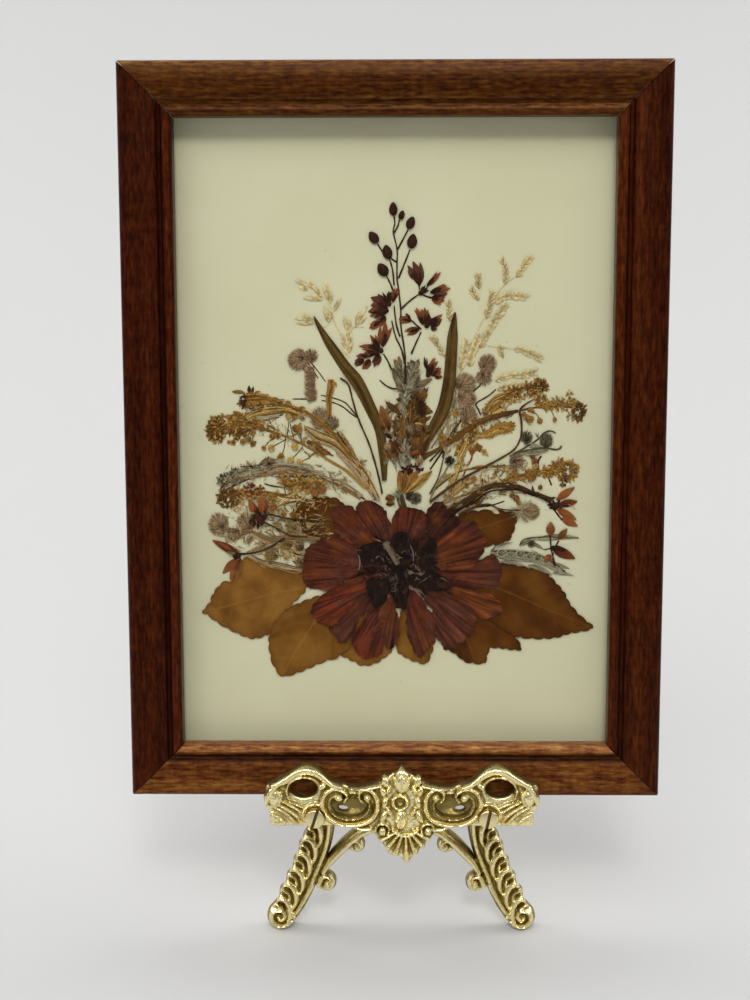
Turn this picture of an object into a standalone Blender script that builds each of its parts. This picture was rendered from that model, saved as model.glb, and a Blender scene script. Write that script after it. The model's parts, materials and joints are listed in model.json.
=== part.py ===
"""Pressed flowers behind glass in a stained wooden frame, standing on a small cast brass easel.

What leans with the picture is drawn in plane coordinates, in millimetres: x to the right and y up from the
middle of the picture, and d out towards the viewer from the back of the frame. Each pressed piece is a thin
sheet, and lies just above whatever is already on the board under it.
"""

from math import ceil, cos, floor, hypot, pi, radians, sin

import bmesh
import bpy
from mathutils import Matrix, Vector
from mathutils.geometry import delaunay_2d_cdt

MM = 0.001

# The picture: a 5 x 7 inch sheet of glass sets every other size.
GLASS_WIDTH = 127.0
GLASS_HEIGHT = 178.0
GLASS_THICK = 2.0
FRAME_WIDTH = 143.2
FRAME_HEIGHT = 194.6
RAIL_WIDTH = 14.3
LIP = 6.8
LIP_BACK = 9.5
MITRE_GAP = 0.1
GLASS_BACK = 7.4
BOARD_BACK = 3.2
BOARD_THICK = 1.9
BACKING_BACK = 0.9
BACKING_THICK = 2.2
TAB_BACK = 0.4
TAB_THICK = 0.4
TAB_LENGTH = 11.0
TAB_WIDTH = 6.0

# The pressed pieces, between the board and the glass.
SHEET_THICK = 0.12
SHEET_STEP = 0.17
SHEET_START = BOARD_BACK + BOARD_THICK + 0.06
CELL = 0.5
IDLE_CORNER = 0.12

# The easel.
LEAN = 12.0
EASEL_X = 1.8
FOOT_Y = -141.6
LEG_BACK = -5.1
LEG_THICK = 4.5
LEG_MIDDLE = LEG_BACK + LEG_THICK / 2
BAR_BACK = 17.0
BAR_THICK = 3.0
RELIEF = 1.2
SCREW_X = 23.2
SCREW_Y = -101.2
SCREW_HEAD = 5.0
SCREW_SHANK = 3.0
SCREW_HOLE = 3.4
SCREW_SIDES = 12
ARM_WIDTH = 6.8
ARM_TOP = -97.65
ARM_HEIGHT = 6.6
HINGE_Y = -52.0
HINGE_D = -9.5
HINGE_SPREAD = 44.0
PIN_RADIUS = 1.5
PIN_HOLE_RADIUS = 1.6
KNUCKLE_RADIUS = 4.0
KNUCKLE_WIDTH = 6.4
MIDDLE_OF_BASE_Y = -31.807

FRONT = 1
BACK = -1


# ---------------------------------------------------------------- materials

def material(name, color, roughness=0.6, metallic=0.0):
    made = bpy.data.materials.new(name)
    made.use_nodes = True
    shader = made.node_tree.nodes["Principled BSDF"]
    shader.inputs["Base Color"].default_value = (*color, 1.0)
    shader.inputs["Roughness"].default_value = roughness
    shader.inputs["Metallic"].default_value = metallic
    return made


def glass_material(name):
    made = material(name, (0.95, 0.98, 0.96), 0.02)
    shader = made.node_tree.nodes["Principled BSDF"]
    shader.inputs["Transmission Weight"].default_value = 1.0
    shader.inputs["IOR"].default_value = 1.5
    return made


# ---------------------------------------------------------------- outlines

def smooth_path(points, steps=3):
    """A curve through the points, open at both ends."""
    ends = [points[0], *points, points[-1]]
    curve = []
    for i in range(1, len(ends) - 2):
        for step in range(steps):
            curve.append(between(ends[i - 1:i + 3], step / steps))
    curve.append(points[-1])
    return curve


def smooth_loop(points, steps=2):
    """A closed curve through the points."""
    count = len(points)
    curve = []
    for i in range(count):
        near = [points[(i + k) % count] for k in (-1, 0, 1, 2)]
        for step in range(steps):
            curve.append(between(near, step / steps))
    return curve


def between(near, t):
    """The point at t along a Catmull-Rom curve from the second point of four to the third."""
    p0, p1, p2, p3 = (Vector(p) for p in near)
    bend = (2 * p0 - 5 * p1 + 4 * p2 - p3) * t * t + (3 * p1 - p0 - 3 * p2 + p3) * t * t * t
    return tuple(p1 + 0.5 * ((p2 - p0) * t + bend))


def strip(points, widths, steps=2):
    """A stem or blade along the points, its width going evenly through the widths."""
    path = [Vector(p) for p in smooth_path(points, steps)]
    left = []
    right = []
    for i, point in enumerate(path):
        along = (path[min(i + 1, len(path) - 1)] - path[max(i - 1, 0)]).normalized()
        side = Vector((-along.y, along.x)) * graded(widths, i / (len(path) - 1)) / 2
        left.append(tuple(point + side))
        right.append(tuple(point - side))
    return left + right[::-1]


def graded(values, t):
    place = t * (len(values) - 1)
    low = min(int(place), len(values) - 2)
    return values[low] + (values[low + 1] - values[low]) * (place - low)


def oval(x, y, length, width, angle=0.0, sides=6):
    turn = radians(angle)
    points = []
    for k in range(sides):
        a = 2 * pi * k / sides
        u = length / 2 * cos(a)
        v = width / 2 * sin(a)
        points.append((x + u * cos(turn) - v * sin(turn), y + u * sin(turn) + v * cos(turn)))
    return points


def petal(base, tip, width, foot=0.35):
    """A petal from its base to its tip, widest past the middle."""
    shape = ((0.0, foot), (0.55, 1.0), (0.85, 0.75), (1.0, 0.2))
    base = Vector(base)
    along = Vector(tip) - base
    side = Vector((-along.y, along.x)).normalized() * width / 2
    left = [tuple(base + along * t + side * w) for t, w in shape]
    right = [tuple(base + along * t - side * w) for t, w in shape]
    return left + right[::-1]


def scalloped(points, bulge, toothed):
    """An outline whose first stretches, one for each tooth, bulge outwards between their points."""
    outline = []
    count = len(points)
    for i in range(count):
        here = Vector(points[i])
        after = Vector(points[(i + 1) % count])
        outline.append(tuple(here))
        if i >= toothed:
            continue
        along = after - here
        out = Vector((along.y, -along.x)) * turning(points) * bulge
        outline.append(tuple(here + along * 0.3 + out * 0.8))
        outline.append(tuple(here + along * 0.7 + out))
    return outline


def turning(points):
    """1 for an outline that runs anticlockwise, or -1."""
    pairs = zip(points, [*points[1:], points[0]])
    return 1 if sum(a[0] * b[1] - b[0] * a[1] for a, b in pairs) > 0 else -1


def box_outline(x0, y0, x1, y1):
    return [(x0, y0), (x1, y0), (x1, y1), (x0, y1)]


def mirrored(points):
    return [(-x, y) for x, y in points]


def moved(points, dx, dy=0.0):
    return [(x + dx, y + dy) for x, y in points]


def half_and_mirror(half):
    """A closed outline from its right half, which runs between two points on the middle line."""
    return half + [(-x, y) for x, y in reversed(half) if x > 0]


# ---------------------------------------------------------------- meshes

def cover(outlines):
    """Triangles that cover all the outlines together."""
    points = []
    faces = []
    for outline in outlines:
        outline = outline if turning(outline) > 0 else outline[::-1]
        faces.append(list(range(len(points), len(points) + len(outline))))
        points.extend(Vector(p) for p in outline)
    corners, _, triangles, _, _, sources = delaunay_2d_cdt(points, [], faces, 1, 1e-4)
    return corners, [triangle for triangle, source in zip(triangles, sources) if source]


def sheet_mesh(name, outlines, back, thick):
    """One flat piece of even thickness in the shape of all the outlines together."""
    corners, triangles = cover(outlines)
    shape = bmesh.new()
    verts = [shape.verts.new((c.x * MM, c.y * MM, back * MM)) for c in corners]
    for triangle in triangles:
        shape.faces.new([verts[i] for i in triangle])
    loose = [v for v in shape.verts if not v.link_faces]
    bmesh.ops.delete(shape, geom=loose, context="VERTS")
    bmesh.ops.dissolve_limit(shape, angle_limit=0.01, verts=shape.verts, edges=shape.edges)
    drop_idle_corners(shape)
    made = bmesh.ops.extrude_face_region(shape, geom=shape.faces[:])
    raised = [v for v in made["geom"] if isinstance(v, bmesh.types.BMVert)]
    bmesh.ops.translate(shape, vec=(0, 0, thick * MM), verts=raised)
    bmesh.ops.recalc_face_normals(shape, faces=shape.faces[:])
    mesh = bpy.data.meshes.new(name)
    shape.to_mesh(mesh)
    shape.free()
    return mesh


def drop_idle_corners(shape):
    """Leaves out the corners of a flat shape that hardly stand off the line between their neighbours."""
    dropped = True
    while dropped:
        dropped = False
        for corner in shape.verts[:]:
            if len(corner.link_edges) != 2:
                continue
            before, after = (edge.other_vert(corner).co for edge in corner.link_edges)
            along = (after - before).normalized()
            offset = corner.co - before
            if (offset - along * offset.dot(along)).length < IDLE_CORNER * MM:
                bmesh.ops.dissolve_verts(shape, verts=[corner])
                dropped = True


def cylinder_mesh(name, radius, length, sides=14):
    """A round bar along z, centred on the origin."""
    shape = bmesh.new()
    bmesh.ops.create_cone(shape, cap_ends=True, segments=sides, radius1=radius * MM, radius2=radius * MM,
                          depth=length * MM)
    mesh = bpy.data.meshes.new(name)
    shape.to_mesh(mesh)
    shape.free()
    return mesh


def lofted_mesh(name, rings):
    """A closed solid through rings of points in millimetres, each ring with the same number of points."""
    shape = bmesh.new()
    made = [[shape.verts.new(Vector(p) * MM) for p in ring] for ring in rings]
    for low, high in zip(made, made[1:]):
        for i in range(len(low)):
            j = (i + 1) % len(low)
            shape.faces.new((low[i], low[j], high[j], high[i]))
    shape.faces.new(made[0][::-1])
    shape.faces.new(made[-1])
    bmesh.ops.recalc_face_normals(shape, faces=shape.faces[:])
    mesh = bpy.data.meshes.new(name)
    shape.to_mesh(mesh)
    shape.free()
    return mesh


# ---------------------------------------------------------------- objects

def empty(name, place, turn, parent=None):
    made = bpy.data.objects.new(name, None)
    made.location = Vector(place) * MM
    made.rotation_euler = turn
    made.parent = parent
    bpy.context.scene.collection.objects.link(made)
    return made


def node(name, mesh, finish, parent, place=(0, 0, 0), turn=(0, 0, 0)):
    made = bpy.data.objects.new(name, mesh)
    if finish and not mesh.materials:
        mesh.materials.append(finish)
    made.location = Vector(place) * MM
    made.rotation_euler = turn
    made.parent = parent
    bpy.context.scene.collection.objects.link(made)
    return made


def helper(name, mesh, parent, place=(0, 0, 0), turn=(0, 0, 0)):
    made = node(name, mesh, None, parent, place, turn)
    made.hide_render = True
    made.display_type = "WIRE"
    return made


def combine(target, other, operation):
    change = target.modifiers.new(f"{operation.lower()} {other.name}", "BOOLEAN")
    change.operation = operation
    change.object = other
    change.solver = "EXACT"


def join(target, other):
    combine(target, other, "UNION")


def cut(target, other):
    combine(target, other, "DIFFERENCE")


# ---------------------------------------------------------------- the frame

def rail_profile():
    """The moulding's section, as (in from the outer edge, out from the back)."""
    outer_edge = [(0.0, 0.0), (0.0, 11.9), (0.3, 12.8), (1.1, 13.4)]
    face = [(3.2, 14.2), (5.6, 14.6), (8.0, 14.5), (9.9, 13.9)]
    groove = [(10.5, 13.0), (11.2, 12.9)]
    bead_middle = (12.75, 12.9)
    bead_radius = 1.5
    bead = []
    for k in range(6):
        a = pi * (1 - k / 5)
        bead.append((bead_middle[0] + bead_radius * cos(a), bead_middle[1] + bead_radius * sin(a)))
    inside = [(RAIL_WIDTH, LIP_BACK), (RAIL_WIDTH - LIP, LIP_BACK), (RAIL_WIDTH - LIP, 0.0)]
    return outer_edge + face + groove + bead[:-1] + [(RAIL_WIDTH, 12.4)] + inside


def rail(name, length, reach, angle, finish, plane):
    """One mitred length of moulding, its outer edge at reach from the middle, turned to its side."""
    ends = []
    for side in (-1, 1):
        ring = []
        for w, d in rail_profile():
            ring.append((side * (length / 2 - w - MITRE_GAP), -(reach - w), d))
        ends.append(ring)
    return node(name, lofted_mesh(name, ends), finish, plane, turn=(0, 0, radians(angle)))


def make_frame(plane, wood, steel, cream, brown_board, glass):
    rail("rail_bottom", FRAME_WIDTH, FRAME_HEIGHT / 2, 0, wood, plane)
    rail("rail_right", FRAME_HEIGHT, FRAME_WIDTH / 2, 90, wood, plane)
    rail("rail_top", FRAME_WIDTH, FRAME_HEIGHT / 2, 180, wood, plane)
    rail("rail_left", FRAME_HEIGHT, FRAME_WIDTH / 2, 270, wood, plane)
    pane = box_outline(-GLASS_WIDTH / 2, -GLASS_HEIGHT / 2, GLASS_WIDTH / 2, GLASS_HEIGHT / 2)
    node("glass_pane", sheet_mesh("glass_pane", [pane], GLASS_BACK, GLASS_THICK), glass, plane)
    node("mount_board", sheet_mesh("mount_board", [pane], BOARD_BACK, BOARD_THICK), cream, plane)
    node("backing_board", sheet_mesh("backing_board", [pane], BACKING_BACK, BACKING_THICK), brown_board, plane)
    wall_x = FRAME_WIDTH / 2 - RAIL_WIDTH + LIP - 0.2
    for name, side, y in (("tab_left_low", -1, -45), ("tab_left_high", -1, 45),
                          ("tab_right_low", 1, -45), ("tab_right_high", 1, 45)):
        outer = side * wall_x
        inner = side * (wall_x - TAB_LENGTH)
        tab = box_outline(min(outer, inner), y - TAB_WIDTH / 2, max(outer, inner), y + TAB_WIDTH / 2)
        node(name, sheet_mesh(name, [tab], TAB_BACK, TAB_THICK), steel, plane)


# ---------------------------------------------------------------- the pressed pieces

class Press:
    """The pile on the board. Each new piece goes just above the highest piece that it crosses."""

    def __init__(self, plane):
        self.plane = plane
        self.height = {}

    def lay(self, name, finish, outlines):
        cells = self.cells(outlines)
        layer = max((self.height.get(cell, 0) for cell in cells), default=0)
        for cell in cells:
            self.height[cell] = layer + 1
        back = SHEET_START + layer * SHEET_STEP
        return node(name, sheet_mesh(name, outlines, back, SHEET_THICK), finish, self.plane)

    def cells(self, outlines):
        """The squares of the board that the outlines touch."""
        corners, triangles = cover(outlines)
        found = set()
        margin = CELL * 0.75
        for triangle in triangles:
            points = [corners[i] for i in triangle]
            lows = [floor((min(p[k] for p in points) - margin) / CELL) for k in (0, 1)]
            highs = [ceil((max(p[k] for p in points) + margin) / CELL) for k in (0, 1)]
            for i in range(lows[0], highs[0] + 1):
                for j in range(lows[1], highs[1] + 1):
                    if near_triangle(Vector((i * CELL, j * CELL)), points, margin):
                        found.add((i, j))
        return found


def near_triangle(point, corners, margin):
    for i in range(3):
        start = corners[i]
        along = corners[(i + 1) % 3] - start
        length = along.length
        if length < 1e-6:
            return False
        offset = point - start
        if (along.x * offset.y - along.y * offset.x) / length < -margin:
            return False
    return True


def make_leaves(press, ochre, umber):
    far_left = [(-24, -41.5), (-28, -46), (-31.5, -51), (-34, -54), (-38.5, -55.5), (-42, -54.5), (-46, -52.5),
                (-48.5, -51), (-51, -49), (-52.5, -48), (-50.5, -45.5), (-49.5, -43), (-47, -40), (-44, -39),
                (-42, -34.5), (-39.5, -33), (-33.5, -35), (-25.5, -37)]
    lower_left = [(-34, -54), (-34.5, -57), (-33.5, -62.5), (-31, -66), (-26.5, -65), (-19.5, -62),
                  (-15.5, -60.5), (-10, -55), (-9, -48), (-13, -43.5), (-18, -43), (-22, -44), (-28, -46.5),
                  (-32.5, -50.5)]
    bottom_left = [(-16, -58.5), (-14, -60.5), (-11, -62), (-9, -63), (-5.5, -62.5), (-2.5, -60.5), (-0.8, -58.5),
                   (-1, -51), (-5, -46), (-12, -49)]
    bottom_right = [(0.5, -58.5), (3.5, -61), (6, -62), (8.5, -62.5), (9.5, -61), (10.5, -58), (11.5, -52),
                    (8, -46), (3, -46), (0.5, -52)]
    lower_right = [(13, -57.5), (15.5, -59), (17.5, -60.5), (19.5, -62), (24, -62.5), (25, -61.5), (26, -58.3),
                   (28.5, -58.1), (34.5, -58.5), (33, -55), (31, -53), (26, -49), (19, -46.5), (13, -50)]
    far_right = [(28.5, -34.5), (34.5, -35.5), (40.5, -36.5), (42.5, -38.5), (46, -42.5), (47.5, -45.5),
                 (50.5, -49), (54, -52.5), (47.5, -54), (44.5, -55), (39.5, -55.5), (34, -55), (31, -53.5),
                 (25, -49), (21, -42), (23, -36)]
    upper_right = [(17, -21.5), (24, -20), (31.5, -20.5), (33, -21.5), (32.5, -24.5), (31, -28), (27.5, -29.5),
                   (20, -30), (15, -26)]
    upper_left = [(-27, -19), (-24, -17), (-17, -16.5), (-13.5, -19), (-13.5, -25), (-17, -28), (-24, -27.5),
                  (-27.5, -23)]
    press.lay("leaf_far_left", ochre, [scalloped(far_left, 0.14, 17)])
    press.lay("leaf_far_right", umber, [scalloped(far_right, 0.12, 12)])
    press.lay("leaf_lower_left", ochre, [scalloped(lower_left, 0.12, 6)])
    press.lay("leaf_bottom_left", ochre, [scalloped(bottom_left, 0.16, 6)])
    press.lay("leaf_bottom_right", ochre, [scalloped(bottom_right, 0.16, 5)])
    press.lay("leaf_lower_right", umber, [scalloped(lower_right, 0.14, 9)])
    press.lay("leaf_upper_right", umber, [scalloped(upper_right, 0.1, 6)])
    press.lay("leaf_upper_left", umber, [scalloped(upper_left, 0.1, 8)])


def make_grasses(press, straw):
    left_stem = [(-20, 38.5), (-16.5, 33.5), (-15, 27.5), (-13.5, 23), (-11.5, 10), (-7.5, -1), (-4.5, -9)]
    left_ears = [((-19.6, 37.6), (-26.5, 41.5)), ((-20, 38), (-23, 41.8)), ((-17, 35), (-18, 41.5)),
                 ((-18.4, 36.2), (-24.5, 37)), ((-16, 32), (-14, 37.2)), ((-20.5, 30), (-27, 31.7)),
                 ((-17, 30), (-20, 34.6)), ((-14, 26), (-12.8, 31.5)), ((-12, 28), (-9, 33))]
    left_branches = [((-15, 27.5), (-21, 30.2)), ((-15, 28), (-17.5, 30.8)), ((-14.2, 25), (-13.8, 27)),
                     ((-14, 24.5), (-11.5, 28.6))]
    right_stem = [(28.3, 39.5), (24, 31), (21, 24.5), (17.5, 17), (15, 11), (12.5, 4)]
    right_ears = [((28.2, 39), (28.6, 46.7)), ((30.5, 41), (36, 47.5)), ((26, 38), (22, 42.7)),
                  ((24.5, 33), (20.8, 39.5)), ((27, 37), (34.5, 37.2)), ((24.5, 32), (26.5, 38.5)),
                  ((32, 23.2), (38.5, 21)), ((27.6, 23.6), (30.2, 19.3)), ((27, 15.2), (37.5, 17.6))]
    right_branches = [((27.6, 38), (31, 41.4)), ((25, 24), (32.5, 23.1)), ((18, 18), (27.5, 15.1)),
                      ((21, 24.5), (25.5, 24))]
    right_spike = strip([(29, 34.8), (25.5, 29), (23.5, 25), (20.2, 20)], [0.8, 2.4, 2.2, 0.8], 2)
    for name, stem, ears, branches, more in (
        ("pale_grass_left", left_stem, left_ears, left_branches, []),
        ("pale_grass_right", right_stem, right_ears, right_branches, [right_spike]),
    ):
        shapes = [strip(stem, [0.5, 0.6], 2)] + more
        shapes += [strip(branch, [0.5, 0.5], 1) for branch in branches]
        shapes += [petal(base, tip, 1.6, 0.4) for base, tip in ears]
        press.lay(name, straw, shapes)


def make_long_leaves(press, olive):
    left = [(-21.5, 32), (-18.5, 26.5), (-13.5, 19), (-10, 14.5), (-6.5, 7.5), (-4, 1.5), (-3, -6.5), (-2.8, -12)]
    right = [(16, 33), (15.5, 28), (15, 21), (14.5, 14.5), (13, 7.5), (10, 1.5), (6, -6.5)]
    press.lay("long_leaf_left", olive, [strip(left, [0.3, 2.6, 3.4, 3.0, 2.4, 1.2])])
    press.lay("long_leaf_right", olive, [strip(right, [0.4, 2.8, 3.2, 3.4, 3.0, 1.2])])


def make_burgundy_spray(press, burgundy):
    stem = [(0, 58), (-0.5, 54), (0.5, 49.5), (0.5, 42), (0.5, 35), (2, 28.5), (2.5, 21.5), (2.7, 15)]
    buds = [(-0.5, 60, 3.4, 2.0, 90), (1.6, 58.4, 2.4, 1.6, 80), (4.6, 56.4, 2.8, 2.1, 65), (4.6, 51.6, 3.5, 2.3, 85),
            (-5.4, 52.6, 3.3, 2.4, 115), (-2, 48.6, 3.5, 2.3, 105), (-3.3, 44.4, 3.3, 3.0, 110)]
    twigs = [[(-0.5, 58.6), (-0.3, 56.4)], [(1.5, 57.6), (1, 55.5), (-0.3, 53.6)], [(4, 55.4), (2.8, 51.8), (0.4, 49)],
             [(4.3, 50.2), (3.4, 45.4), (0.5, 41.6)], [(-5, 51.4), (-3, 48.2)], [(-1.6, 47.2), (0.5, 45.5)],
             [(-3, 44), (0.4, 40.2)]]
    floret_twigs = [[(7.5, 39), (4.5, 37.2), (0.8, 34)], [(-2, 37), (0.4, 33.6)], [(8.5, 30), (6.4, 26), (2.6, 20.8)],
                    [(-3.5, 23), (0, 19.6), (2.6, 17)], [(-6, 16.5), (-2, 14.6), (2.6, 15.4)],
                    [(10, 16.2), (6, 14.2), (2.7, 15.6)]]
    florets = [
        ((7.5, 39), [(5, 46.4), (3, 44.4), (12, 43.6), (15, 39), (13.5, 35.4)], 2.6),
        ((-2, 37), [(-5.6, 37.4), (-7.2, 32.4), (-6.5, 29), (-2.4, 29.8), (-4.6, 39.4)], 2.8),
        ((8.5, 30), [(6.4, 34.2), (8.6, 34.4), (12.6, 32.2), (11.2, 28.4), (1.4, 31.6)], 2.4),
        ((-3.5, 23), [(-6, 27.6), (-9.5, 24.4), (-8, 21.4), (-5.5, 19), (-2, 29.6)], 2.4),
        ((-6, 16.5), [(-10, 22), (-11.2, 19), (-11.6, 16), (-8.4, 13.6)], 2.3),
        ((10.2, 15.6), [(9.5, 21), (12.6, 17.2), (11.2, 20.4)], 2.0),
    ]
    shapes = [strip(stem, [0.45, 0.8], 2)]
    shapes += [oval(*bud, sides=7) for bud in buds]
    shapes += [strip(twig, [0.4, 0.4], 1) for twig in twigs + floret_twigs]
    for middle, tips, width in florets:
        shapes.append(oval(*middle, 2.4, 2.2))
        shapes += [petal(middle, tip, width) for tip in tips]
    press.lay("burgundy_spray", burgundy, shapes)


def puff(x, y, radius, lobes=7):
    """A flattened round head with a notched edge."""
    points = []
    for k in range(2 * lobes):
        reach = radius * (1.0 if k % 2 == 0 else 0.8)
        a = pi * k / lobes
        points.append((x + reach * cos(a), y + reach * sin(a)))
    return points


def make_puffs(press, mauve, taupe):
    left_stem = [(-25, 20.4), (-22.5, 17), (-21.8, 10), (-21, 4.5), (-16.5, 3.6), (-11, -5), (-7.5, -10)]
    left = [strip(left_stem, [0.6, 0.6], 2), puff(-26, 20.5, 2.7), puff(-21, 4.6, 2.4, 7), puff(-16.4, 3.8, 1.3, 6),
            strip([(-22.6, 17), (-22.3, 13), (-21.8, 9.6)], [2.6, 3.5, 3.0], 2)]
    right_stem = [(25, 20), (23.5, 14.5), (19, 10), (17.5, 4), (13.5, -3), (9.5, -9)]
    right = [strip(right_stem, [0.6, 0.6], 2), puff(25, 20, 2.4, 7), puff(24, 15.4, 2.1, 7), puff(19, 14, 1.9, 6),
             puff(19, 10.4, 2.4, 7), puff(19.4, 6, 1.8, 6), strip([(19, 14), (19, 8)], [1, 1], 1)]
    press.lay("crimped_heads_left", mauve, left)
    press.lay("crimped_heads_right", mauve, right)
    low_stem = [(-48, -23.5), (-42.5, -25.6), (-35, -27.6), (-29, -27), (-22, -28)]
    cream_stem = [(-33.5, -31.6), (-29, -29.6), (-25, -29.4), (-19, -30)]
    low = [strip(low_stem, [0.6, 0.9], 2), puff(-48, -23.6, 2.9), puff(-40.6, -23.2, 2.5), puff(-27.6, -24.2, 2.1, 7),
           strip([(-40.6, -23.2), (-39.4, -27)], [0.6, 0.6], 1), strip([(-27.6, -24.2), (-27.7, -27.2)], [0.6, 0.6], 1),
           strip(cream_stem, [0.7, 0.9], 2), puff(-33.5, -32, 2.0, 7), puff(-29.2, -29.8, 2.3, 7),
           puff(-25.6, -33.6, 1.8, 6), strip([(-25.4, -33.4), (-23.6, -29.4)], [0.6, 0.6], 1),
           strip([(-26.6, -26.6), (-26.2, -30)], [0.9, 0.9], 1)]
    press.lay("round_heads_left", taupe, low)


def make_left_sprays(press, gold, grey, rust):
    trumpet = [strip([(-37.8, 10.8), (-30.5, 9), (-23, 6), (-17.5, 1.5), (-9, -9)], [3.6, 2.2, 0.9, 0.8, 0.8]),
               petal((-38, 10), (-43.4, 12.6), 1.6), petal((-38, 11), (-38.6, 14.4), 1.8),
               petal((-37, 9), (-39.4, 7.6), 2.0),
               strip([(-23.5, -1), (-14.5, -6), (-4, -14.5)], [1.6, 2.6, 2.2]),
               strip([(-16.5, 14.5), (-17.5, 9.5), (-17.2, 4.5), (-13.2, -2), (-10, -7.6)], [1.5, 1.3, 0.6, 0.6])]
    press.lay("trumpet_spray", gold, trumpet)
    stem = [(-47, 1.8), (-41.5, 3.5), (-35, 2), (-28.5, -0.5), (-23.5, -3), (-14.5, -8), (-7, -13)]
    buds = [(-43, 6, 1.7, 1.5), (-42.6, 0.4, 1.6, 1.4), (-43.6, -1.4, 1.7, 1.5), (-40.2, -1.4, 1.9, 1.6),
            (-38, -2, 1.9, 1.7), (-38, 1, 1.6, 1.4), (-35.4, 2.4, 1.8, 1.4), (-32.5, -0.2, 1.7, 1.5),
            (-35, -2.9, 1.9, 1.3), (-33, -2.9, 2.0, 1.8), (-25.5, 2.4, 2.2, 2.0), (-28.4, 5.4, 1.8, 1.6),
            (-26.4, -3.4, 1.8, 1.6), (-30.5, -5, 2.0, 1.8), (-28, -5.8, 2.0, 1.8)]
    twigs = [((-43, 6), (-41, 3.4)), ((-43.6, -1.4), (-42, 1), (-41.6, 3.4)), ((-40.2, -1.4), (-40, 3)),
             ((-38, -2), (-37.6, 1), (-36.6, 2.4)), ((-33, -2.9), (-33.4, 0), (-33, 1.2)),
             ((-35, -2.9), (-34, -1), (-33.2, 0.4)), ((-25.5, 2.4), (-25.6, -1.4)), ((-28.4, 5.4), (-27.6, 2), (-26.6, -1)),
             ((-26.4, -3.4), (-25, -2)), ((-30.5, -5), (-28, -3), (-27.6, -0.8)), ((-28, -5.8), (-27.4, -1.2)),
             ((-32.5, -0.2), (-31, 0.4)), ((-42.6, 0.4), (-42.2, 3.2))]
    pods = strip([(-38.5, 5.6), (-34, 7), (-29.5, 7), (-24.6, 3), (-22.5, -2.8)], [1.2, 1.8, 1.6, 0.5, 0.5])
    shapes = [strip(stem, [0.8, 0.7]), pods, puff(-48.4, 1.2, 2.8, 8)]
    shapes += [oval(*bud) for bud in buds]
    shapes += [strip(twig, [0.35, 0.35], 1) for twig in twigs]
    press.lay("goldenrod_left", gold, shapes)
    grey_shapes = [strip([(-47, -11), (-42, -10), (-33.5, -8), (-24.5, -10), (-14.5, -13), (-9, -16.5)],
                         [1.2, 1.4, 2.2, 2.0, 1.2], 2), puff(-47, -11, 2.1, 7), puff(-42, -9.8, 1.7, 6),
                   puff(-33.5, -7.4, 2.0, 7)]
    press.lay("grey_spray_left", grey, grey_shapes)
    low_stem = [(-44, -17.4), (-38, -14.4), (-32, -16), (-24, -17), (-15, -19)]
    low_buds = [(-20, -14, 2.6, 2.2), (-30, -11.2, 2.0, 1.8), (-29, -13.6, 2.0, 1.6), (-25, -13, 1.8, 1.6),
                (-32.5, -19, 2.2, 1.6), (-30, -20.5, 2.2, 1.6), (-38.4, -15, 2.6, 2.0), (-35.4, -14.4, 2.0, 1.6)]
    low_twigs = [((-20, -14), (-20, -18)), ((-30, -11.2), (-28.8, -13.6), (-27, -16.6)), ((-25, -13), (-24, -17)),
                 ((-32.5, -19), (-27, -16.6)), ((-30, -20.5), (-25, -17.4))]
    low = [strip(low_stem, [0.8, 0.8], 2), puff(-44.6, -17.4, 3.1, 8)]
    low += [oval(*bud) for bud in low_buds]
    low += [strip(twig, [0.35, 0.35], 1) for twig in low_twigs]
    press.lay("goldenrod_lower_left", gold, low)
    flower = [oval(-36.5, -21.4, 3.4, 3.0), petal((-36.5, -21), (-39.4, -16.6), 2.4), petal((-36.5, -21), (-37, -15.6), 2.2),
              petal((-36.2, -21), (-34.6, -17.4), 1.8), petal((-36.5, -22), (-37.2, -25.4), 1.6),
              strip([(-36, -22), (-29, -26.4), (-21, -29)], [0.7, 0.6], 2)]
    red = [petal((-41, -31.5), (-49, -27.8), 2.6), oval(-41.8, -32.4, 2.8, 2.2), petal((-42, -33), (-46.6, -37.2), 2.0),
           petal((-42, -33), (-45, -39.2), 2.2), petal((-42, -33), (-44.4, -34.6), 2.0),
           strip([(-41, -31.8), (-33, -30), (-24, -28.6)], [0.7, 0.6], 2)]
    press.lay("red_florets_left", rust, flower + red)


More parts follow.
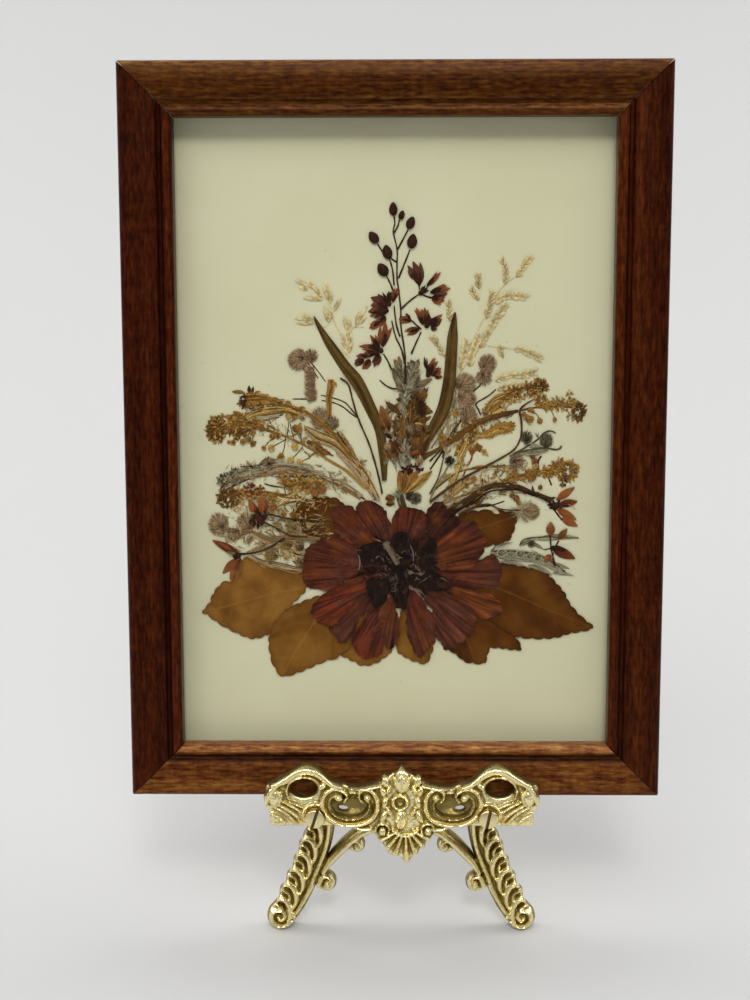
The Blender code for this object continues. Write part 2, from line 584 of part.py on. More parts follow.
def make_right_sprays(press, gold, grey, olive, rust):
    stem = [(4, -11), (12, -3), (22.5, 3), (27.5, 6), (33, 7), (42, 8), (48.6, 7.3)]
    upper = [strip(stem, [1.0, 1.8, 1.7, 1.4, 0.6, 0.5]), oval(49.2, 7.2, 5.8, 3.2, 100, 10),
             strip([(24, -0.2), (28, 2.4), (31.6, 2.4)], [1.4, 2.2, 1.8], 2), strip([(24.4, 0.2), (20, -1), (17, 0)], [0.5, 0.5], 2),
             strip([(21, 1.8), (20.4, -1.6), (24.4, -5.4)], [0.9, 2.6, 1.6], 2),
             oval(38, 13.4, 6.0, 4.2, 15, 10), strip([(22, 3.2), (29, 11), (37, 13)], [0.6, 0.8], 2),
             strip([(34, 7.2), (37.2, 9.8)], [0.8, 0.3], 1), petal((30, 11), (26, 12.6), 1.0)]
    buds = [(46.4, 11, 2.2, 1.6), (43, 9.6, 1.8, 1.6), (39.2, 4.6, 2.4, 1.6), (43.2, 4.6, 2.0, 1.3), (36.2, 5, 3.2, 2.0),
            (40.6, 9.6, 2.4, 2.6)]
    twigs = [((46.4, 11), (46, 7.6)), ((43, 9.6), (42.4, 7.8)), ((39.2, 4.6), (37, 7.2)), ((43.2, 4.6), (41.4, 7.8)),
             ((36.2, 5), (35, 7)), ((40.6, 9.6), (40.4, 7.8))]
    upper += [oval(*bud) for bud in buds]
    upper += [strip(twig, [0.4, 0.4], 1) for twig in twigs]
    press.lay("goldenrod_right", gold, upper)
    low_stem = [(12, -16), (20, -15.4), (29.5, -13), (37, -10.2), (44, -9.4)]
    low = [strip(low_stem, [0.7, 0.7], 2), oval(46.4, -9.6, 7.0, 5.6, 10, 12), strip([(39, -4.6), (38, -7), (37.4, -10.6)], [1.8, 2.0, 1.6], 2),
           oval(37, -11.4, 2.6, 1.8), oval(42, -10.6, 2.6, 2.2), strip([(41.4, -4.8), (40.6, -9.6)], [0.7, 0.5], 1)]
    press.lay("goldenrod_lower_right", gold, low)
    bud_stem = [(33.2, 6), (34, 1), (30.5, -5.5), (24, -8.6), (12, -15)]
    bud = [strip(bud_stem, [0.6, 0.7]), strip([(29.5, -6), (39.5, 0.4), (43.4, 1)], [0.5, 0.6], 2),
           strip([(29.5, -6), (38, -3.2), (44.6, -2.4)], [0.5, 0.6], 2), oval(35.5, -0.6, 3.4, 2.6, 60), oval(40.6, -1.2, 3.4, 2.8, 60),
           oval(33.4, -6.6, 4.2, 3.2, 20), oval(15, -6.6, 3.4, 2.2, 110), strip([(35.4, -1), (33.6, -3.4)], [0.5, 0.5], 1),
           strip([(40.6, -1.2), (39.6, 0.6)], [0.5, 0.5], 1), strip([(33.4, -6.6), (24, -8.4)], [0.6, 0.6], 1),
           strip([(15, -6.8), (14, -13.8)], [0.5, 0.5], 1)]
    fuzzy = [strip([(12, -15), (16, -17.4), (24, -18.2), (30, -19), (36.4, -20.6)], [0.9, 0.6], 2),
             oval(37, -21, 6.4, 4.6, 35, 12)]
    press.lay("grey_heads_right", grey, bud + fuzzy)
    floret_stem = [(11, -20), (23, -14.6), (27.5, -13.6), (32.5, -14.2), (38, -16), (43, -18.4)]
    floret = [strip(floret_stem, [2.0, 1.8, 1.5, 1.2]), oval(43.2, -18.6, 3.2, 3.0), petal((43.4, -18), (48.4, -13.8), 2.6),
              petal((43.6, -18.6), (49.2, -17.8), 2.4), petal((43.6, -19), (49, -21.8), 2.6), petal((43.4, -19.4), (49, -24.4), 2.6)]
    press.lay("red_floret_right", rust, floret)
    spike = [strip([(25.6, -31.6), (30, -31.4), (36, -32), (41, -32.6)], [1.8, 3.4, 3.2, 1.6], 2),
             strip([(30, -31), (37, -27.6), (50.4, -27)], [0.6, 1.6, 0.3], 2), petal((40, -32.8), (48, -36.4), 1.8),
             petal((38, -33), (44, -38), 1.4), strip([(26, -31.6), (20, -33)], [1.4, 1.2], 1)]
    press.lay("silver_spike", grey, spike)
    floret = [oval(42.6, -30.4, 3.4, 2.8), petal((42, -29.6), (42, -22.6), 2.6), petal((43, -30), (46.6, -25), 1.6),
              petal((43, -30.6), (49, -33.2), 2.8), petal((42.4, -31), (41, -35), 2.2), strip([(42.8, -30.6), (43.6, -35.6)], [0.6, 0.5], 1)]
    press.lay("red_floret_lower_right", rust, floret)


def make_centre_heads(press, grey, sienna):
    fan = [petal((2.6, 12), tip, 2.0) for tip in ((-0.6, 16.6), (0.8, 19.6), (2.8, 21.6), (5, 21), (7.4, 19), (9.4, 16.4))]
    head = fan + [oval(3, 14, 5.0, 6.0, 90), strip([(2.6, 13), (2, 7.5), (2.6, -2), (3, -13)], [1.2, 1.4, 1.6, 1.8], 2)]
    press.lay("grey_flower_head", grey, head)
    tubes = [((-4.5, 8.4), (-1, 1.4), 2.4), ((-1.6, 9.2), (1.6, 6), 1.4), ((4.2, 9.4), (4, 3), 2.2), ((7.6, 11.6), (7.8, 2.2), 2.2),
             ((2.4, 6.2), (2.6, -2.6), 2.6), ((-2, -0.8), (-1.8, -4.4), 2.8), ((6, -2.4), (6.2, -6.4), 3.0),
             ((-1, 1.6), (-1.4, -2), 1.2), ((7.8, 3), (6.2, -3), 1.4), ((4, 4), (3, -1), 1.2), ((-1.8, -4), (2, -9.4), 1.4),
             ((6, -6), (4, -10), 1.4), ((2.6, -2), (3, -10), 1.6), ((1.4, 7), (2.6, 4.6), 1.4)]
    calyx = [strip([start, end], [width, width * 0.8], 1) for start, end, width in tubes]
    calyx += [petal((4.2, -17), tip, 3.2, 0.5) for tip in ((0.2, -9.2), (3.4, -8.4), (6.2, -8.6), (8.6, -10))]
    press.lay("calyx_cluster", sienna, calyx)


PETALS = {
    "petal_lower_left_dusky": [(-12.5, -46), (-18, -51.5), (-16.5, -54.5), (-14.5, -56.5), (-12, -55.5), (-9.5, -49.5),
                               (-4.5, -43), (-7.5, -41.5)],
    "petal_left": [(-13.5, -27.5), (-19.5, -28), (-23, -29.5), (-24.5, -32), (-25, -37.5), (-24.6, -40), (-21, -42),
                   (-16.5, -41.5), (-12.5, -39), (-8.5, -36.5), (-4, -34.5), (-6, -29)],
    "petal_upper_left": [(-6, -26), (-8.5, -23.5), (-11, -19.5), (-15, -18.5), (-16.5, -20), (-17, -22), (-16, -25.5),
                         (-14, -27.5), (-11.5, -29), (-8.5, -29.5), (-4, -30.5)],
    "petal_top_left": [(-0.5, -25), (-1.5, -23), (-2.5, -20.5), (-3.5, -19), (-7, -17), (-9.5, -18), (-10.5, -20.5),
                       (-8.5, -23.5), (-4.5, -27.5), (-1, -29.5)],
    "petal_top_right_dark": [(11.5, -17.5), (13.5, -18.5), (16, -21), (17.5, -23.5), (15, -25.5), (9, -29), (6.5, -29.5),
                             (8.5, -25), (8.5, -21.5), (9.5, -19)],
    "petal_top": [(0, -20.5), (2.5, -19), (6, -19.5), (8, -20.5), (9, -23.5), (8, -27), (5.5, -30), (2, -30.5),
                  (0, -27.5), (-1, -23.5)],
    "petal_upper_right": [(14.5, -23.5), (17, -22.5), (21, -23), (23, -25.5), (24.5, -29), (23.5, -32.5), (21, -35.5),
                          (15.5, -36.5), (10, -36), (7.5, -34), (9.5, -29.5), (11.5, -26.5)],
    "petal_right": [(7.5, -35.5), (15.5, -35.5), (21.5, -34.5), (26, -32), (28.5, -34), (29, -37.5), (27.5, -41),
                    (23, -41.5), (17.5, -42), (12, -40.5), (7.5, -39)],
    "petal_lower_right_orange": [(10, -39.5), (14.5, -41), (18.5, -41), (22, -42), (26, -43), (29.5, -46.5), (29, -48),
                                 (26.5, -49), (23, -50), (20, -46.5), (15.5, -44), (10.5, -42)],
    "petal_bottom": [(-4, -43), (-4.5, -48), (-4, -52), (-3, -56), (-2, -58), (-0.5, -58), (1, -55), (1.5, -52),
                     (0.4, -47), (0, -43)],
    "petal_bottom_right": [(2.5, -42), (3, -46.5), (3, -50.5), (3.5, -55), (5.5, -59.5), (7, -60.5), (9.5, -58),
                           (11, -54.5), (10.5, -49.5), (8.5, -46), (6, -42)],
    "petal_lower_right": [(6.5, -42), (9.5, -46.5), (10.5, -50.5), (11, -55), (13, -56.5), (15.5, -58), (18.5, -56.5),
                          (21.5, -52.5), (22, -48.5), (19.5, -45.5), (15.5, -43.5), (10, -40.5)],
    "petal_bottom_left": [(-8.5, -50.5), (-11.5, -54), (-11.5, -57.5), (-10, -60), (-7, -61), (-4.5, -60.5), (-3, -58),
                          (-2.5, -53.5), (-4.5, -48.5), (-4, -43), (-7, -44)],
    "petal_lower_left": [(-4.5, -37), (-9.5, -38), (-15.5, -40.5), (-20, -43.5), (-22.5, -46.5), (-22.5, -49),
                         (-19.5, -51.5), (-16.5, -51.5), (-13.5, -48.5), (-10, -44), (-6, -41.5), (-3, -39)],
}
ORANGE_PETALS = ("petal_upper_right", "petal_lower_right_orange", "petal_lower_left")


def make_flower(press, dark_red, red, heart):
    for name, outline in PETALS.items():
        press.lay(name, red if name in ORANGE_PETALS else dark_red, [smooth_loop(outline)])
    inner = [
        [(-0.5, -26.5), (3, -26), (5, -29.5), (4, -35), (1, -35.5), (-0.5, -31)],
        [(6.5, -27.5), (10.5, -27.5), (11.5, -31), (10, -35.5), (6, -36.5), (5.5, -31.5)],
        [(-7.5, -39), (-3, -38), (-2, -44), (-5.5, -46.5), (-7.5, -42)],
        [(-2, -37), (3.5, -37.5), (4, -41.5), (3, -46.5), (1, -46.5), (-1.5, -42)],
        [(4, -35.5), (10, -36), (15, -40.5), (13, -42), (7.5, -41.5), (3.5, -40)],
        [(-9.5, -30), (-3.5, -28.5), (0, -32.5), (-0.5, -35.5), (-6, -36), (-9.5, -34)],
    ]
    shapes = [smooth_loop(outline) for outline in inner]
    shapes.append(oval(1, -36, 10, 8, sides=12))
    press.lay("flower_heart", heart, shapes)


# ---------------------------------------------------------------- the easel

def bar_outline():
    half = [(0, -114.3), (1.8, -113.0), (3.6, -112.4), (5.4, -111.6), (6.4, -109.8), (7.2, -107.6), (9.4, -106.6),
            (11.0, -105.2), (12.6, -103.8), (35.6, -103.8), (36.0, -101.6), (36.4, -99.8), (37.0, -97.2), (36.4, -94.6),
            (34.4, -92.6), (31.8, -90.4), (29.0, -88.0), (26.4, -87.0), (23.8, -87.6), (20.6, -89.8), (17.0, -91.8),
            (12.8, -92.4), (9.0, -91.4), (6.4, -90.2), (4.4, -88.8), (3.4, -89.8), (2.0, -88.4), (0, -87.4)]
    return half_and_mirror(half)


def ring_sector(x, y, inner, outer, start, end, steps=6):
    """A C-shaped band round x, y, between two angles in degrees."""
    near = []
    far = []
    for k in range(steps + 1):
        a = radians(start + (end - start) * k / steps)
        near.append((x + inner * cos(a), y + inner * sin(a)))
        far.append((x + outer * cos(a), y + outer * sin(a)))
    return far + near[::-1]


def bar_relief():
    """The raised work on the bar: a boss and crown, a C-scroll each side, rims and a fan of ribs below."""
    middle = [oval(0, -97.2, 5.2, 5.2, sides=10), petal((0, -95), (0, -88.4), 4.2, 0.7), petal((0, -99), (0, -105.6), 5.0, 0.6)]
    fan = [strip([(0.6 * x, -106.2), (x, y)], [0.9, 1.2], 1) for x, y in ((-4.6, -110.8), (-2.4, -112.2), (0, -113.4), (2.4, -112.2), (4.6, -110.8))]
    shapes = middle + fan
    for side in (1, -1):
        arcs = [ring_sector(13.6, -98.4, 3.6, 5.0, -200, 70), ring_sector(26.4, -94.6, 4.8, 6.2, -20, 165),
                ring_sector(23.2, -101.2, 2.9, 3.9, 20, 200, 7), oval(33.4, -99.6, 5.6, 2.0, 40), oval(30.6, -101.8, 6.6, 1.8, 20),
                oval(4.4, -92.6, 5.0, 2.2, 70), oval(17.4, -100.6, 3.0, 1.8, 60)]
        for shape in arcs:
            shapes.append(shape if side > 0 else mirrored(shape))
    return shapes


def make_bar(plane, brass):
    bar = node("easel_front_bar", sheet_mesh("easel_front_bar", [bar_outline()], BAR_BACK, BAR_THICK), brass, plane,
               (EASEL_X, 0, 0))
    overlap = 0.4
    relief = sheet_mesh("bar_relief", bar_relief(), BAR_BACK + BAR_THICK - overlap, RELIEF + overlap)
    join(bar, helper("bar_relief", relief, plane, (EASEL_X, 0, 0)))
    holes = [oval(side * 26.4, -94.4, 7.6, 5.4, side * 10, 10) for side in (-1, 1)]
    hole = sheet_mesh("bar_holes", holes, BAR_BACK - 2, BAR_THICK + 6)
    cut(bar, helper("bar_holes", hole, plane, (EASEL_X, 0, 0)))
    return bar


def screw_mesh(name):
    """A slotted cheese-head screw along z, the underside of its head at the origin."""
    head = 1.5
    rings = []
    for radius, z in ((SCREW_SHANK / 2, -9.0), (SCREW_SHANK / 2, 0.0), (SCREW_HEAD / 2, 0.0),
                      (SCREW_HEAD / 2, head * 0.7), (SCREW_HEAD / 2 * 0.86, head)):
        rings.append([(radius * cos(2 * pi * k / SCREW_SIDES), radius * sin(2 * pi * k / SCREW_SIDES), z) for k in range(SCREW_SIDES)])
    return lofted_mesh(name, rings)


def make_screws(plane, brass, bar, legs):
    slot = sheet_mesh("screw_slot", [box_outline(-0.4, -4, 0.4, 4)], 0.7, 4)
    bore = cylinder_mesh("screw_bore", SCREW_HOLE / 2, 20.0)
    for name, side, turn in (("screw_left", -1, -18), ("screw_right", 1, -12)):
        place = (EASEL_X + side * SCREW_X, SCREW_Y, BAR_BACK + BAR_THICK + 0.1)
        screw = node(name, screw_mesh(name), brass, plane, place, (0, 0, radians(turn)))
        cut(screw, helper(f"{name}_slot", slot, plane, place, (0, 0, radians(turn))))
        hole = helper(f"{name}_bore", bore, plane, place)
        cut(bar, hole)
        cut(legs, hole)


def leg_shapes():
    """One front leg with its leaf lobes, foot scroll, curls and half of the arch, on the right."""
    spine = [(21.5, -106), (20.8, -111.4), (20.4, -119), (22.2, -124.6), (25.2, -131.2), (28.8, -137), (33.4, -140.2)]
    shapes = [strip(spine, [4.6, 3.6, 3.4, 3.4, 3.4, 2.8])]
    lobes = [((20.6, -115.6), (27.4, -110.6)), ((21.2, -120.2), (29.2, -116.6)), ((22.6, -125.4), (31, -121.4)),
             ((25.2, -130.4), (33, -125.8)), ((27.8, -135), (35.2, -130.6))]
    shapes += [petal(low, high, 5.0, 0.5) for low, high in lobes]
    shapes += [oval(34.4, -138.4, 7.8, 7.8, sides=10), oval(20.2, -127.6, 4.8, 5.2, sides=10), strip([(20.4, -127), (23.6, -127.6)], [2, 2], 1),
               strip([(20.6, -121), (16, -116.4), (10, -113.6), (0, -112.2)], [3.6, 3.2, 3.0, 3.0], 2),
               petal((12.6, -114), (10.2, -119.6), 4.2, 0.9)]
    upper = [(22.4, -107), (20, -96), (13, -74), (4, -52)]
    shapes.append(strip(upper, [6.4, 5.2, 4.8, 5.0], 2))
    shapes += [oval(18.4, -84, 6, 4, -70), oval(12.6, -67, 5.4, 3.6, -70)]
    return shapes


def make_front_legs(plane, brass):
    shapes = leg_shapes() + [mirrored(shape) for shape in leg_shapes()]
    shapes += [oval(0, -52, 17, 17, sides=12), petal((0, -47), (0, -33.6), 7.0, 0.7), petal((-3, -47), (-8.4, -39), 4.6, 0.7),
               petal((3, -47), (8.4, -39), 4.6, 0.7)]
    place = (EASEL_X, 0, 0)
    legs = node("easel_front_legs", sheet_mesh("easel_front_legs", shapes, LEG_BACK, LEG_THICK), brass, plane, place)
    arms = []
    for side in (-1, 1):
        middle = side * SCREW_X
        arms.append(box_outline(middle - ARM_WIDTH / 2, ARM_TOP - ARM_HEIGHT, middle + ARM_WIDTH / 2, ARM_TOP))
    arm_back = LEG_BACK + 1.0
    arm = sheet_mesh("easel_arms", arms, arm_back, BAR_BACK - 0.35 - arm_back)
    join(legs, helper("easel_arms", arm, plane, place))
    ears = []
    for side in (-1, 1):
        inner = side * (KNUCKLE_WIDTH / 2 + 0.3)
        outer = side * (KNUCKLE_WIDTH / 2 + 3.3)
        ears.append(box_outline(min(inner, outer), HINGE_Y - 4.6, max(inner, outer), HINGE_Y + 4.6))
    ear_back = HINGE_D - 4.6
    ear = sheet_mesh("hinge_ears", ears, ear_back, LEG_BACK + 1.0 - ear_back)
    join(legs, helper("hinge_ears", ear, plane, place))
    pin = cylinder_mesh("hinge_pin", PIN_RADIUS, KNUCKLE_WIDTH + 8.2)
    join(legs, helper("hinge_pin", pin, plane, (EASEL_X, HINGE_Y, HINGE_D), (0, radians(90), 0)))
    return legs


def make_back_leg(plane, brass):
    """The strut behind, hung on the pin, its heel bearing on the plate in front when it is open."""
    hinge = empty("hinge", (EASEL_X, HINGE_Y, HINGE_D), (radians(HINGE_SPREAD), 0, 0), plane)
    drop = (HINGE_Y - FOOT_Y) * cos(radians(LEAN)) + (HINGE_D - LEG_MIDDLE) * sin(radians(LEAN))
    length = drop / cos(radians(HINGE_SPREAD - LEAN)) + 3.0
    shank = [(-2.9, 0), (-2.9, -20), (-1.9, -40), (-1.9, -length + 12), (-3.0, -length + 7), (-3.2, -length), (3.2, -length),
             (3.0, -length + 7), (1.9, -length + 12), (1.9, -40), (2.9, -20), (2.9, 0)]
    leg = node("easel_back_leg", sheet_mesh("easel_back_leg", [shank], -1.9, 3.8), brass, hinge)
    knuckle = cylinder_mesh("knuckle", KNUCKLE_RADIUS, KNUCKLE_WIDTH)
    join(leg, helper("knuckle", knuckle, hinge, turn=(0, radians(90), 0)))
    gap = 0.35
    front = LEG_BACK - gap - HINGE_D
    heel = [[(x, -1.0, front), (x, 5.6, front), (x, 5.6, front - 2.6), (x, 2.4, -3.0), (x, -1.0, -3.0)] for x in (-2.8, 2.8)]
    unturned = empty("heel_place", (EASEL_X, HINGE_Y, HINGE_D), (0, 0, 0), plane)
    join(leg, helper("heel", lofted_mesh("heel", heel), unturned))
    hole = cylinder_mesh("knuckle_bore", PIN_HOLE_RADIUS, KNUCKLE_WIDTH + 4)
    cut(leg, helper("knuckle_bore", hole, hinge, turn=(0, radians(90), 0)))
    return leg


def trim_at_floor(*objects):
    floor_box = sheet_mesh("below_floor", [box_outline(-200, -200, 200, 200)], -60, 60)
    floor_cutter = helper("below_floor", floor_box, None)
    for piece in objects:
        cut(piece, floor_cutter)


# ---------------------------------------------------------------- all together

def main():
    for old in list(bpy.data.objects):
        bpy.data.objects.remove(old, do_unlink=True)
    wood = material("stained_wood", (0.16, 0.055, 0.022), 0.42)
    steel = material("tab_steel", (0.55, 0.56, 0.57), 0.35, 1.0)
    cream = material("cream_board", (0.62, 0.59, 0.38), 0.85)
    brown_board = material("backing_board", (0.28, 0.18, 0.1), 0.85)
    glass = glass_material("glass")
    brass = material("cast_brass", (0.62, 0.47, 0.17), 0.28, 1.0)
    ochre = material("ochre_leaf", (0.22, 0.1, 0.018), 0.6)
    umber = material("umber_leaf", (0.15, 0.055, 0.008), 0.6)
    straw = material("straw", (0.56, 0.44, 0.22), 0.75)
    olive = material("olive_leaf", (0.13, 0.075, 0.018), 0.6)
    burgundy = material("burgundy", (0.07, 0.012, 0.01), 0.55)
    mauve = material("mauve_head", (0.24, 0.16, 0.11), 0.8)
    taupe = material("taupe_head", (0.36, 0.27, 0.15), 0.8)
    gold = material("dried_gold", (0.36, 0.2, 0.04), 0.7)
    grey = material("grey_green", (0.22, 0.19, 0.12), 0.8)
    rust = material("rust_red", (0.26, 0.05, 0.012), 0.6)
    sienna = material("sienna", (0.26, 0.11, 0.03), 0.7)
    dark_red = material("dark_red_petal", (0.085, 0.014, 0.01), 0.5)
    red = material("red_petal", (0.17, 0.025, 0.01), 0.5)
    heart = material("flower_heart", (0.022, 0.008, 0.01), 0.6)

    lean = radians(LEAN)
    back_of_frame_y = MIDDLE_OF_BASE_Y - FOOT_Y * sin(lean) + LEG_MIDDLE * cos(lean)
    back_of_frame_z = -FOOT_Y * cos(lean) - LEG_MIDDLE * sin(lean)
    plane = empty("picture_plane", (0, back_of_frame_y, back_of_frame_z), (pi / 2 - lean, 0, 0))

    make_frame(plane, wood, steel, cream, brown_board, glass)
    press = Press(plane)
    make_leaves(press, ochre, umber)
    make_grasses(press, straw)
    make_puffs(press, mauve, taupe)
    make_left_sprays(press, gold, grey, rust)
    make_right_sprays(press, gold, grey, olive, rust)
    make_burgundy_spray(press, burgundy)
    make_long_leaves(press, olive)
    make_centre_heads(press, grey, sienna)
    make_flower(press, dark_red, red, heart)
    legs = make_front_legs(plane, brass)
    bar = make_bar(plane, brass)
    make_screws(plane, brass, bar, legs)
    back_leg = make_back_leg(plane, brass)
    trim_at_floor(legs, back_leg)


main()
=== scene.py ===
"""The looks of the pressed flower frame: dried plants behind glass, in stained wood, on a brass easel.

What leans with the picture is drawn in plane coordinates, in millimetres: x to the right and y up from the
middle of the picture, and d out towards the viewer from the back of the frame.
"""

import json
from math import atan2, ceil, cos, hypot, pi, radians, sin, sqrt
from random import Random

import bpy
import numpy as np
from mathutils import Matrix, Vector, noise
from mathutils.geometry import delaunay_2d_cdt

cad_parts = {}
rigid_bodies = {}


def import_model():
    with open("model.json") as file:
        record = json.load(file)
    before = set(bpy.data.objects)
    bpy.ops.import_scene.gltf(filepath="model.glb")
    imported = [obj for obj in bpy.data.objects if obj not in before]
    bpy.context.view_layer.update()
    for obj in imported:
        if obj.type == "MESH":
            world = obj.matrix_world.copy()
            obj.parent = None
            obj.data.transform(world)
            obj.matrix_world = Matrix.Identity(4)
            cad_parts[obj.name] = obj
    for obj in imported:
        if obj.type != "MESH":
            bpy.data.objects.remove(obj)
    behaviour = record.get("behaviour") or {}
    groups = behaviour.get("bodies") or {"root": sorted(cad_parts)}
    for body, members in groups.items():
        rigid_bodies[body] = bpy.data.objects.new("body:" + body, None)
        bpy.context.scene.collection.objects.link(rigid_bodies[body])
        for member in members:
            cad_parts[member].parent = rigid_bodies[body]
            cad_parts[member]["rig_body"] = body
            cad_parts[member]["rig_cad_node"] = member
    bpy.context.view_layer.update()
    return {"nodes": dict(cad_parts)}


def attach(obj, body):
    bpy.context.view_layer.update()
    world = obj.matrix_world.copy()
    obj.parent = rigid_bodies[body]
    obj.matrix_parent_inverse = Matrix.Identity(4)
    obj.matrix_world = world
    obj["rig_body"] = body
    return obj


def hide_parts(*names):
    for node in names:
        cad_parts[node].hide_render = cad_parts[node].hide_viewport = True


MM = 0.001

# The frame and what it holds, as in the CAD.
FRAME_WIDTH = 143.2
FRAME_HEIGHT = 194.6
RAIL_WIDTH = 14.3
LIP = 6.8
LIP_BACK = 9.5
MITRE_GAP = 0.15
BOARD_FRONT = 5.1
GLASS_BACK = 7.4

# The easel.
LEAN = radians(12)
EASEL_X = 1.8
FOOT_Y = -141.6
LEG_BACK = -5.1
LEG_THICK = 4.5
LEG_MIDDLE = LEG_BACK + LEG_THICK / 2
BAR_BACK = 17.0
BAR_FRONT = 21.2
SCREW_X = 23.2
SCREW_Y = -101.2
ARM_WIDTH = 6.8
ARM_TOP = -97.65
ARM_HEIGHT = 6.6
HINGE_Y = -52.0
HINGE_D = -9.5
KNUCKLE_WIDTH = 6.4
PIN_RADIUS = 1.5
MIDDLE_OF_BASE_Y = -31.807

BACK_OF_FRAME_Y = MIDDLE_OF_BASE_Y - FOOT_Y * sin(LEAN) + LEG_MIDDLE * cos(LEAN)
BACK_OF_FRAME_Z = -FOOT_Y * cos(LEAN) - LEG_MIDDLE * sin(LEAN)
PLANE_TURN = Matrix.Rotation(pi / 2 - LEAN, 4, "X")
PLANE_PLACE = Matrix.Translation((0, BACK_OF_FRAME_Y * MM, BACK_OF_FRAME_Z * MM))
PLANE = PLANE_PLACE @ PLANE_TURN @ Matrix.Scale(MM, 4)
EASEL = PLANE @ Matrix.Translation((EASEL_X, 0, 0))

# The camera, solved from the frame's corners in the photograph.
FOCAL_PIXELS = 1502.0
PICTURE_HEIGHT = 1000
SENSOR = 36.0
CAMERA_TURN = Matrix.Rotation(radians(-0.73), 3, "Y") @ Matrix.Rotation(radians(7.5), 3, "X")
CAMERA_SHIFT = Vector((5.2, 16.0, -394.7))
AIM_DEPTH = 14.0


# ---------------------------------------------------------------- finishes

class Wire:
    """One socket of a finish, used in sums and products."""

    def __init__(self, finish, socket):
        self.finish = finish
        self.socket = socket

    def math(self, operation, *others):
        return self.finish.node("Math", {"operation": operation}, dict(enumerate((self, *others))))

    def __add__(self, other):
        return self.math("ADD", other)

    __radd__ = __add__

    def __sub__(self, other):
        return self.math("SUBTRACT", other)

    def __mul__(self, other):
        return self.math("MULTIPLY", other)

    def step(self, low, high):
        """0 below low, 1 above high, and smooth between them."""
        return self.finish.node("MapRange", {"interpolation_type": "SMOOTHSTEP"},
                                {"Value": self, "From Min": low, "From Max": high})


class Finish:
    """A material while it is being made."""

    def __init__(self, name):
        self.material = bpy.data.materials.new(name)
        self.material.use_nodes = True
        self.tree = self.material.node_tree
        self.tree.nodes.clear()

    def node(self, kind, settings=None, sockets=None, out=0):
        made = self.tree.nodes.new(f"ShaderNode{kind}")
        for key, value in (settings or {}).items():
            if key == "stops":
                self.set_stops(made.color_ramp, value)
            else:
                setattr(made, key, value)
        for key, value in (sockets or {}).items():
            socket = made.inputs[key]
            if isinstance(value, Wire):
                self.tree.links.new(value.socket, socket)
            elif isinstance(value, tuple) and len(value) == 3 and socket.type == "RGBA":
                socket.default_value = (*value, 1.0)
            else:
                socket.default_value = value
        return Wire(self, made.outputs[out])

    def set_stops(self, ramp, stops):
        while len(ramp.elements) < len(stops):
            ramp.elements.new(0.5)
        for element, (place, color) in zip(ramp.elements, stops):
            element.position = place
            element.color = (*color, 1.0)

    def place(self):
        return self.node("TexCoord", out="Object")

    def attribute(self, name, out="Vector"):
        return self.node("Attribute", {"attribute_name": name}, out=out)

    def stretched(self, vector, scale):
        return self.node("VectorMath", {"operation": "MULTIPLY"}, {0: vector, 1: scale})

    def noise(self, vector, scale=1.0, detail=3.0, rough=0.55, distort=0.0):
        return self.node("TexNoise", None,
                         {"Vector": vector, "Scale": scale, "Detail": detail, "Roughness": rough,
                          "Distortion": distort})

    def cells(self, vector, scale):
        return self.node("TexVoronoi", None, {"Vector": vector, "Scale": scale}, "Distance")

    def ramp(self, factor, *stops):
        return self.node("ValToRGB", {"stops": stops}, {"Fac": factor})

    def mix(self, factor, first, second, blend="MIX"):
        made = self.tree.nodes.new("ShaderNodeMix")
        made.data_type = "RGBA"
        made.blend_type = blend
        for index, value in ((0, factor), (6, first), (7, second)):
            if isinstance(value, Wire):
                self.tree.links.new(value.socket, made.inputs[index])
            elif index:
                made.inputs[index].default_value = (*value, 1.0)
            else:
                made.inputs[index].default_value = value
        return Wire(self, made.outputs[2])

    def bump(self, height, strength, distance):
        return self.node("Bump", None, {"Height": height, "Strength": strength, "Distance": distance})

    def surface(self, shader):
        output = self.tree.nodes.new("ShaderNodeOutputMaterial")
        self.tree.links.new(shader.socket, output.inputs["Surface"])
        return self.material

    def done(self, **sockets):
        """Ends in a Principled shader. base_color stands for its Base Color socket."""
        named = {socket_name(key): value for key, value in sockets.items()}
        return self.surface(self.node("BsdfPrincipled", None, named))


def socket_name(key):
    return key.replace("_", " ").title().replace("Ior", "IOR")


def stained_wood():
    """Reddish brown stain that has gone unevenly into long fibres, under a thin satin varnish."""
    wood = Finish("stained_wood")
    grain = wood.attribute("grain")
    band = wood.noise(wood.stretched(grain, (0.006, 0.22, 1.0)), 1.0, 4.0, 0.6, 0.4)
    fibre = wood.noise(wood.stretched(grain, (0.07, 1.7, 1.0)), 1.0, 5.0, 0.65)
    fleck = wood.noise(wood.stretched(grain, (0.28, 1.1, 1.0)), 1.0, 4.0, 0.65)
    ripple = wood.noise(wood.stretched(grain, (0.75, 0.1, 1.0)), 1.0, 2.0, 0.5)
    pore = wood.noise(wood.stretched(grain, (0.25, 5.0, 1.0)), 1.0, 2.0, 0.5)
    stain = band * 0.26 + fibre * 0.22 + fleck * 0.5 + ripple * 0.08
    color = wood.ramp(stain, (0.42, (0.016, 0.0024, 0.0009)), (0.50, (0.038, 0.0080, 0.0020)),
                      (0.58, (0.070, 0.0190, 0.0042)), (0.67, (0.112, 0.038, 0.009)))
    pits = pore.step(0.62, 0.72)
    color = wood.mix(pits * 0.5, color, (0.02, 0.006, 0.003))
    # The shade attribute is each rail's own multiplier, with bands of painted highlight on edges and beads
    # and of painted shade in the grooves.
    color = wood.mix(1.0, color, wood.attribute("shade", "Color"), "MULTIPLY")
    normal = wood.bump(fibre + ripple * 0.5 - pits * 0.5, 0.25, 0.0001)
    return wood.done(base_color=color, roughness=0.27 + fibre * 0.14, normal=normal,
                     specular_ior_level=0.12, specular_tint=(1.0, 0.64, 0.44))


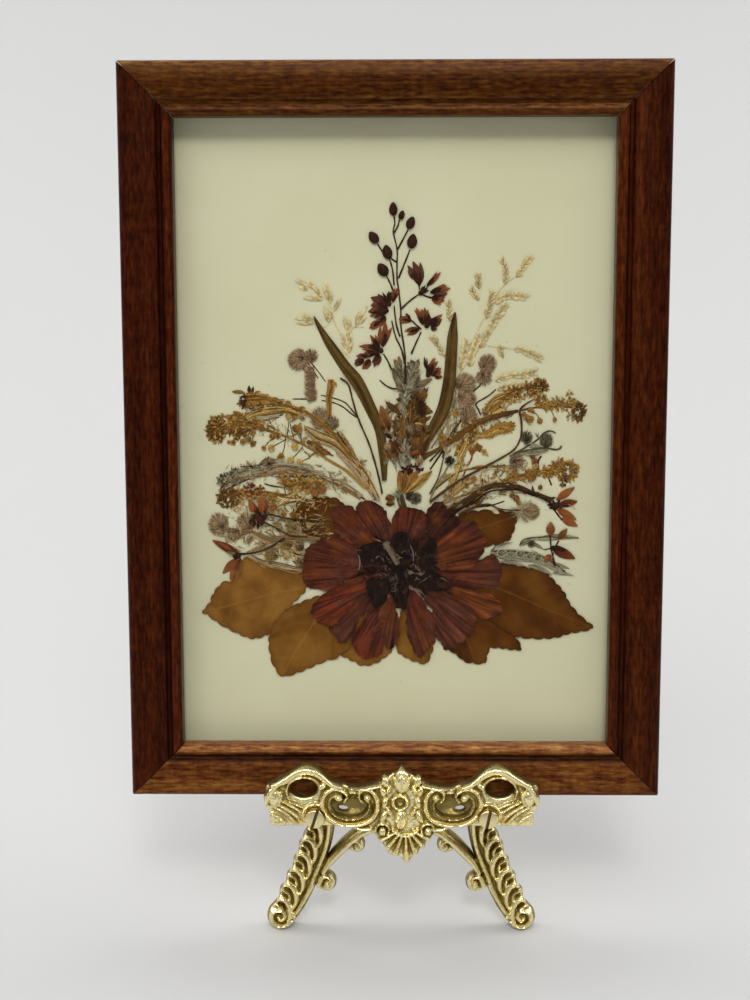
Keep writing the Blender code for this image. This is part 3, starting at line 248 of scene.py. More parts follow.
def cast_brass():
    """Polished cast brass, with an olive brown film in its hollows."""
    brass = Finish("cast_brass")
    place = brass.place()
    hollow = brass.attribute("hollow", "Fac")
    cloud = brass.noise(place, 160.0, 3.0, 0.6)
    pebble = brass.noise(place, 1300.0, 4.0, 0.65)
    film = (hollow + (cloud - 0.5) * 0.35).step(0.2, 0.95)
    color = brass.mix(film, (0.96, 0.83, 0.44), (0.28, 0.22, 0.075))
    color = brass.mix(cloud.step(0.45, 0.75) * 0.3, color, (0.74, 0.62, 0.30))
    normal = brass.bump(pebble + cloud * 0.6, 0.3, 0.0002)
    return brass.done(base_color=color, metallic=1.0, roughness=0.22 + film * 0.2 + cloud * 0.08,
                      normal=normal)


def screw_brass():
    """Turned brass, its head drawn with fine round marks, and its slot darkened."""
    brass = Finish("screw_brass")
    place = brass.place()
    turned = brass.attribute("turned")
    marks = brass.noise(brass.stretched(turned, (9.0, 0.15, 1.0)), 1.0, 2.0, 0.5)
    hollow = brass.attribute("hollow", "Fac")
    color = brass.mix(hollow.step(0.2, 0.8), (0.88, 0.75, 0.41), (0.12, 0.08, 0.03))
    return brass.done(base_color=color, metallic=1.0, roughness=0.2 + brass.noise(place, 600.0) * 0.15,
                      normal=brass.bump(marks, 0.3, 0.00003))


def clear_glass():
    """Thin picture glass: what isn't mirrored passes straight through, and the light with it."""
    glass = Finish("clear_glass")
    place = glass.place()
    smear = glass.noise(glass.stretched(place, (9.0, 9.0, 14.0)), 1.0, 3.0, 0.6).step(0.5, 0.75)
    edge = glass.node("Fresnel", None, {"IOR": 1.45})
    through = glass.node("BsdfTransparent", None, {"Color": (0.985, 0.995, 0.985)})
    mirror = glass.node("BsdfGlossy", None, {"Color": (1.0, 1.0, 1.0), "Roughness": 0.02 + smear * 0.06})
    return glass.surface(glass.node("MixShader", None, {0: edge * 0.14, 1: through, 2: mirror}))


def cream_board():
    """Uncoated cream card, a little foxed, with fine fibres."""
    card = Finish("cream_board")
    place = card.place()
    age = card.noise(place, 22.0, 3.0, 0.55)
    fibre = card.noise(card.stretched(place, (2400.0, 2400.0, 700.0)), 1.0, 3.0, 0.6)
    speck = card.noise(place, 900.0, 1.0, 0.4).step(0.745, 0.8)
    color = card.mix(age.step(0.3, 0.7), (0.725, 0.675, 0.455), (0.765, 0.715, 0.50))
    color = card.mix(speck * 0.35, color, (0.42, 0.36, 0.2))
    return card.done(base_color=color, roughness=0.82, normal=card.bump(fibre, 0.12, 0.00005))


def brown_board():
    """Pressed fibre board."""
    board = Finish("backing_board")
    place = board.place()
    chip = board.noise(board.stretched(place, (260.0, 260.0, 900.0)), 1.0, 5.0, 0.7)
    fleck = board.cells(place, 420.0)
    color = board.ramp(chip * 0.8 + fleck * 0.25, (0.3, (0.14, 0.08, 0.042)),
                       (0.55, (0.25, 0.155, 0.085)), (0.75, (0.36, 0.245, 0.145)))
    return board.done(base_color=color, roughness=0.8, normal=board.bump(chip + fleck * 0.4, 0.35, 0.00018))


def tab_steel():
    """Thin rolled steel, dulled by age."""
    steel = Finish("tab_steel")
    place = steel.place()
    rolled = steel.noise(steel.stretched(place, (300.0, 6000.0, 6000.0)), 1.0, 3.0, 0.6)
    spot = steel.noise(place, 500.0, 4.0, 0.65)
    color = steel.mix(spot.step(0.55, 0.75), (0.52, 0.53, 0.55), (0.3, 0.24, 0.18))
    return steel.done(base_color=color, metallic=1.0, roughness=0.3 + spot * 0.3,
                      normal=steel.bump(rolled, 0.2, 0.00003))


# ---------------------------------------------------------------- outlines

def smooth_path(points, steps=4):
    """A curve through the points, open at both ends."""
    ends = [points[0], *points, points[-1]]
    curve = []
    for i in range(1, len(ends) - 2):
        for step in range(steps):
            curve.append(between(ends[i - 1:i + 3], step / steps))
    curve.append(tuple(points[-1]))
    return curve


def smooth_loop(points, steps=4):
    """A closed curve through the points."""
    count = len(points)
    curve = []
    for i in range(count):
        near = [points[(i + k) % count] for k in (-1, 0, 1, 2)]
        for step in range(steps):
            curve.append(between(near, step / steps))
    return curve


def between(near, t):
    """The point at t along a Catmull-Rom curve from the second point of four to the third."""
    p0, p1, p2, p3 = (Vector(p) for p in near)
    bend = (2 * p0 - 5 * p1 + 4 * p2 - p3) * t * t + (3 * p1 - p0 - 3 * p2 + p3) * t * t * t
    return tuple(p1 + 0.5 * ((p2 - p0) * t + bend))


def midway(first, second):
    return ((first[0] + second[0]) / 2, (first[1] + second[1]) / 2)


def at_angle(x, y, far, angle):
    """The point at the distance far from x, y, in the direction of the angle."""
    return (x + far * cos(angle), y + far * sin(angle))


def graded(values, t):
    """The value at t, where values is one number or a list that runs evenly from 0 to 1."""
    if not hasattr(values, "__len__"):
        return values
    place = t * (len(values) - 1)
    low = min(int(place), len(values) - 2)
    return values[low] + (values[low + 1] - values[low]) * (place - low)


def strip(points, widths, steps=4):
    """The outline of a band along the points, its width going evenly through the widths."""
    path = [Vector(p) for p in smooth_path(points, steps)]
    left = []
    right = []
    for i, point in enumerate(path):
        along = (path[min(i + 1, len(path) - 1)] - path[max(i - 1, 0)]).normalized()
        side = Vector((-along.y, along.x)) * graded(widths, i / (len(path) - 1)) / 2
        left.append(tuple(point + side))
        right.append(tuple(point - side))
    return left + right[::-1]


def oval(x, y, length, width, angle=0.0, sides=28):
    turn = radians(angle)
    points = []
    for k in range(sides):
        a = 2 * pi * k / sides
        u = length / 2 * cos(a)
        v = width / 2 * sin(a)
        points.append((x + u * cos(turn) - v * sin(turn), y + u * sin(turn) + v * cos(turn)))
    return points


def drop_shape(base, tip, width, foot=0.35):
    """A leaf lobe from its base to its tip, widest past the middle."""
    shape = ((0.0, foot), (0.55, 1.0), (0.85, 0.75), (1.0, 0.2))
    base = Vector(base)
    along = Vector(tip) - base
    side = Vector((-along.y, along.x)).normalized() * width / 2
    left = [tuple(base + along * t + side * w) for t, w in shape]
    right = [tuple(base + along * t - side * w) for t, w in shape]
    return smooth_loop(left + right[::-1], 3)


def turning(points):
    """1 for an outline that runs anticlockwise, or -1."""
    pairs = zip(points, [*points[1:], points[0]])
    return 1 if sum(a[0] * b[1] - b[0] * a[1] for a, b in pairs) > 0 else -1


def mirrored(points):
    return [(-x, y) for x, y in points]


def evenly(points, step, closed=True):
    """The points with more between them, so that none is farther than step from the next."""
    ends = [*points, points[0]] if closed else points
    spread = []
    for a, b in zip(ends, ends[1:]):
        parts = max(1, ceil(hypot(b[0] - a[0], b[1] - a[1]) / step))
        for k in range(parts):
            spread.append((a[0] + (b[0] - a[0]) * k / parts, a[1] + (b[1] - a[1]) * k / parts))
    if not closed:
        spread.append(points[-1])
    return spread


# ---------------------------------------------------------------- meshes by hand

def deselect():
    if bpy.context.object and bpy.context.object.mode != "OBJECT":
        bpy.ops.object.mode_set(mode="OBJECT")
    bpy.ops.object.select_all(action="DESELECT")


def select_only(piece):
    deselect()
    piece.select_set(True)
    bpy.context.view_layer.objects.active = piece


def apply_modifier(piece, kind, **settings):
    select_only(piece)
    change = piece.modifiers.new(kind.lower(), kind)
    for key, value in settings.items():
        setattr(change, key, value)
    bpy.ops.object.modifier_apply(modifier=change.name)


def edit_all(piece):
    select_only(piece)
    bpy.ops.object.mode_set(mode="EDIT")
    bpy.ops.mesh.select_all(action="SELECT")


def end_edit():
    bpy.ops.object.mode_set(mode="OBJECT")


def face_outwards(piece):
    edit_all(piece)
    bpy.ops.mesh.remove_doubles(threshold=1e-5)
    bpy.ops.mesh.normals_make_consistent(inside=False)
    end_edit()


def smooth_by_angle(piece, angle=35):
    select_only(piece)
    bpy.ops.object.shade_smooth_by_angle(angle=radians(angle))


def smooth_all(piece):
    select_only(piece)
    bpy.ops.object.shade_smooth()


def join_pieces(name, pieces):
    """One object of all the pieces."""
    deselect()
    for piece in pieces:
        piece.select_set(True)
    bpy.context.view_layer.objects.active = pieces[0]
    bpy.ops.object.join()
    pieces[0].name = name
    pieces[0].data.name = name
    return pieces[0]


def settle(piece, place, finish, body, slot, *nodes):
    """Puts the piece's place into its mesh, gives it its finish and hangs it on its body."""
    piece.data.transform(place @ piece.matrix_world)
    piece.matrix_world = Matrix.Identity(4)
    piece.data.materials.clear()
    piece.data.materials.append(finish)
    piece.data.update()
    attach(piece, body)
    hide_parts(*nodes)
    return piece


def object_of(name, corners, faces):
    mesh = bpy.data.meshes.new(name)
    mesh.from_pydata(corners, [], faces)
    mesh.update()
    made = bpy.data.objects.new(name, mesh)
    bpy.context.scene.collection.objects.link(made)
    return made


def set_number(piece, name, values):
    layer = piece.data.attributes.new(name, "FLOAT", "POINT")
    layer.data.foreach_set("value", np.asarray(values, np.float32))


def set_vector(piece, name, values):
    layer = piece.data.attributes.new(name, "FLOAT_VECTOR", "POINT")
    layer.data.foreach_set("vector", np.asarray(values, np.float32).ravel())


def set_color(piece, name, values):
    layer = piece.data.attributes.new(name, "FLOAT_COLOR", "POINT")
    rgba = np.ones((len(piece.data.vertices), 4), np.float32)
    rgba[:, :3] = values
    layer.data.foreach_set("color", rgba.ravel())


# ---------------------------------------------------------------- raised and sunk sheets

class Relief:
    """A flat shape filled with evenly spaced corners, whose front is raised and sunk, in millimetres."""

    def __init__(self, outlines, spacing, holes=()):
        self.spacing = spacing
        outlines = [evenly(o, spacing * 1.4) for o in outlines]
        holes = [evenly(o, spacing * 1.4) for o in holes]
        corners, triangles = self.fill(outlines, holes, [])
        self.rim = self.open_edges(triangles)
        self.rim_line = (np.array([corners[a] for a, _ in self.rim]),
                         np.array([corners[b] for _, b in self.rim]))
        inner = self.lattice(np.array(corners))
        corners, triangles = self.fill(outlines, holes, inner)
        used = sorted({i for triangle in triangles for i in triangle})
        renamed = {old: new for new, old in enumerate(used)}
        self.at = np.array([corners[i] for i in used])
        self.triangles = [tuple(renamed[i] for i in triangle) for triangle in triangles]
        self.rim = self.open_edges(self.triangles)
        self.x = self.at[:, 0]
        self.y = self.at[:, 1]
        self.from_edge = self.gap_to(*self.rim_line)
        self.height = np.zeros(len(self.at))
        self.pit_film_and_shade = np.zeros(len(self.at))

    def fill(self, outlines, holes, inner):
        """Triangles that join the outlines and the inner points, and leave the holes open."""
        points = []
        faces = []
        for outline in outlines + holes:
            outline = outline if turning(outline) > 0 else outline[::-1]
            faces.append(list(range(len(points), len(points) + len(outline))))
            points.extend(Vector(p) for p in outline)
        points.extend(Vector(p) for p in inner)
        corners, _, triangles, _, _, sources = delaunay_2d_cdt(points, [], faces, 0, 1e-4)
        kept = []
        for triangle, source in zip(triangles, sources):
            if source and max(source) < len(outlines):
                kept.append(tuple(triangle))
        return [tuple(c) for c in corners], kept

    def open_edges(self, triangles):
        """The directed edges that only one triangle has."""
        seen = {}
        for a, b, c in triangles:
            for edge in ((a, b), (b, c), (c, a)):
                seen[edge] = True
        return [edge for edge in seen if (edge[1], edge[0]) not in seen]

    def lattice(self, corners):
        """Points in even rows over the shape, none of them close to its edge."""
        low = corners.min(0)
        high = corners.max(0)
        rows = []
        step_y = self.spacing * 0.866
        for j in range(int((high[1] - low[1]) / step_y) + 1):
            xs = np.arange(low[0] + (j % 2) * self.spacing / 2, high[0], self.spacing)
            rows.append(np.stack([xs, np.full(len(xs), low[1] + j * step_y)], 1))
        points = np.concatenate(rows)
        self.at = points
        return [tuple(p) for p in points[self.gap_to(*self.rim_line) > self.spacing * 0.55]]

    def gap_to(self, starts, ends):
        """How far each corner is from the nearest of the segments."""
        best = np.full(len(self.at), 1e9)
        for a, b in zip(starts, ends):
            along = b - a
            t = np.clip(((self.at - a) @ along) / max(along @ along, 1e-12), 0, 1)
            best = np.minimum(best, np.hypot(*(self.at - a - t[:, None] * along).T))
        return best

    def near_path(self, points):
        """For each corner, its distance from the path, how far along it is from 0 to 1, and its side."""
        path = np.array(points, float)
        lengths = np.hypot(*np.diff(path, axis=0).T)
        reached = np.concatenate([[0], np.cumsum(lengths)])
        best = np.full(len(self.at), 1e9)
        place = np.zeros(len(self.at))
        side = np.zeros(len(self.at))
        for k, (a, b) in enumerate(zip(path, path[1:])):
            along = b - a
            off = self.at - a
            t = np.clip((off @ along) / max(along @ along, 1e-12), 0, 1)
            gap = np.hypot(*(off - t[:, None] * along).T)
            closer = gap < best
            best = np.where(closer, gap, best)
            place = np.where(closer, (reached[k] + t * lengths[k]) / reached[-1], place)
            side = np.where(closer, np.sign(along[0] * off[:, 1] - along[1] * off[:, 0]), side)
        return best, place, side

    def bar(self, points, widths, profile=0.5):
        """How strongly each corner belongs to a rounded bar along the points, from 0 to 1."""
        gap, place, _ = self.near_path(points)
        if hasattr(widths, "__len__"):
            widths = np.interp(place, np.linspace(0, 1, len(widths)), widths)
        return np.clip(1 - (gap / (widths / 2)) ** 2, 0, 1) ** profile

    def ridge(self, points, widths, low, high, profile=0.5, steps=4):
        """Raises a rounded bar, from low at its flanks to high at its top."""
        shape = self.bar(smooth_path(points, steps), widths, profile)
        self.height = np.where(shape > 0, np.maximum(self.height, low + (high - low) * shape), self.height)

    def groove(self, points, widths, depth):
        """Sinks a rounded channel."""
        self.height = self.height - depth * self.bar(smooth_path(points), widths, 0.8)

    def dome(self, x, y, length, width, angle, low, high, profile=0.5):
        shape = np.clip(1 - self.round_gap(x, y, length, width, angle) ** 2, 0, 1) ** profile
        self.height = np.where(shape > 0, np.maximum(self.height, low + (high - low) * shape), self.height)

    def pit(self, x, y, length, width, angle, depth):
        shape = np.clip(1 - self.round_gap(x, y, length, width, angle) ** 2, 0, 1)
        self.height = self.height - depth * shape
        # A pit also takes the dark film by its depth: patina in the hollow, and painted shade of a deep
        # recess.
        self.pit_film_and_shade = np.maximum(self.pit_film_and_shade, np.minimum(1, shape * 2.5) * min(1, depth / 1.4))

    def round_gap(self, x, y, length, width, angle):
        """0 at the middle of an oval and 1 on its edge."""
        turn = radians(angle)
        u = (self.x - x) * cos(turn) + (self.y - y) * sin(turn)
        v = -(self.x - x) * sin(turn) + (self.y - y) * cos(turn)
        return np.hypot(u / (length / 2), v / (width / 2))

    def roughen(self, amount, size, seed=0.0):
        self.height += amount * self.noise_at(size, seed)

    def noise_at(self, size, seed=0.0):
        return np.array([noise.noise((p[0] / size, p[1] / size, seed)) for p in self.at])

    def softened(self, values, rounds):
        """The values, evened out with their neighbours."""
        edges = np.array([(t[i], t[(i + 1) % 3]) for t in self.triangles for i in range(3)])
        count = np.bincount(edges[:, 0], minlength=len(self.at))
        count += np.bincount(edges[:, 1], minlength=len(self.at))
        for _ in range(rounds):
            total = np.bincount(edges[:, 0], values[edges[:, 1]], len(self.at))
            total += np.bincount(edges[:, 1], values[edges[:, 0]], len(self.at))
            values = 0.5 * values + 0.5 * total / np.maximum(count, 1)
        return values

    def hollows(self):
        """1 where the front is well below what is round it, and 0 where it stands up."""
        # Pits add their film and painted shade on top of the hollows.
        return np.clip((self.softened(self.height, 14) - self.height) / 0.45 + 0.15 + self.pit_film_and_shade, 0, 1)

    def solid(self, name, back):
        """The shape with its front at the heights and a flat back."""
        return self.closed(name, np.full(len(self.at), back))

    def sheet(self, name, thick):
        return self.closed(name, self.height - thick)

    def closed(self, name, backs):
        count = len(self.at)
        front = np.column_stack([self.at, self.height])
        behind = np.column_stack([self.at, backs])
        faces = list(self.triangles) + [(c + count, b + count, a + count) for a, b, c in self.triangles]
        faces += [(a + count, b + count, b, a) for a, b in self.rim]
        made = object_of(name, np.concatenate([front, behind]).tolist(), faces)
        smooth_by_angle(made, 50)
        return made

    def doubled(self, values):
        """The values for the front, and again for the back."""
        return np.concatenate([values, values])


# ---------------------------------------------------------------- the frame

def rail_section():
    """The moulding's section, as (in from the outer edge, out from the back)."""
    outer = [(0.0, 0.0), (0.0, 11.8), (0.29, 13.1), (0.42, 13.6), (0.75, 13.95), (1.4, 14.2)]
    face = smooth_path([(1.4, 14.2), (3.2, 14.5), (5.6, 14.6), (8.0, 14.45), (9.7, 13.95)], 4)[1:]
    groove = [(10.15, 13.5), (10.4, 13.05), (10.75, 12.9), (11.15, 12.92)]
    bead_x, bead_y = (12.78, 12.9)
    bead_radius = 1.5
    bead = []
    for k in range(1, 14):
        a = pi * (1 - k / 13) - 0.05
        bead.append((bead_x + bead_radius * cos(a), bead_y + bead_radius * sin(a)))
    inside = [(RAIL_WIDTH, 12.4), (RAIL_WIDTH, LIP_BACK), (RAIL_WIDTH - LIP, LIP_BACK),
              (RAIL_WIDTH - LIP, 0.0)]
    return outer + face + groove + bead[:-1] + inside


def make_rail(name, length, reach, angle, finish, seed, shade, painted_light_bands):
    """One mitred length of moulding, its outer edge at reach from the middle, turned to its side.

    Bands are painted highlights or painted shade along it, as (from, to, tint), measured in from the outer
    edge.
    """
    section = rail_section()
    deselect()
    bpy.ops.mesh.primitive_circle_add(vertices=len(section), fill_type="NGON")
    rail = bpy.context.object
    rail.name = name + "_moulding"
    for corner, (w, d) in zip(rail.data.vertices, section):
        corner.co = (-length / 2, -(reach - w), d)
    edit_all(rail)
    bpy.ops.mesh.extrude_region_move(TRANSFORM_OT_translate={"value": (length, 0, 0)})
    for side in (1, -1):
        bpy.ops.mesh.select_all(action="SELECT")
        corner = (side * (length / 2 - MITRE_GAP), -reach, 0)
        bpy.ops.mesh.bisect(plane_co=corner, plane_no=(side, 1, 0), use_fill=True, clear_outer=True)
    end_edit()
    face_outwards(rail)
    around = [0.0]
    for a, b in zip(section, section[1:]):
        around.append(around[-1] + hypot(b[0] - a[0], b[1] - a[1]))
    grain = []
    shades = []
    for vertex in rail.data.vertices:
        w = vertex.co.y + reach
        gaps = [(across - w) ** 2 + (out - vertex.co.z) ** 2 for across, out in section]
        nearest = gaps.index(min(gaps))
        grain.append((vertex.co.x, around[nearest], seed))
        tint = shade
        # Each band multiplies a painted highlight or painted shade into its strip of the moulding.
        for first, last, shares in painted_light_bands:
            if first <= section[nearest][0] <= last:
                tint = [part * share for part, share in zip(shade, shares)]
        shades.append(tint)
    set_vector(rail, "grain", grain)
    set_color(rail, "shade", shades)
    smooth_by_angle(rail, 32)
    settle(rail, PLANE @ Matrix.Rotation(radians(angle), 4, "Z"), finish, "frame_and_easel",
           "stained_wood", name)
    return rail


def make_frame():
    wood = stained_wood()
    # In each rail's bands, the lighter strips on the outer edge, the groove's edge and the bead are painted
    # highlights, and the darker strips in the groove are painted shade.
    make_rail("rail_bottom", FRAME_WIDTH, FRAME_HEIGHT / 2, 0, wood, 11.3, (2.45, 3.1, 2.6),
              [(9.7, 11.6, (0.4, 0.32, 0.3)), (12.6, 14.3, (2.1, 2.6, 4.2))])
    make_rail("rail_right", FRAME_HEIGHT, FRAME_WIDTH / 2, 90, wood, 23.7, (0.84, 0.58, 0.36),
              [(9.9, 11.5, (0.6, 0.5, 0.5)), (12.5, 14.3, (1.5, 1.6, 1.5))])
    make_rail("rail_top", FRAME_WIDTH, FRAME_HEIGHT / 2, 180, wood, 37.1, (1.3, 1.5, 0.75),
              [(0.0, 1.4, (1.7, 2.2, 5.0)), (9.6, 10.3, (1.2, 1.4, 2.6)), (11.2, 12.6, (1.7, 2.1, 5.0))])
    make_rail("rail_left", FRAME_HEIGHT, FRAME_WIDTH / 2, 270, wood, 53.9, (0.74, 0.46, 0.34),
              [(9.9, 11.5, (0.6, 0.5, 0.5)), (11.8, 13.6, (1.6, 1.7, 1.8))])
    refinish("glass_pane", clear_glass())
    refinish("mount_board", cream_board())
    refinish("backing_board", brown_board())
    steel = tab_steel()
    for node in ("tab_left_low", "tab_left_high", "tab_right_low", "tab_right_high"):
        refinish(node, steel)


def refinish(node, finish):
    """Gives a carried-over node its finish."""
    piece = frame["nodes"][node]
    for slot in piece.material_slots:
        slot.material = finish


# ---------------------------------------------------------------- the pressed plants

def tone(red, green, blue):
    """A colour as it looks on a screen, from 0 to 255, made linear."""
    return tuple(linear(part / 255) for part in (red, green, blue))


def linear(part):
    return ((part + 0.055) / 1.055) ** 2.4 if part > 0.04 else part / 12.92


STRAW = tone(236, 220, 174)
STRAW_DARK = tone(186, 160, 108)
STEM_TAN = tone(160, 124, 66)
STEM_DARK = tone(74, 50, 26)
GOLD = tone(172, 128, 58)
GOLD_PALE = tone(202, 168, 98)
GOLD_DARK = tone(114, 78, 32)
ORANGE = tone(146, 96, 50)
RUST = tone(140, 66, 30)
RUST_DARK = tone(78, 30, 18)
SIENNA = tone(136, 92, 42)
BROWN = tone(88, 52, 24)
BROWN_DARK = tone(52, 28, 16)
MAUVE = tone(186, 156, 124)
MAUVE_DARK = tone(126, 98, 74)
TAUPE = tone(190, 164, 126)
TAUPE_DARK = tone(128, 100, 70)
CREAM = tone(186, 160, 104)
GREY = tone(142, 132, 106)
GREY_DARK = tone(84, 72, 52)
SILVER = tone(168, 162, 136)
BURGUNDY = tone(60, 32, 24)
BURGUNDY_RED = tone(148, 84, 50)
OLIVE_BROWN = tone(104, 76, 32)


class Pile:
    """How high the pressed pieces stand above the board, on small squares."""

    CELL = 0.3
    ROWS = 620
    COLUMNS = 440
    LEFT = -66
    BOTTOM = -93

    def __init__(self):
        self.high = np.zeros((self.ROWS, self.COLUMNS))

    def cells(self, x, y):
        rows = ((np.asarray(y) - self.BOTTOM) / self.CELL).astype(int)
        columns = ((np.asarray(x) - self.LEFT) / self.CELL).astype(int)
        return np.clip(rows, 0, self.ROWS - 1), np.clip(columns, 0, self.COLUMNS - 1)

    def at(self, x, y):
        return self.high[self.cells(x, y)]

    def raise_to(self, x, y, tops):
        fresh = np.zeros_like(self.high)
        np.maximum.at(fresh, self.cells(x, y), tops)
        self.high = np.maximum(self.high, widened(fresh, 1))

    def draped(self, x, y):
        """The height of a soft sheet that is laid over the pile."""
        return blurred(widened(self.high, 2), 4)[self.cells(x, y)]


def widened(field, reach):
    for axis in (0, 1):
        field = np.max([np.roll(field, k, axis) for k in range(-reach, reach + 1)], axis=0)
    return field


def blurred(field, rounds):
    for _ in range(rounds):
        for axis in (0, 1):
            field = 0.25 * np.roll(field, 1, axis) + 0.5 * field + 0.25 * np.roll(field, -1, axis)
    return field


pile = Pile()


def pattern(build):
    """One small shape as corners and faces: x along it from 0 to 1, y across and z out."""
    deselect()
    piece = build()
    edit_all(piece)
    bpy.ops.mesh.normals_make_consistent(inside=False)
    end_edit()
    corners = np.array([v.co for v in piece.data.vertices])
    faces = [tuple(face.vertices) for face in piece.data.polygons]
    bpy.data.objects.remove(piece, do_unlink=True)
    return corners, faces


def bud_shape():
    """A drop, fat below and drawn to a point, with a seam in it."""
    bpy.ops.mesh.primitive_uv_sphere_add(segments=8, ring_count=6, radius=0.5)
    piece = bpy.context.object
    for corner in piece.data.vertices:
        x, y, z = corner.co
        along = z + 0.5
        fat = 1.12 - 0.75 * max(0.0, along - 0.45) ** 1.2
        groove = 1 - 0.1 * abs(cos(3 * atan2(y, x)))
        corner.co = (along, y * fat * groove, x * fat * groove)
    return piece


def grain_shape():
    """A small rounded grain of few faces."""
    bpy.ops.mesh.primitive_ico_sphere_add(subdivisions=1, radius=0.5)
    piece = bpy.context.object
    for corner in piece.data.vertices:
        x, y, z = corner.co
        corner.co = (z + 0.5, y * (1.1 - 0.3 * z), x)
    return piece


def petal_shape():
    """A small pointed petal, keeled along its middle and turned up at its tip."""
    bpy.ops.mesh.primitive_grid_add(x_subdivisions=5, y_subdivisions=2, size=1)
    piece = bpy.context.object
    for corner in piece.data.vertices:
        t = corner.co.x + 0.5
        wide = 0.14 + sin(pi * min(1.0, t ** 0.85)) ** 0.9
        across = corner.co.y * 2
        corner.co = (t, across * wide / 2, 0.55 * (1 - across * across) * (1 - 0.5 * t) + 0.35 * t * t)
    apply_modifier(piece, "SOLIDIFY", thickness=0.22, offset=-1)
    return piece


def fibre_shape():
    """A tapered three-sided hair."""
    bpy.ops.mesh.primitive_cone_add(vertices=3, radius1=0.5, radius2=0.12, depth=1, location=(0, 0, 0.5))
    piece = bpy.context.object
    bpy.ops.object.transform_apply(location=True, rotation=True, scale=True)
    for corner in piece.data.vertices:
        x, y, z = corner.co
        corner.co = (z, y, x)
    return piece


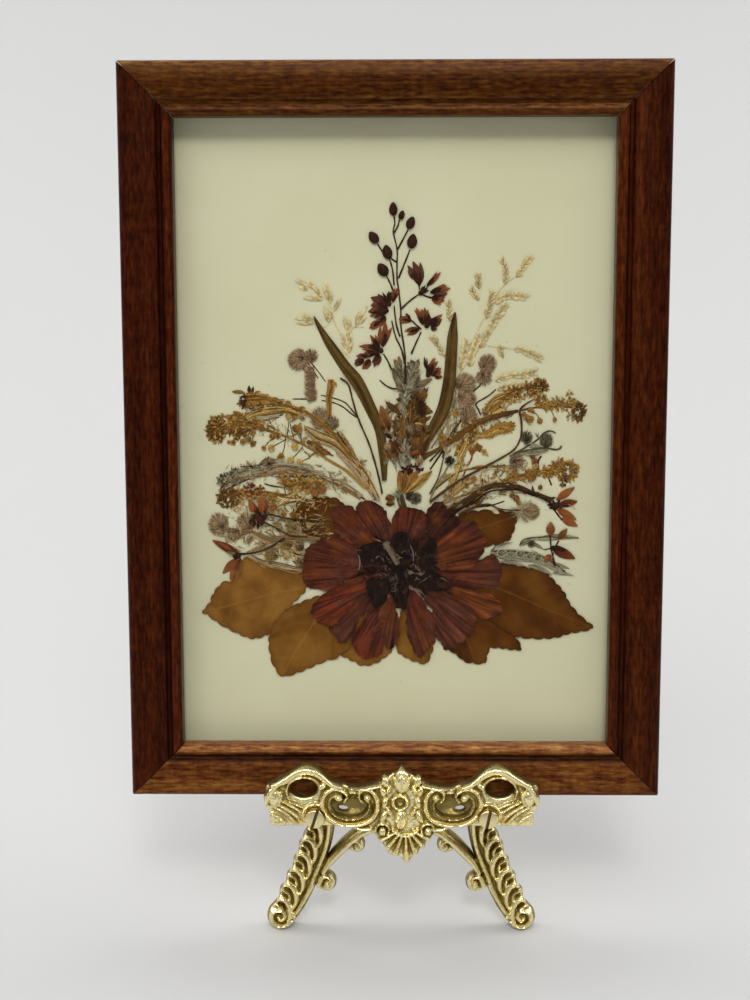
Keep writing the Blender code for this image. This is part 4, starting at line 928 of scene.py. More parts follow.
class Spray:
    """Stems, buds, petals and hairs that are pressed into one piece."""

    shapes = {}

    def __init__(self, name, seed):
        self.name = name
        self.random = Random(seed)
        self.corners = []
        self.faces = []
        self.tints = []
        self.count = 0
        if not Spray.shapes:
            builders = {"bud": bud_shape, "grain": grain_shape, "petal": petal_shape, "fibre": fibre_shape}
            Spray.shapes.update({kind: pattern(build) for kind, build in builders.items()})

    def add(self, corners, faces, tints):
        self.corners.append(corners)
        self.tints.append(tints)
        self.faces += [tuple(i + self.count for i in face) for face in faces]
        self.count += len(corners)

    def vary(self, tint):
        """The tint, a little lighter or darker and a little warmer or cooler."""
        k = 1 + self.random.uniform(-0.16, 0.16)
        warm = 1 + self.random.uniform(-0.05, 0.05)
        return (tint[0] * k * warm, tint[1] * k, tint[2] * k / warm)

    def put(self, kind, base, tip, width, thick, foot, head=None, lift=0.0, bend=0.0):
        """A copy of a small shape from base to tip, in colours that go from foot to head."""
        shape, faces = Spray.shapes[kind]
        base = np.array(base, float)
        along = np.array(tip, float) - base
        length = max(hypot(*along), 1e-6)
        side = np.array((-along[1], along[0])) / length
        t = shape[:, 0]
        across = shape[:, 1] * width + bend * length * np.sin(pi * np.clip(t, 0, 1))
        flat = base + t[:, None] * along + across[:, None] * side
        ground = BOARD_FRONT + 0.03 + min(0.95, float(pile.at(*(base + along * 0.5))))
        out = ground + lift + (shape[:, 2] - shape[:, 2].min()) * thick
        first = np.array(self.vary(foot))
        last = np.array(self.vary(head or foot))
        ease = np.clip(t, 0, 1)[:, None]
        self.add(np.column_stack([flat, out]), faces, first * (1 - ease) + last * ease)

    def stem(self, points, widths, tint, thick=0.55, lift=0.0, tip_tint=None, sides=6):
        """A flattened round stem along the points."""
        path = np.array(smooth_path(points, 4), float)
        count = len(path)
        ground = BOARD_FRONT + 0.03 + np.minimum(0.95, pile.at(path[:, 0], path[:, 1])) + lift
        for _ in range(3):
            padded = np.concatenate([ground[:1], ground, ground[-1:]])
            ground = np.maximum(ground, (padded[:-2] + padded[2:]) / 2)
        direction = np.gradient(path, axis=0)
        direction /= np.maximum(np.hypot(*direction.T), 1e-9)[:, None]
        side = np.column_stack([-direction[:, 1], direction[:, 0]])
        place = np.linspace(0, 1, count)
        ripple = 0.12 * np.sin(place * count * 1.7 + self.random.random() * 6)
        width = np.array([graded(widths, t) for t in place]) * (1 + ripple)
        rings = []
        colors = []
        start = np.array(self.vary(tint))
        end = np.array(self.vary(tip_tint or tint))
        for k in range(count):
            for s in range(sides):
                a = 2 * pi * s / sides
                across = cos(a) * width[k] / 2
                out = ground[k] + (sin(a) + 1) * width[k] * thick / 2
                rings.append((*(path[k] + side[k] * across), out))
                streak = 0.86 if s % 2 else 1.06
                colors.append((start * (1 - place[k]) + end * place[k]) * streak)
        faces = []
        for k in range(count - 1):
            for s in range(sides):
                a, b = k * sides + s, k * sides + (s + 1) % sides
                faces.append((a + sides, b + sides, b, a))
        faces.append(tuple(range(sides)))
        faces.append(tuple(range((count - 1) * sides, count * sides))[::-1])
        self.add(np.array(rings), faces, np.array(colors))

    def petal(self, base, tip, width, foot, head=None, thick=0.5, lift=0.05, bend=0.0):
        self.put("petal", base, tip, width, thick, foot, head, lift, bend)

    def ragged(self, base, tip, width, foot, head, dark):
        """A petal that has dried into a fan of narrow lobes, the inner ones dark."""
        along = atan2(tip[1] - base[1], tip[0] - base[0])
        far = hypot(tip[0] - base[0], tip[1] - base[1])
        for turn, long, wide in ((0, 1.0, 0.66), (0.2, 0.88, 0.5), (-0.2, 0.84, 0.5), (0.06, 0.62, 0.3),
                                 (-0.14, 0.54, 0.26)):
            a = along + turn * width / 2 + self.random.uniform(-0.09, 0.09)
            reach = far * long * self.random.uniform(0.92, 1.04)
            self.petal(base, at_angle(*base, reach, a), width * wide, foot if long > 0.7 else dark,
                       head if long > 0.7 else foot, 0.6,
                       self.random.uniform(0.0, 0.2) + 0.25 * (long < 0.7),
                       self.random.uniform(-0.08, 0.08))

    def bud(self, x, y, length, width, angle, tint, head=None, thick=None, lift=0.0):
        turn = radians(angle)
        dx = cos(turn) * length / 2
        dy = sin(turn) * length / 2
        self.put("bud", (x - dx, y - dy), (x + dx, y + dy), width, thick or width * 0.6, tint, head, lift)

    def floret(self, x, y, size, tint, dark, seed_angle=None):
        """A tiny dried flower: a few cupped petals round a darker middle."""
        start = self.random.uniform(0, 2 * pi) if seed_angle is None else radians(seed_angle)
        for k in range(5):
            a = start + 2 * pi * k / 5 + self.random.uniform(-0.2, 0.2)
            reach = size * self.random.uniform(0.45, 0.62)
            self.put("petal", (x, y), at_angle(x, y, reach, a), size * 0.45, 0.4, dark, tint,
                     self.random.uniform(0, 0.15))
        self.put("grain", (x - size * 0.14, y), (x + size * 0.14, y), size * 0.28, 0.3, dark, dark, 0.15)

    def knob(self, x, y, size, tint, dark):
        """A small round dried bud of crumpled scales."""
        self.bud(x, y, size, size * 0.86, self.random.uniform(0, 360), dark, tint)
        for _ in range(5):
            a = self.random.uniform(0, 2 * pi)
            far = size * self.random.uniform(0.1, 0.28)
            px, py = at_angle(x, y, far, a)
            self.put("petal", (px - 0.25 * size * cos(a), py - 0.25 * size * sin(a)),
                     (px + 0.25 * size * cos(a), py + 0.25 * size * sin(a)), size * 0.45, 0.35, dark,
                     tint, size * 0.4)

    def cluster(self, x, y, length, width, angle, tint, pale, dark, count, size=0.75):
        """A dense head of tiny florets, darker inside, with pale tips at its edge."""
        turn = radians(angle)
        for _ in range(count):
            r = sqrt(self.random.random())
            a = self.random.uniform(0, 2 * pi)
            u = r * cos(a) * length / 2
            v = r * sin(a) * width / 2
            px = x + u * cos(turn) - v * sin(turn)
            py = y + u * sin(turn) + v * cos(turn)
            out = atan2(py - y, px - x) + self.random.uniform(-0.9, 0.9)
            long = size * self.random.uniform(0.7, 1.5)
            color = tint if r < 0.75 else (pale if self.random.random() < 0.5 else tint)
            foot = dark if r < 0.8 else tint
            self.put("petal" if self.random.random() < 0.7 else "grain", (px, py),
                     at_angle(px, py, long, out), size * self.random.uniform(0.4, 0.7), 0.4, foot, color,
                     self.random.uniform(0.0, 0.45) * (1.1 - r))

    def puff(self, x, y, reach, tint, dark, heart=None, rays=34, tall=1.0, start=0, end=360):
        """A flattened round head of fine crimped rays, mostly pale, that run out from a darker heart."""
        heart = heart or (x, y)
        for ring, (low, high) in enumerate(((0.08, 0.7), (0.25, 0.9), (0.4, 1.04))):
            for k in range(int(rays * 1.3)):
                a = radians(start + (end - start) * (k + self.random.random()) / (rays * 1.3))
                far = reach * high * self.random.uniform(0.9, 1.05)
                rim = (x + far * cos(a), y + tall * far * sin(a))
                foot = (heart[0] + (rim[0] - heart[0]) * low, heart[1] + (rim[1] - heart[1]) * low)
                deep = (ring + k) % 4 == 0
                self.put("petal", foot, rim, reach * (0.07 if deep else 0.12), 0.4, dark,
                         dark if deep else tint, 0.3 - 0.1 * ring + self.random.uniform(0, 0.16),
                         self.random.uniform(-0.14, 0.14))
        self.bud(*heart, reach * 0.4, reach * 0.32, self.random.uniform(0, 360), dark, dark, 0.3)

    def plume(self, points, width, tint, pale, dark, count, size=0.8):
        """A thick head of tiny florets that follows a path, its scales turned forwards and outwards."""
        path = evenly(smooth_path(points, 4), 0.25, closed=False)
        for _ in range(count):
            i = self.random.randrange(1, len(path) - 1)
            along = atan2(path[i - 1][1] - path[i + 1][1], path[i - 1][0] - path[i + 1][0])
            across = self.random.uniform(-1, 1)
            off = across * graded(width, i / len(path)) / 2
            x = path[i][0] - off * sin(along)
            y = path[i][1] + off * cos(along)
            turn = along + across * 1.1 + self.random.gauss(0, 0.4)
            long = size * self.random.uniform(0.7, 1.7)
            rim = pale if abs(across) > 0.6 and self.random.random() < 0.5 else tint
            self.put("petal" if self.random.random() < 0.7 else "grain", (x, y), at_angle(x, y, long, turn),
                     size * self.random.uniform(0.4, 0.75), 0.4, self.random.choice([dark, tint]), rim,
                     self.random.uniform(0.0, 0.5) * (1.1 - abs(across)))

    def crimped(self, points, width, tint, dark):
        """A band of short wavy scales across the points, like crimped wool."""
        path = evenly(smooth_path(points, 4), 0.32, closed=False)
        self.stem(points, [w * 0.8 for w in width], dark, 0.25)
        for i, (px, py) in enumerate(path):
            wide = graded(width, i / max(1, len(path) - 1)) * self.random.uniform(0.85, 1.1)
            after = path[min(i + 1, len(path) - 1)]
            before = path[max(i - 1, 0)]
            along = atan2(after[1] - before[1], after[0] - before[0])
            a = along + pi / 2 + self.random.uniform(-0.25, 0.25)
            dx, dy = cos(a) * wide / 2, sin(a) * wide / 2
            self.put("fibre" if i % 3 else "petal", (px - dx, py - dy), (px + dx, py + dy), 0.34, 0.34,
                     tint, dark if i % 2 else tint, 0.25 + self.random.uniform(0, 0.12),
                     self.random.uniform(-0.12, 0.12))

    def hairs(self, base, reach, angle, spread, count, tint, tip=None, width=0.16, lift=0.1):
        """Fine hairs that fan out from a base."""
        for _ in range(count):
            a = radians(angle + self.random.uniform(-spread, spread) / 2)
            far = reach * self.random.uniform(0.65, 1.0)
            off = reach * 0.08
            bx = base[0] + self.random.uniform(-off, off)
            by = base[1] + self.random.uniform(-off, off)
            self.put("fibre", (bx, by), at_angle(bx, by, far, a), width, width, tint, tip,
                     lift + self.random.uniform(0, 0.3), self.random.uniform(-0.06, 0.06))

    def bundle(self, points, width, tints, count=7, thin=0.32):
        """Several thin stems that lie side by side and wander a little."""
        path = [Vector(p) for p in points]
        for k in range(count):
            off = (k / max(1, count - 1) - 0.5)
            line = []
            for i, point in enumerate(path):
                along = (path[min(i + 1, len(path) - 1)] - path[max(i - 1, 0)]).normalized()
                side = Vector((-along.y, along.x))
                wide = graded(width, i / (len(path) - 1))
                line.append(tuple(point + side * (off * wide + self.random.uniform(-0.12, 0.12))))
            self.stem(line, [thin * self.random.uniform(0.7, 1.3)] * 2, self.random.choice(tints), 0.7,
                      self.random.uniform(0, 0.22))
        reach = sum(hypot(q[0] - p[0], q[1] - p[1]) for p, q in zip(points, points[1:]))
        self.fray(points, width, tints, int(reach * count * 0.22), 1.8, 0.35)

    def fray(self, points, width, tints, count, length=1.8, spread=0.5):
        """Loose bits and threads that lie about a path, most of them along it."""
        path = evenly(smooth_path(points, 4), 0.3, closed=False)
        for _ in range(count):
            i = self.random.randrange(1, len(path) - 1)
            along = atan2(path[i + 1][1] - path[i - 1][1], path[i + 1][0] - path[i - 1][0])
            off = min(0.6, max(-0.6, self.random.gauss(0, 0.32))) * graded(width, i / len(path))
            x = path[i][0] - off * sin(along)
            y = path[i][1] + off * cos(along)
            turn = along + self.random.gauss(0, spread) + (pi if self.random.random() < 0.5 else 0)
            long = length * self.random.uniform(0.4, 1.2)
            kind = "fibre" if self.random.random() < 0.6 else "petal"
            thin = self.random.uniform(0.14, 0.3) * (1.0 if kind == "fibre" else 1.9)
            self.put(kind, (x, y), at_angle(x, y, long, turn), thin, min(thin, 0.3),
                     self.random.choice(tints), self.random.choice(tints), self.random.uniform(0.05, 0.4),
                     self.random.uniform(-0.2, 0.2))

    def done(self, finish, slot, *nodes):
        corners = np.concatenate(self.corners)
        corners[:, 2] = np.minimum(corners[:, 2], GLASS_BACK - 0.06)
        piece = object_of(self.name, corners.tolist(), self.faces)
        edit_all(piece)
        bpy.ops.mesh.normals_make_consistent(inside=False)
        end_edit()
        set_color(piece, "tint", np.clip(np.concatenate(self.tints), 0, 1))
        smooth_by_angle(piece, 60)
        settle(piece, PLANE, finish, "frame_and_easel", slot, *nodes)
        pile.raise_to(corners[:, 0], corners[:, 1], corners[:, 2] - BOARD_FRONT)
        return piece


def dried_stuff(name, roughness=0.72, grain=900.0, contrast=1.0):
    """Dry plant tissue: the tint of each bit, mottled and finely wrinkled."""
    stuff = Finish(name)
    place = stuff.place()
    mottle = stuff.noise(place, grain, 4.0, 0.65)
    blotch = stuff.noise(place, grain * 0.25, 2.0, 0.5)
    level = (mottle * 0.65 + blotch * 0.35 - 0.5) * contrast + 0.5
    shade = stuff.ramp(level, (0.3, (0.5, 0.46, 0.42)), (0.5, (0.95, 0.94, 0.92)),
                       (0.68, (1.3, 1.26, 1.15)))
    color = stuff.mix(1.0, stuff.attribute("tint", "Color"), shade, "MULTIPLY")
    return stuff.done(base_color=color, roughness=roughness, normal=stuff.bump(mottle, 0.35, 0.00006),
                      specular_ior_level=0.1, specular_tint=(1.0, 0.8, 0.6))


def ribbed_stuff(name, roughness=0.62):
    """A dried petal or blade: its tint, drawn out in fine dark lines along its ribs."""
    stuff = Finish(name)
    ribs = stuff.attribute("ribs")
    line = stuff.noise(stuff.stretched(ribs, (2.6, 0.16, 1.0)), 1.0, 3.0, 0.6, 0.25)
    hair = stuff.noise(stuff.stretched(ribs, (7.5, 0.3, 1.0)), 1.0, 2.0, 0.5)
    mottle = stuff.noise(stuff.place(), 700.0, 4.0, 0.65)
    shade = stuff.ramp(line * 0.42 + hair * 0.3 + mottle * 0.28, (0.34, (0.42, 0.38, 0.37)),
                       (0.5, (0.95, 0.93, 0.92)), (0.64, (1.38, 1.36, 1.33)))
    color = stuff.mix(1.0, stuff.attribute("tint", "Color"), shade, "MULTIPLY")
    normal = stuff.bump(line * 0.7 + hair * 0.5 + mottle * 0.3, 0.5, 0.00012)
    return stuff.done(base_color=color, roughness=roughness, normal=normal, specular_ior_level=0.1,
                      specular_tint=(1.0, 0.7, 0.5))


def make_grasses(straw):
    left = Spray("pale_grass_left_dried", 3)
    stem = [(-19.6, 37.8), (-17.2, 35), (-16.2, 30.8), (-14.6, 27.6), (-13.8, 24.2), (-12.2, 21.2),
            (-13.5, 23), (-11.5, 10), (-7.5, -1), (-4.5, -9)]
    left.stem(stem, [0.3, 0.45, 0.5, 0.5], STRAW)
    ears = [((-23.6, 40), (-26.6, 41.6)), ((-21.4, 39.2), (-23.6, 41.6)), ((-19.8, 38), (-21.8, 40)),
            ((-23.2, 39), (-25.6, 39.8)), ((-19.2, 36.4), (-24.4, 36.8)), ((-19.4, 37.4), (-22, 37.6)),
            ((-17.8, 36.4), (-18.2, 41.2)), ((-17.2, 35.4), (-17.2, 39)), ((-18.2, 37.4), (-19, 40)),
            ((-16.2, 33.4), (-14.2, 37)), ((-17, 30.8), (-19, 34.6)), ((-16.4, 31.4), (-18, 34.6)),
            ((-17.4, 30.4), (-18.8, 32.6)), ((-21.8, 31.4), (-26.8, 31.6)), ((-22, 30.6), (-24.4, 32.8)),
            ((-21.6, 30.2), (-26.4, 30.4)), ((-12.8, 28.4), (-13.6, 32.2)), ((-12.2, 28), (-12.2, 31.8)),
            ((-10.6, 29.2), (-7.2, 34.8)), ((-10.4, 30), (-8.6, 33.8)), ((-9.4, 30), (-7.6, 31.8)),
            ((-12.6, 26.2), (-11.6, 29.2)), ((-12.4, 24.8), (-11.6, 27.6)),
            ((-13.6, 24.4), (-14.2, 27.6)), ((-12.2, 22.4), (-11.2, 25.2)), ((-13, 23.2), (-13.6, 25.6))]
    for base, tip in ears:
        left.petal(base, tip, 1.15, STRAW_DARK, STRAW, 0.6, bend=left.random.uniform(-0.06, 0.06))
        left.petal(base, ((base[0] + tip[0]) / 2 + 0.25, (base[1] + tip[1]) / 2 + 0.2), 0.6, STRAW,
                   STRAW_DARK, 0.5, 0.25)
    for twig in ([(-17.2, 30.2), (-19.2, 29.2), (-21.8, 30.8)],
                 [(-12.8, 28.4), (-12.2, 25.2), (-12.4, 23.2)], [(-8.2, 29), (-11, 29), (-12.2, 27.6)]):
        left.stem(twig, [0.25, 0.3], STRAW)
    left.done(straw, "straw", "pale_grass_left")

    right = Spray("pale_grass_right_dried", 4)
    right.stem([(31.4, 42), (28.6, 39.8), (27, 37.4), (25.4, 33.8), (23.4, 30.8), (21.4, 26.8),
                (20.6, 23.8), (19.4, 20.6), (17.5, 17), (15, 11), (12.5, 4)], [0.3, 0.35, 0.4, 0.5],
               STRAW)
    right.stem([(22.4, 36), (23.2, 33.8), (23.6, 31.2)], [0.3, 0.3], STRAW)
    right.stem([(24.6, 24), (27.6, 23.8), (31.6, 23.2)], [0.3, 0.3], STRAW)
    spikes = [([(28.8, 40), (29.4, 42.2), (29.2, 44.4), (28.4, 46.6)], 1.5, 11),
              ([(31.8, 42.2), (33.2, 43.8), (34.6, 45.8), (35.8, 47.4)], 1.9, 13),
              ([(22.2, 38.8), (22.2, 40.8), (22, 42.8)], 1.5, 8),
              ([(22.2, 35.8), (21.2, 37.6), (20.4, 39.2)], 1.5, 7),
              ([(24, 31.2), (25, 33.8), (25.4, 36.2), (26, 38.2)], 1.5, 13),
              ([(26.2, 35.6), (28.6, 36.8), (31.4, 37.4), (34.2, 37)], 2.2, 18),
              ([(22.4, 23.4), (24.2, 26.8), (26.2, 30.2), (27.8, 32.6), (29.2, 34.8)], 2.2, 30),
              ([(31.6, 23.4), (34, 23), (36.2, 22), (38.6, 20.8)], 1.9, 14),
              ([(28.8, 20.6), (28.4, 22), (28.4, 23.6)], 1.2, 6),
              ([(18.6, 20.6), (18.8, 22.4), (19.4, 24.8)], 1.3, 8),
              ([(13.2, 21), (11.8, 23.8), (10, 26.4)], 1.6, 10),
              ([(17.4, 17.6), (18.2, 21), (19, 24.8)], 2.4, 20),
              ([(19.8, 18.6), (20.6, 22), (22.2, 26.2)], 2.4, 20),
              ([(26.6, 14.8), (30, 16), (33.6, 16.4), (37.2, 17.2)], 2.0, 20),
              ([(27.2, 12.4), (30.4, 13.4), (33.6, 13.6)], 1.6, 12),
              ([(14.4, 30.4), (14.6, 32.6), (14.2, 35.4)], 1.5, 9)]
    for line, wide, count in spikes:
        path = evenly(smooth_path(line, 6), 0.12, closed=False)
        for k in range(count):
            i = int((len(path) - 2) * (k + 0.5) / count)
            along = atan2(path[i + 1][1] - path[i][1], path[i + 1][0] - path[i][0])
            a = along + (0.5 if k % 2 else -0.5) + right.random.uniform(-0.15, 0.15)
            long = right.random.uniform(1.3, 2.1) * (0.75 + 0.15 * wide)
            right.petal(path[i], at_angle(*path[i], long, a), wide * 0.42, STRAW_DARK, STRAW, 0.55,
                        right.random.uniform(0, 0.25))
    right.done(straw, "straw", "pale_grass_right")


def make_crimped_heads(wool):
    left = Spray("crimped_heads_left_dried", 7)
    left.puff(-25.8, 20.4, 3.0, MAUVE, MAUVE_DARK, (-24.4, 20.9), 40)
    left.puff(-22.4, 21.6, 2.0, MAUVE, MAUVE_DARK, (-22, 20.6), 24)
    for a, b in (((-24.2, 20), (-21.6, 16)), ((-24, 20.6), (-20.5, 15.5)), ((-23.4, 20.8), (-18.5, 14.6)),
                 ((-24.6, 19.6), (-23, 16.8))):
        left.stem([a, ((a[0] + b[0]) / 2, (a[1] + b[1]) / 2 + 0.3), b], [0.3, 0.25], STEM_DARK)
    left.crimped([(-22.8, 18.6), (-22.6, 16), (-22.6, 13.4), (-22.4, 11.2), (-22.2, 9.4)],
                 [2.6, 3.3, 3.0, 3.6, 2.6], MAUVE, MAUVE_DARK)
    left.stem([(-27.4, 10), (-25.4, 10), (-23.6, 10)], [0.25, 0.4], STEM_DARK)
    left.stem([(-19.8, 11), (-17, 10.4), (-13.6, 9.2), (-11.6, 7.2), (-9.8, 5)], [0.3, 0.35], STEM_DARK)
    left.stem([(-19.6, 9.6), (-16.4, 9), (-13.8, 7.8), (-11.6, 6), (-10, 5)], [0.3, 0.4], STEM_DARK)
    left.puff(-20.2, 5, 2.7, TAUPE, MAUVE_DARK, (-19, 2.4), 34, 1.15)
    left.puff(-16.8, 3.8, 1.9, TAUPE, MAUVE_DARK, (-16, 2.2), 24)
    left.fray([(-19, 3), (-15.6, 0), (-12, -5), (-8, -11)], 3.0, [MAUVE, TAUPE, STEM_TAN, SILVER], 150,
              2.0, 0.5)
    for k in range(7):
        a = (-18.8, 2.2)
        left.stem([(a[0] + 0.5 * k, a[1] - 0.25 * k), (a[0] + 2.4 + 0.5 * k, a[1] - 2.6),
                   (a[0] + 6.5 + 0.35 * k, a[1] - 8.2), (-8, -10)], [0.3, 0.4, 0.4, 0.3],
                  left.random.choice([MAUVE, STEM_TAN, TAUPE_DARK]))
    left.stem([(-14.6, 15.6), (-12.4, 13.8), (-11.2, 9.4), (-9.6, 4.4), (-7, -1.8), (-5.4, -6.8),
               (-4, -12.4), (-3.4, -15.6)], [0.5, 0.45, 0.5, 0.5], STEM_DARK, 0.8, 0.2)
    left.stem([(-15.4, 1.2), (-12.6, -3.4), (-9.6, -7.8), (-6.8, -12.4), (-4.2, -16.8)], [0.4, 0.5],
              STEM_DARK, 0.8, 0.2)
    left.done(wool, "mauve_head", "crimped_heads_left")

    right = Spray("crimped_heads_right_dried", 8)
    right.stem([(25, 20), (23.5, 14.5), (19, 10), (17.5, 4), (13.5, -3), (9.5, -9)], [0.4, 0.5], STEM_DARK)
    right.puff(24.8, 19.4, 2.5, MAUVE, MAUVE_DARK, (23.4, 18.6), 30, 1.1)
    right.puff(23.8, 15.6, 2.3, MAUVE, MAUVE_DARK, (23.4, 16.8), 26)
    right.puff(19, 14.2, 3.0, TAUPE, MAUVE_DARK, (17, 13.2), 36, 0.95)
    right.puff(19.2, 10, 2.8, MAUVE, MAUVE_DARK, (17, 10.8), 34, 0.95)
    right.puff(19.8, 5.8, 2.4, MAUVE, MAUVE_DARK, (19, 3.8), 28, 1.2)
    right.puff(16.2, 14, 1.4, MAUVE, MAUVE_DARK, None, 16)
    right.fray([(18, 12), (17, 8), (14.4, 3), (12, -3)], 4.0, [MAUVE, SILVER, TAUPE, STEM_TAN], 150, 2.0,
               0.4)
    for line in ([(16, 12.6), (16.4, 10.8), (14.6, 7.2), (13, 2)],
                 [(17.4, 11.2), (16.4, 9.6), (15, 6.4), (12.8, 1.6), (9.8, -3.2)],
                 [(27, 12.6), (25, 10.8), (21.8, 8.8), (22.4, 7.2), (23, 5.8)],
                 [(18.6, 4), (17, 3.4), (14, -1.4), (12.8, -5.8)],
                 [(23.8, 5.4), (25.6, 8.2), (28.4, 10.6), (32, 12)]):
        right.stem(line, [0.3, 0.4, 0.4], right.random.choice([SILVER, STEM_TAN, STEM_DARK]), 0.7, 0.1)
    right.hairs((16.4, 11.2), 4.4, -110, 40, 30, SILVER, GREY)
    right.done(wool, "mauve_head", "crimped_heads_right")

    low = Spray("round_heads_left_dried", 9)
    low.puff(-47.8, -23.8, 2.9, TAUPE, TAUPE_DARK, (-46.4, -24.6), 36, 1.15)
    low.puff(-40.2, -23, 2.5, TAUPE, MAUVE_DARK, (-39.2, -25.2), 30)
    low.puff(-27.6, -24.6, 2.0, CREAM, TAUPE_DARK, (-26.8, -25.2), 24)
    low.puff(-44, -26.8, 1.9, MAUVE, MAUVE_DARK, (-42, -25.6), 22)
    low.hairs((-40.2, -26.2), 4.2, 205, 50, 22, TAUPE_DARK, CREAM)
    low.hairs((-38.8, -27.6), 3.0, 230, 60, 18, TAUPE_DARK, CREAM)
    low.puff(-33.4, -32, 1.9, CREAM, TAUPE_DARK, (-32, -32.6), 26)
    low.puff(-29.4, -29.2, 1.9, CREAM, GOLD_DARK, (-27.8, -29.8), 26)
    low.puff(-26, -29.8, 1.4, TAUPE, GREY_DARK, (-25.2, -31), 18)
    low.puff(-25.6, -34.4, 1.3, CREAM, TAUPE_DARK, None, 14)
    low.stem([(-46, -25), (-42, -25.6), (-38.4, -26.2), (-33.6, -28), (-29.2, -27.4), (-23.6, -27.6),
              (-20.2, -28)], [0.7, 0.9, 1.4, 1.6, 1.0], TAUPE_DARK)
    low.bundle([(-38.4, -26.4), (-33.6, -28.6), (-30.2, -27.6), (-24.6, -27.4)], [1.2, 2.4, 1.2],
               [TAUPE, TAUPE_DARK, MAUVE, CREAM], 6)
    low.bundle([(-40.2, -31.8), (-37, -30.6), (-33.6, -29.4), (-30.2, -28)], [0.6, 1.4, 0.8],
               [TAUPE, TAUPE_DARK, STEM_TAN], 5)
    for k in range(6):
        low.stem([(-29, -31.2), (-27 + 0.2 * k, -30.4 - 0.6 * k), (-22.5, -31.2 - 0.5 * k)], [0.3, 0.35],
                 low.random.choice([CREAM, TAUPE, STEM_DARK]), 0.7, 0.1)
    low.bundle([(-39, -32.8), (-36, -34.4), (-31.4, -35.4), (-27, -36.4), (-24.6, -36.2)],
               [0.8, 1.6, 1.6, 1.0], [TAUPE, STEM_TAN, TAUPE_DARK], 6)
    low.bud(-37.6, -26.6, 1.6, 1.0, 0, BROWN, BROWN_DARK)
    low.fray([(-46, -26), (-39, -27), (-32, -29), (-26, -31)], 7.0,
             [TAUPE, CREAM, TAUPE_DARK, STRAW_DARK], 240, 2.0, 0.8)
    low.fray([(-36, -20), (-30, -23), (-24, -26), (-18, -24)], 7.0,
             [TAUPE, CREAM, TAUPE_DARK, STEM_TAN, GREY], 190, 2.2, 0.6)
    for x, y, size in ((-33.6, -32.3, 3.4), (-30.2, -28.8, 3.2), (-31.4, -30.6, 2.6), (-26.4, -29.8, 2.6),
                       (-25.8, -34, 2.2), (-29.2, -32.2, 2.0)):
        low.cluster(x, y, size, size * 0.9, 0, STRAW_DARK, STRAW, GOLD, int(size * 13), 0.8)
    low.done(wool, "taupe_head", "round_heads_left")


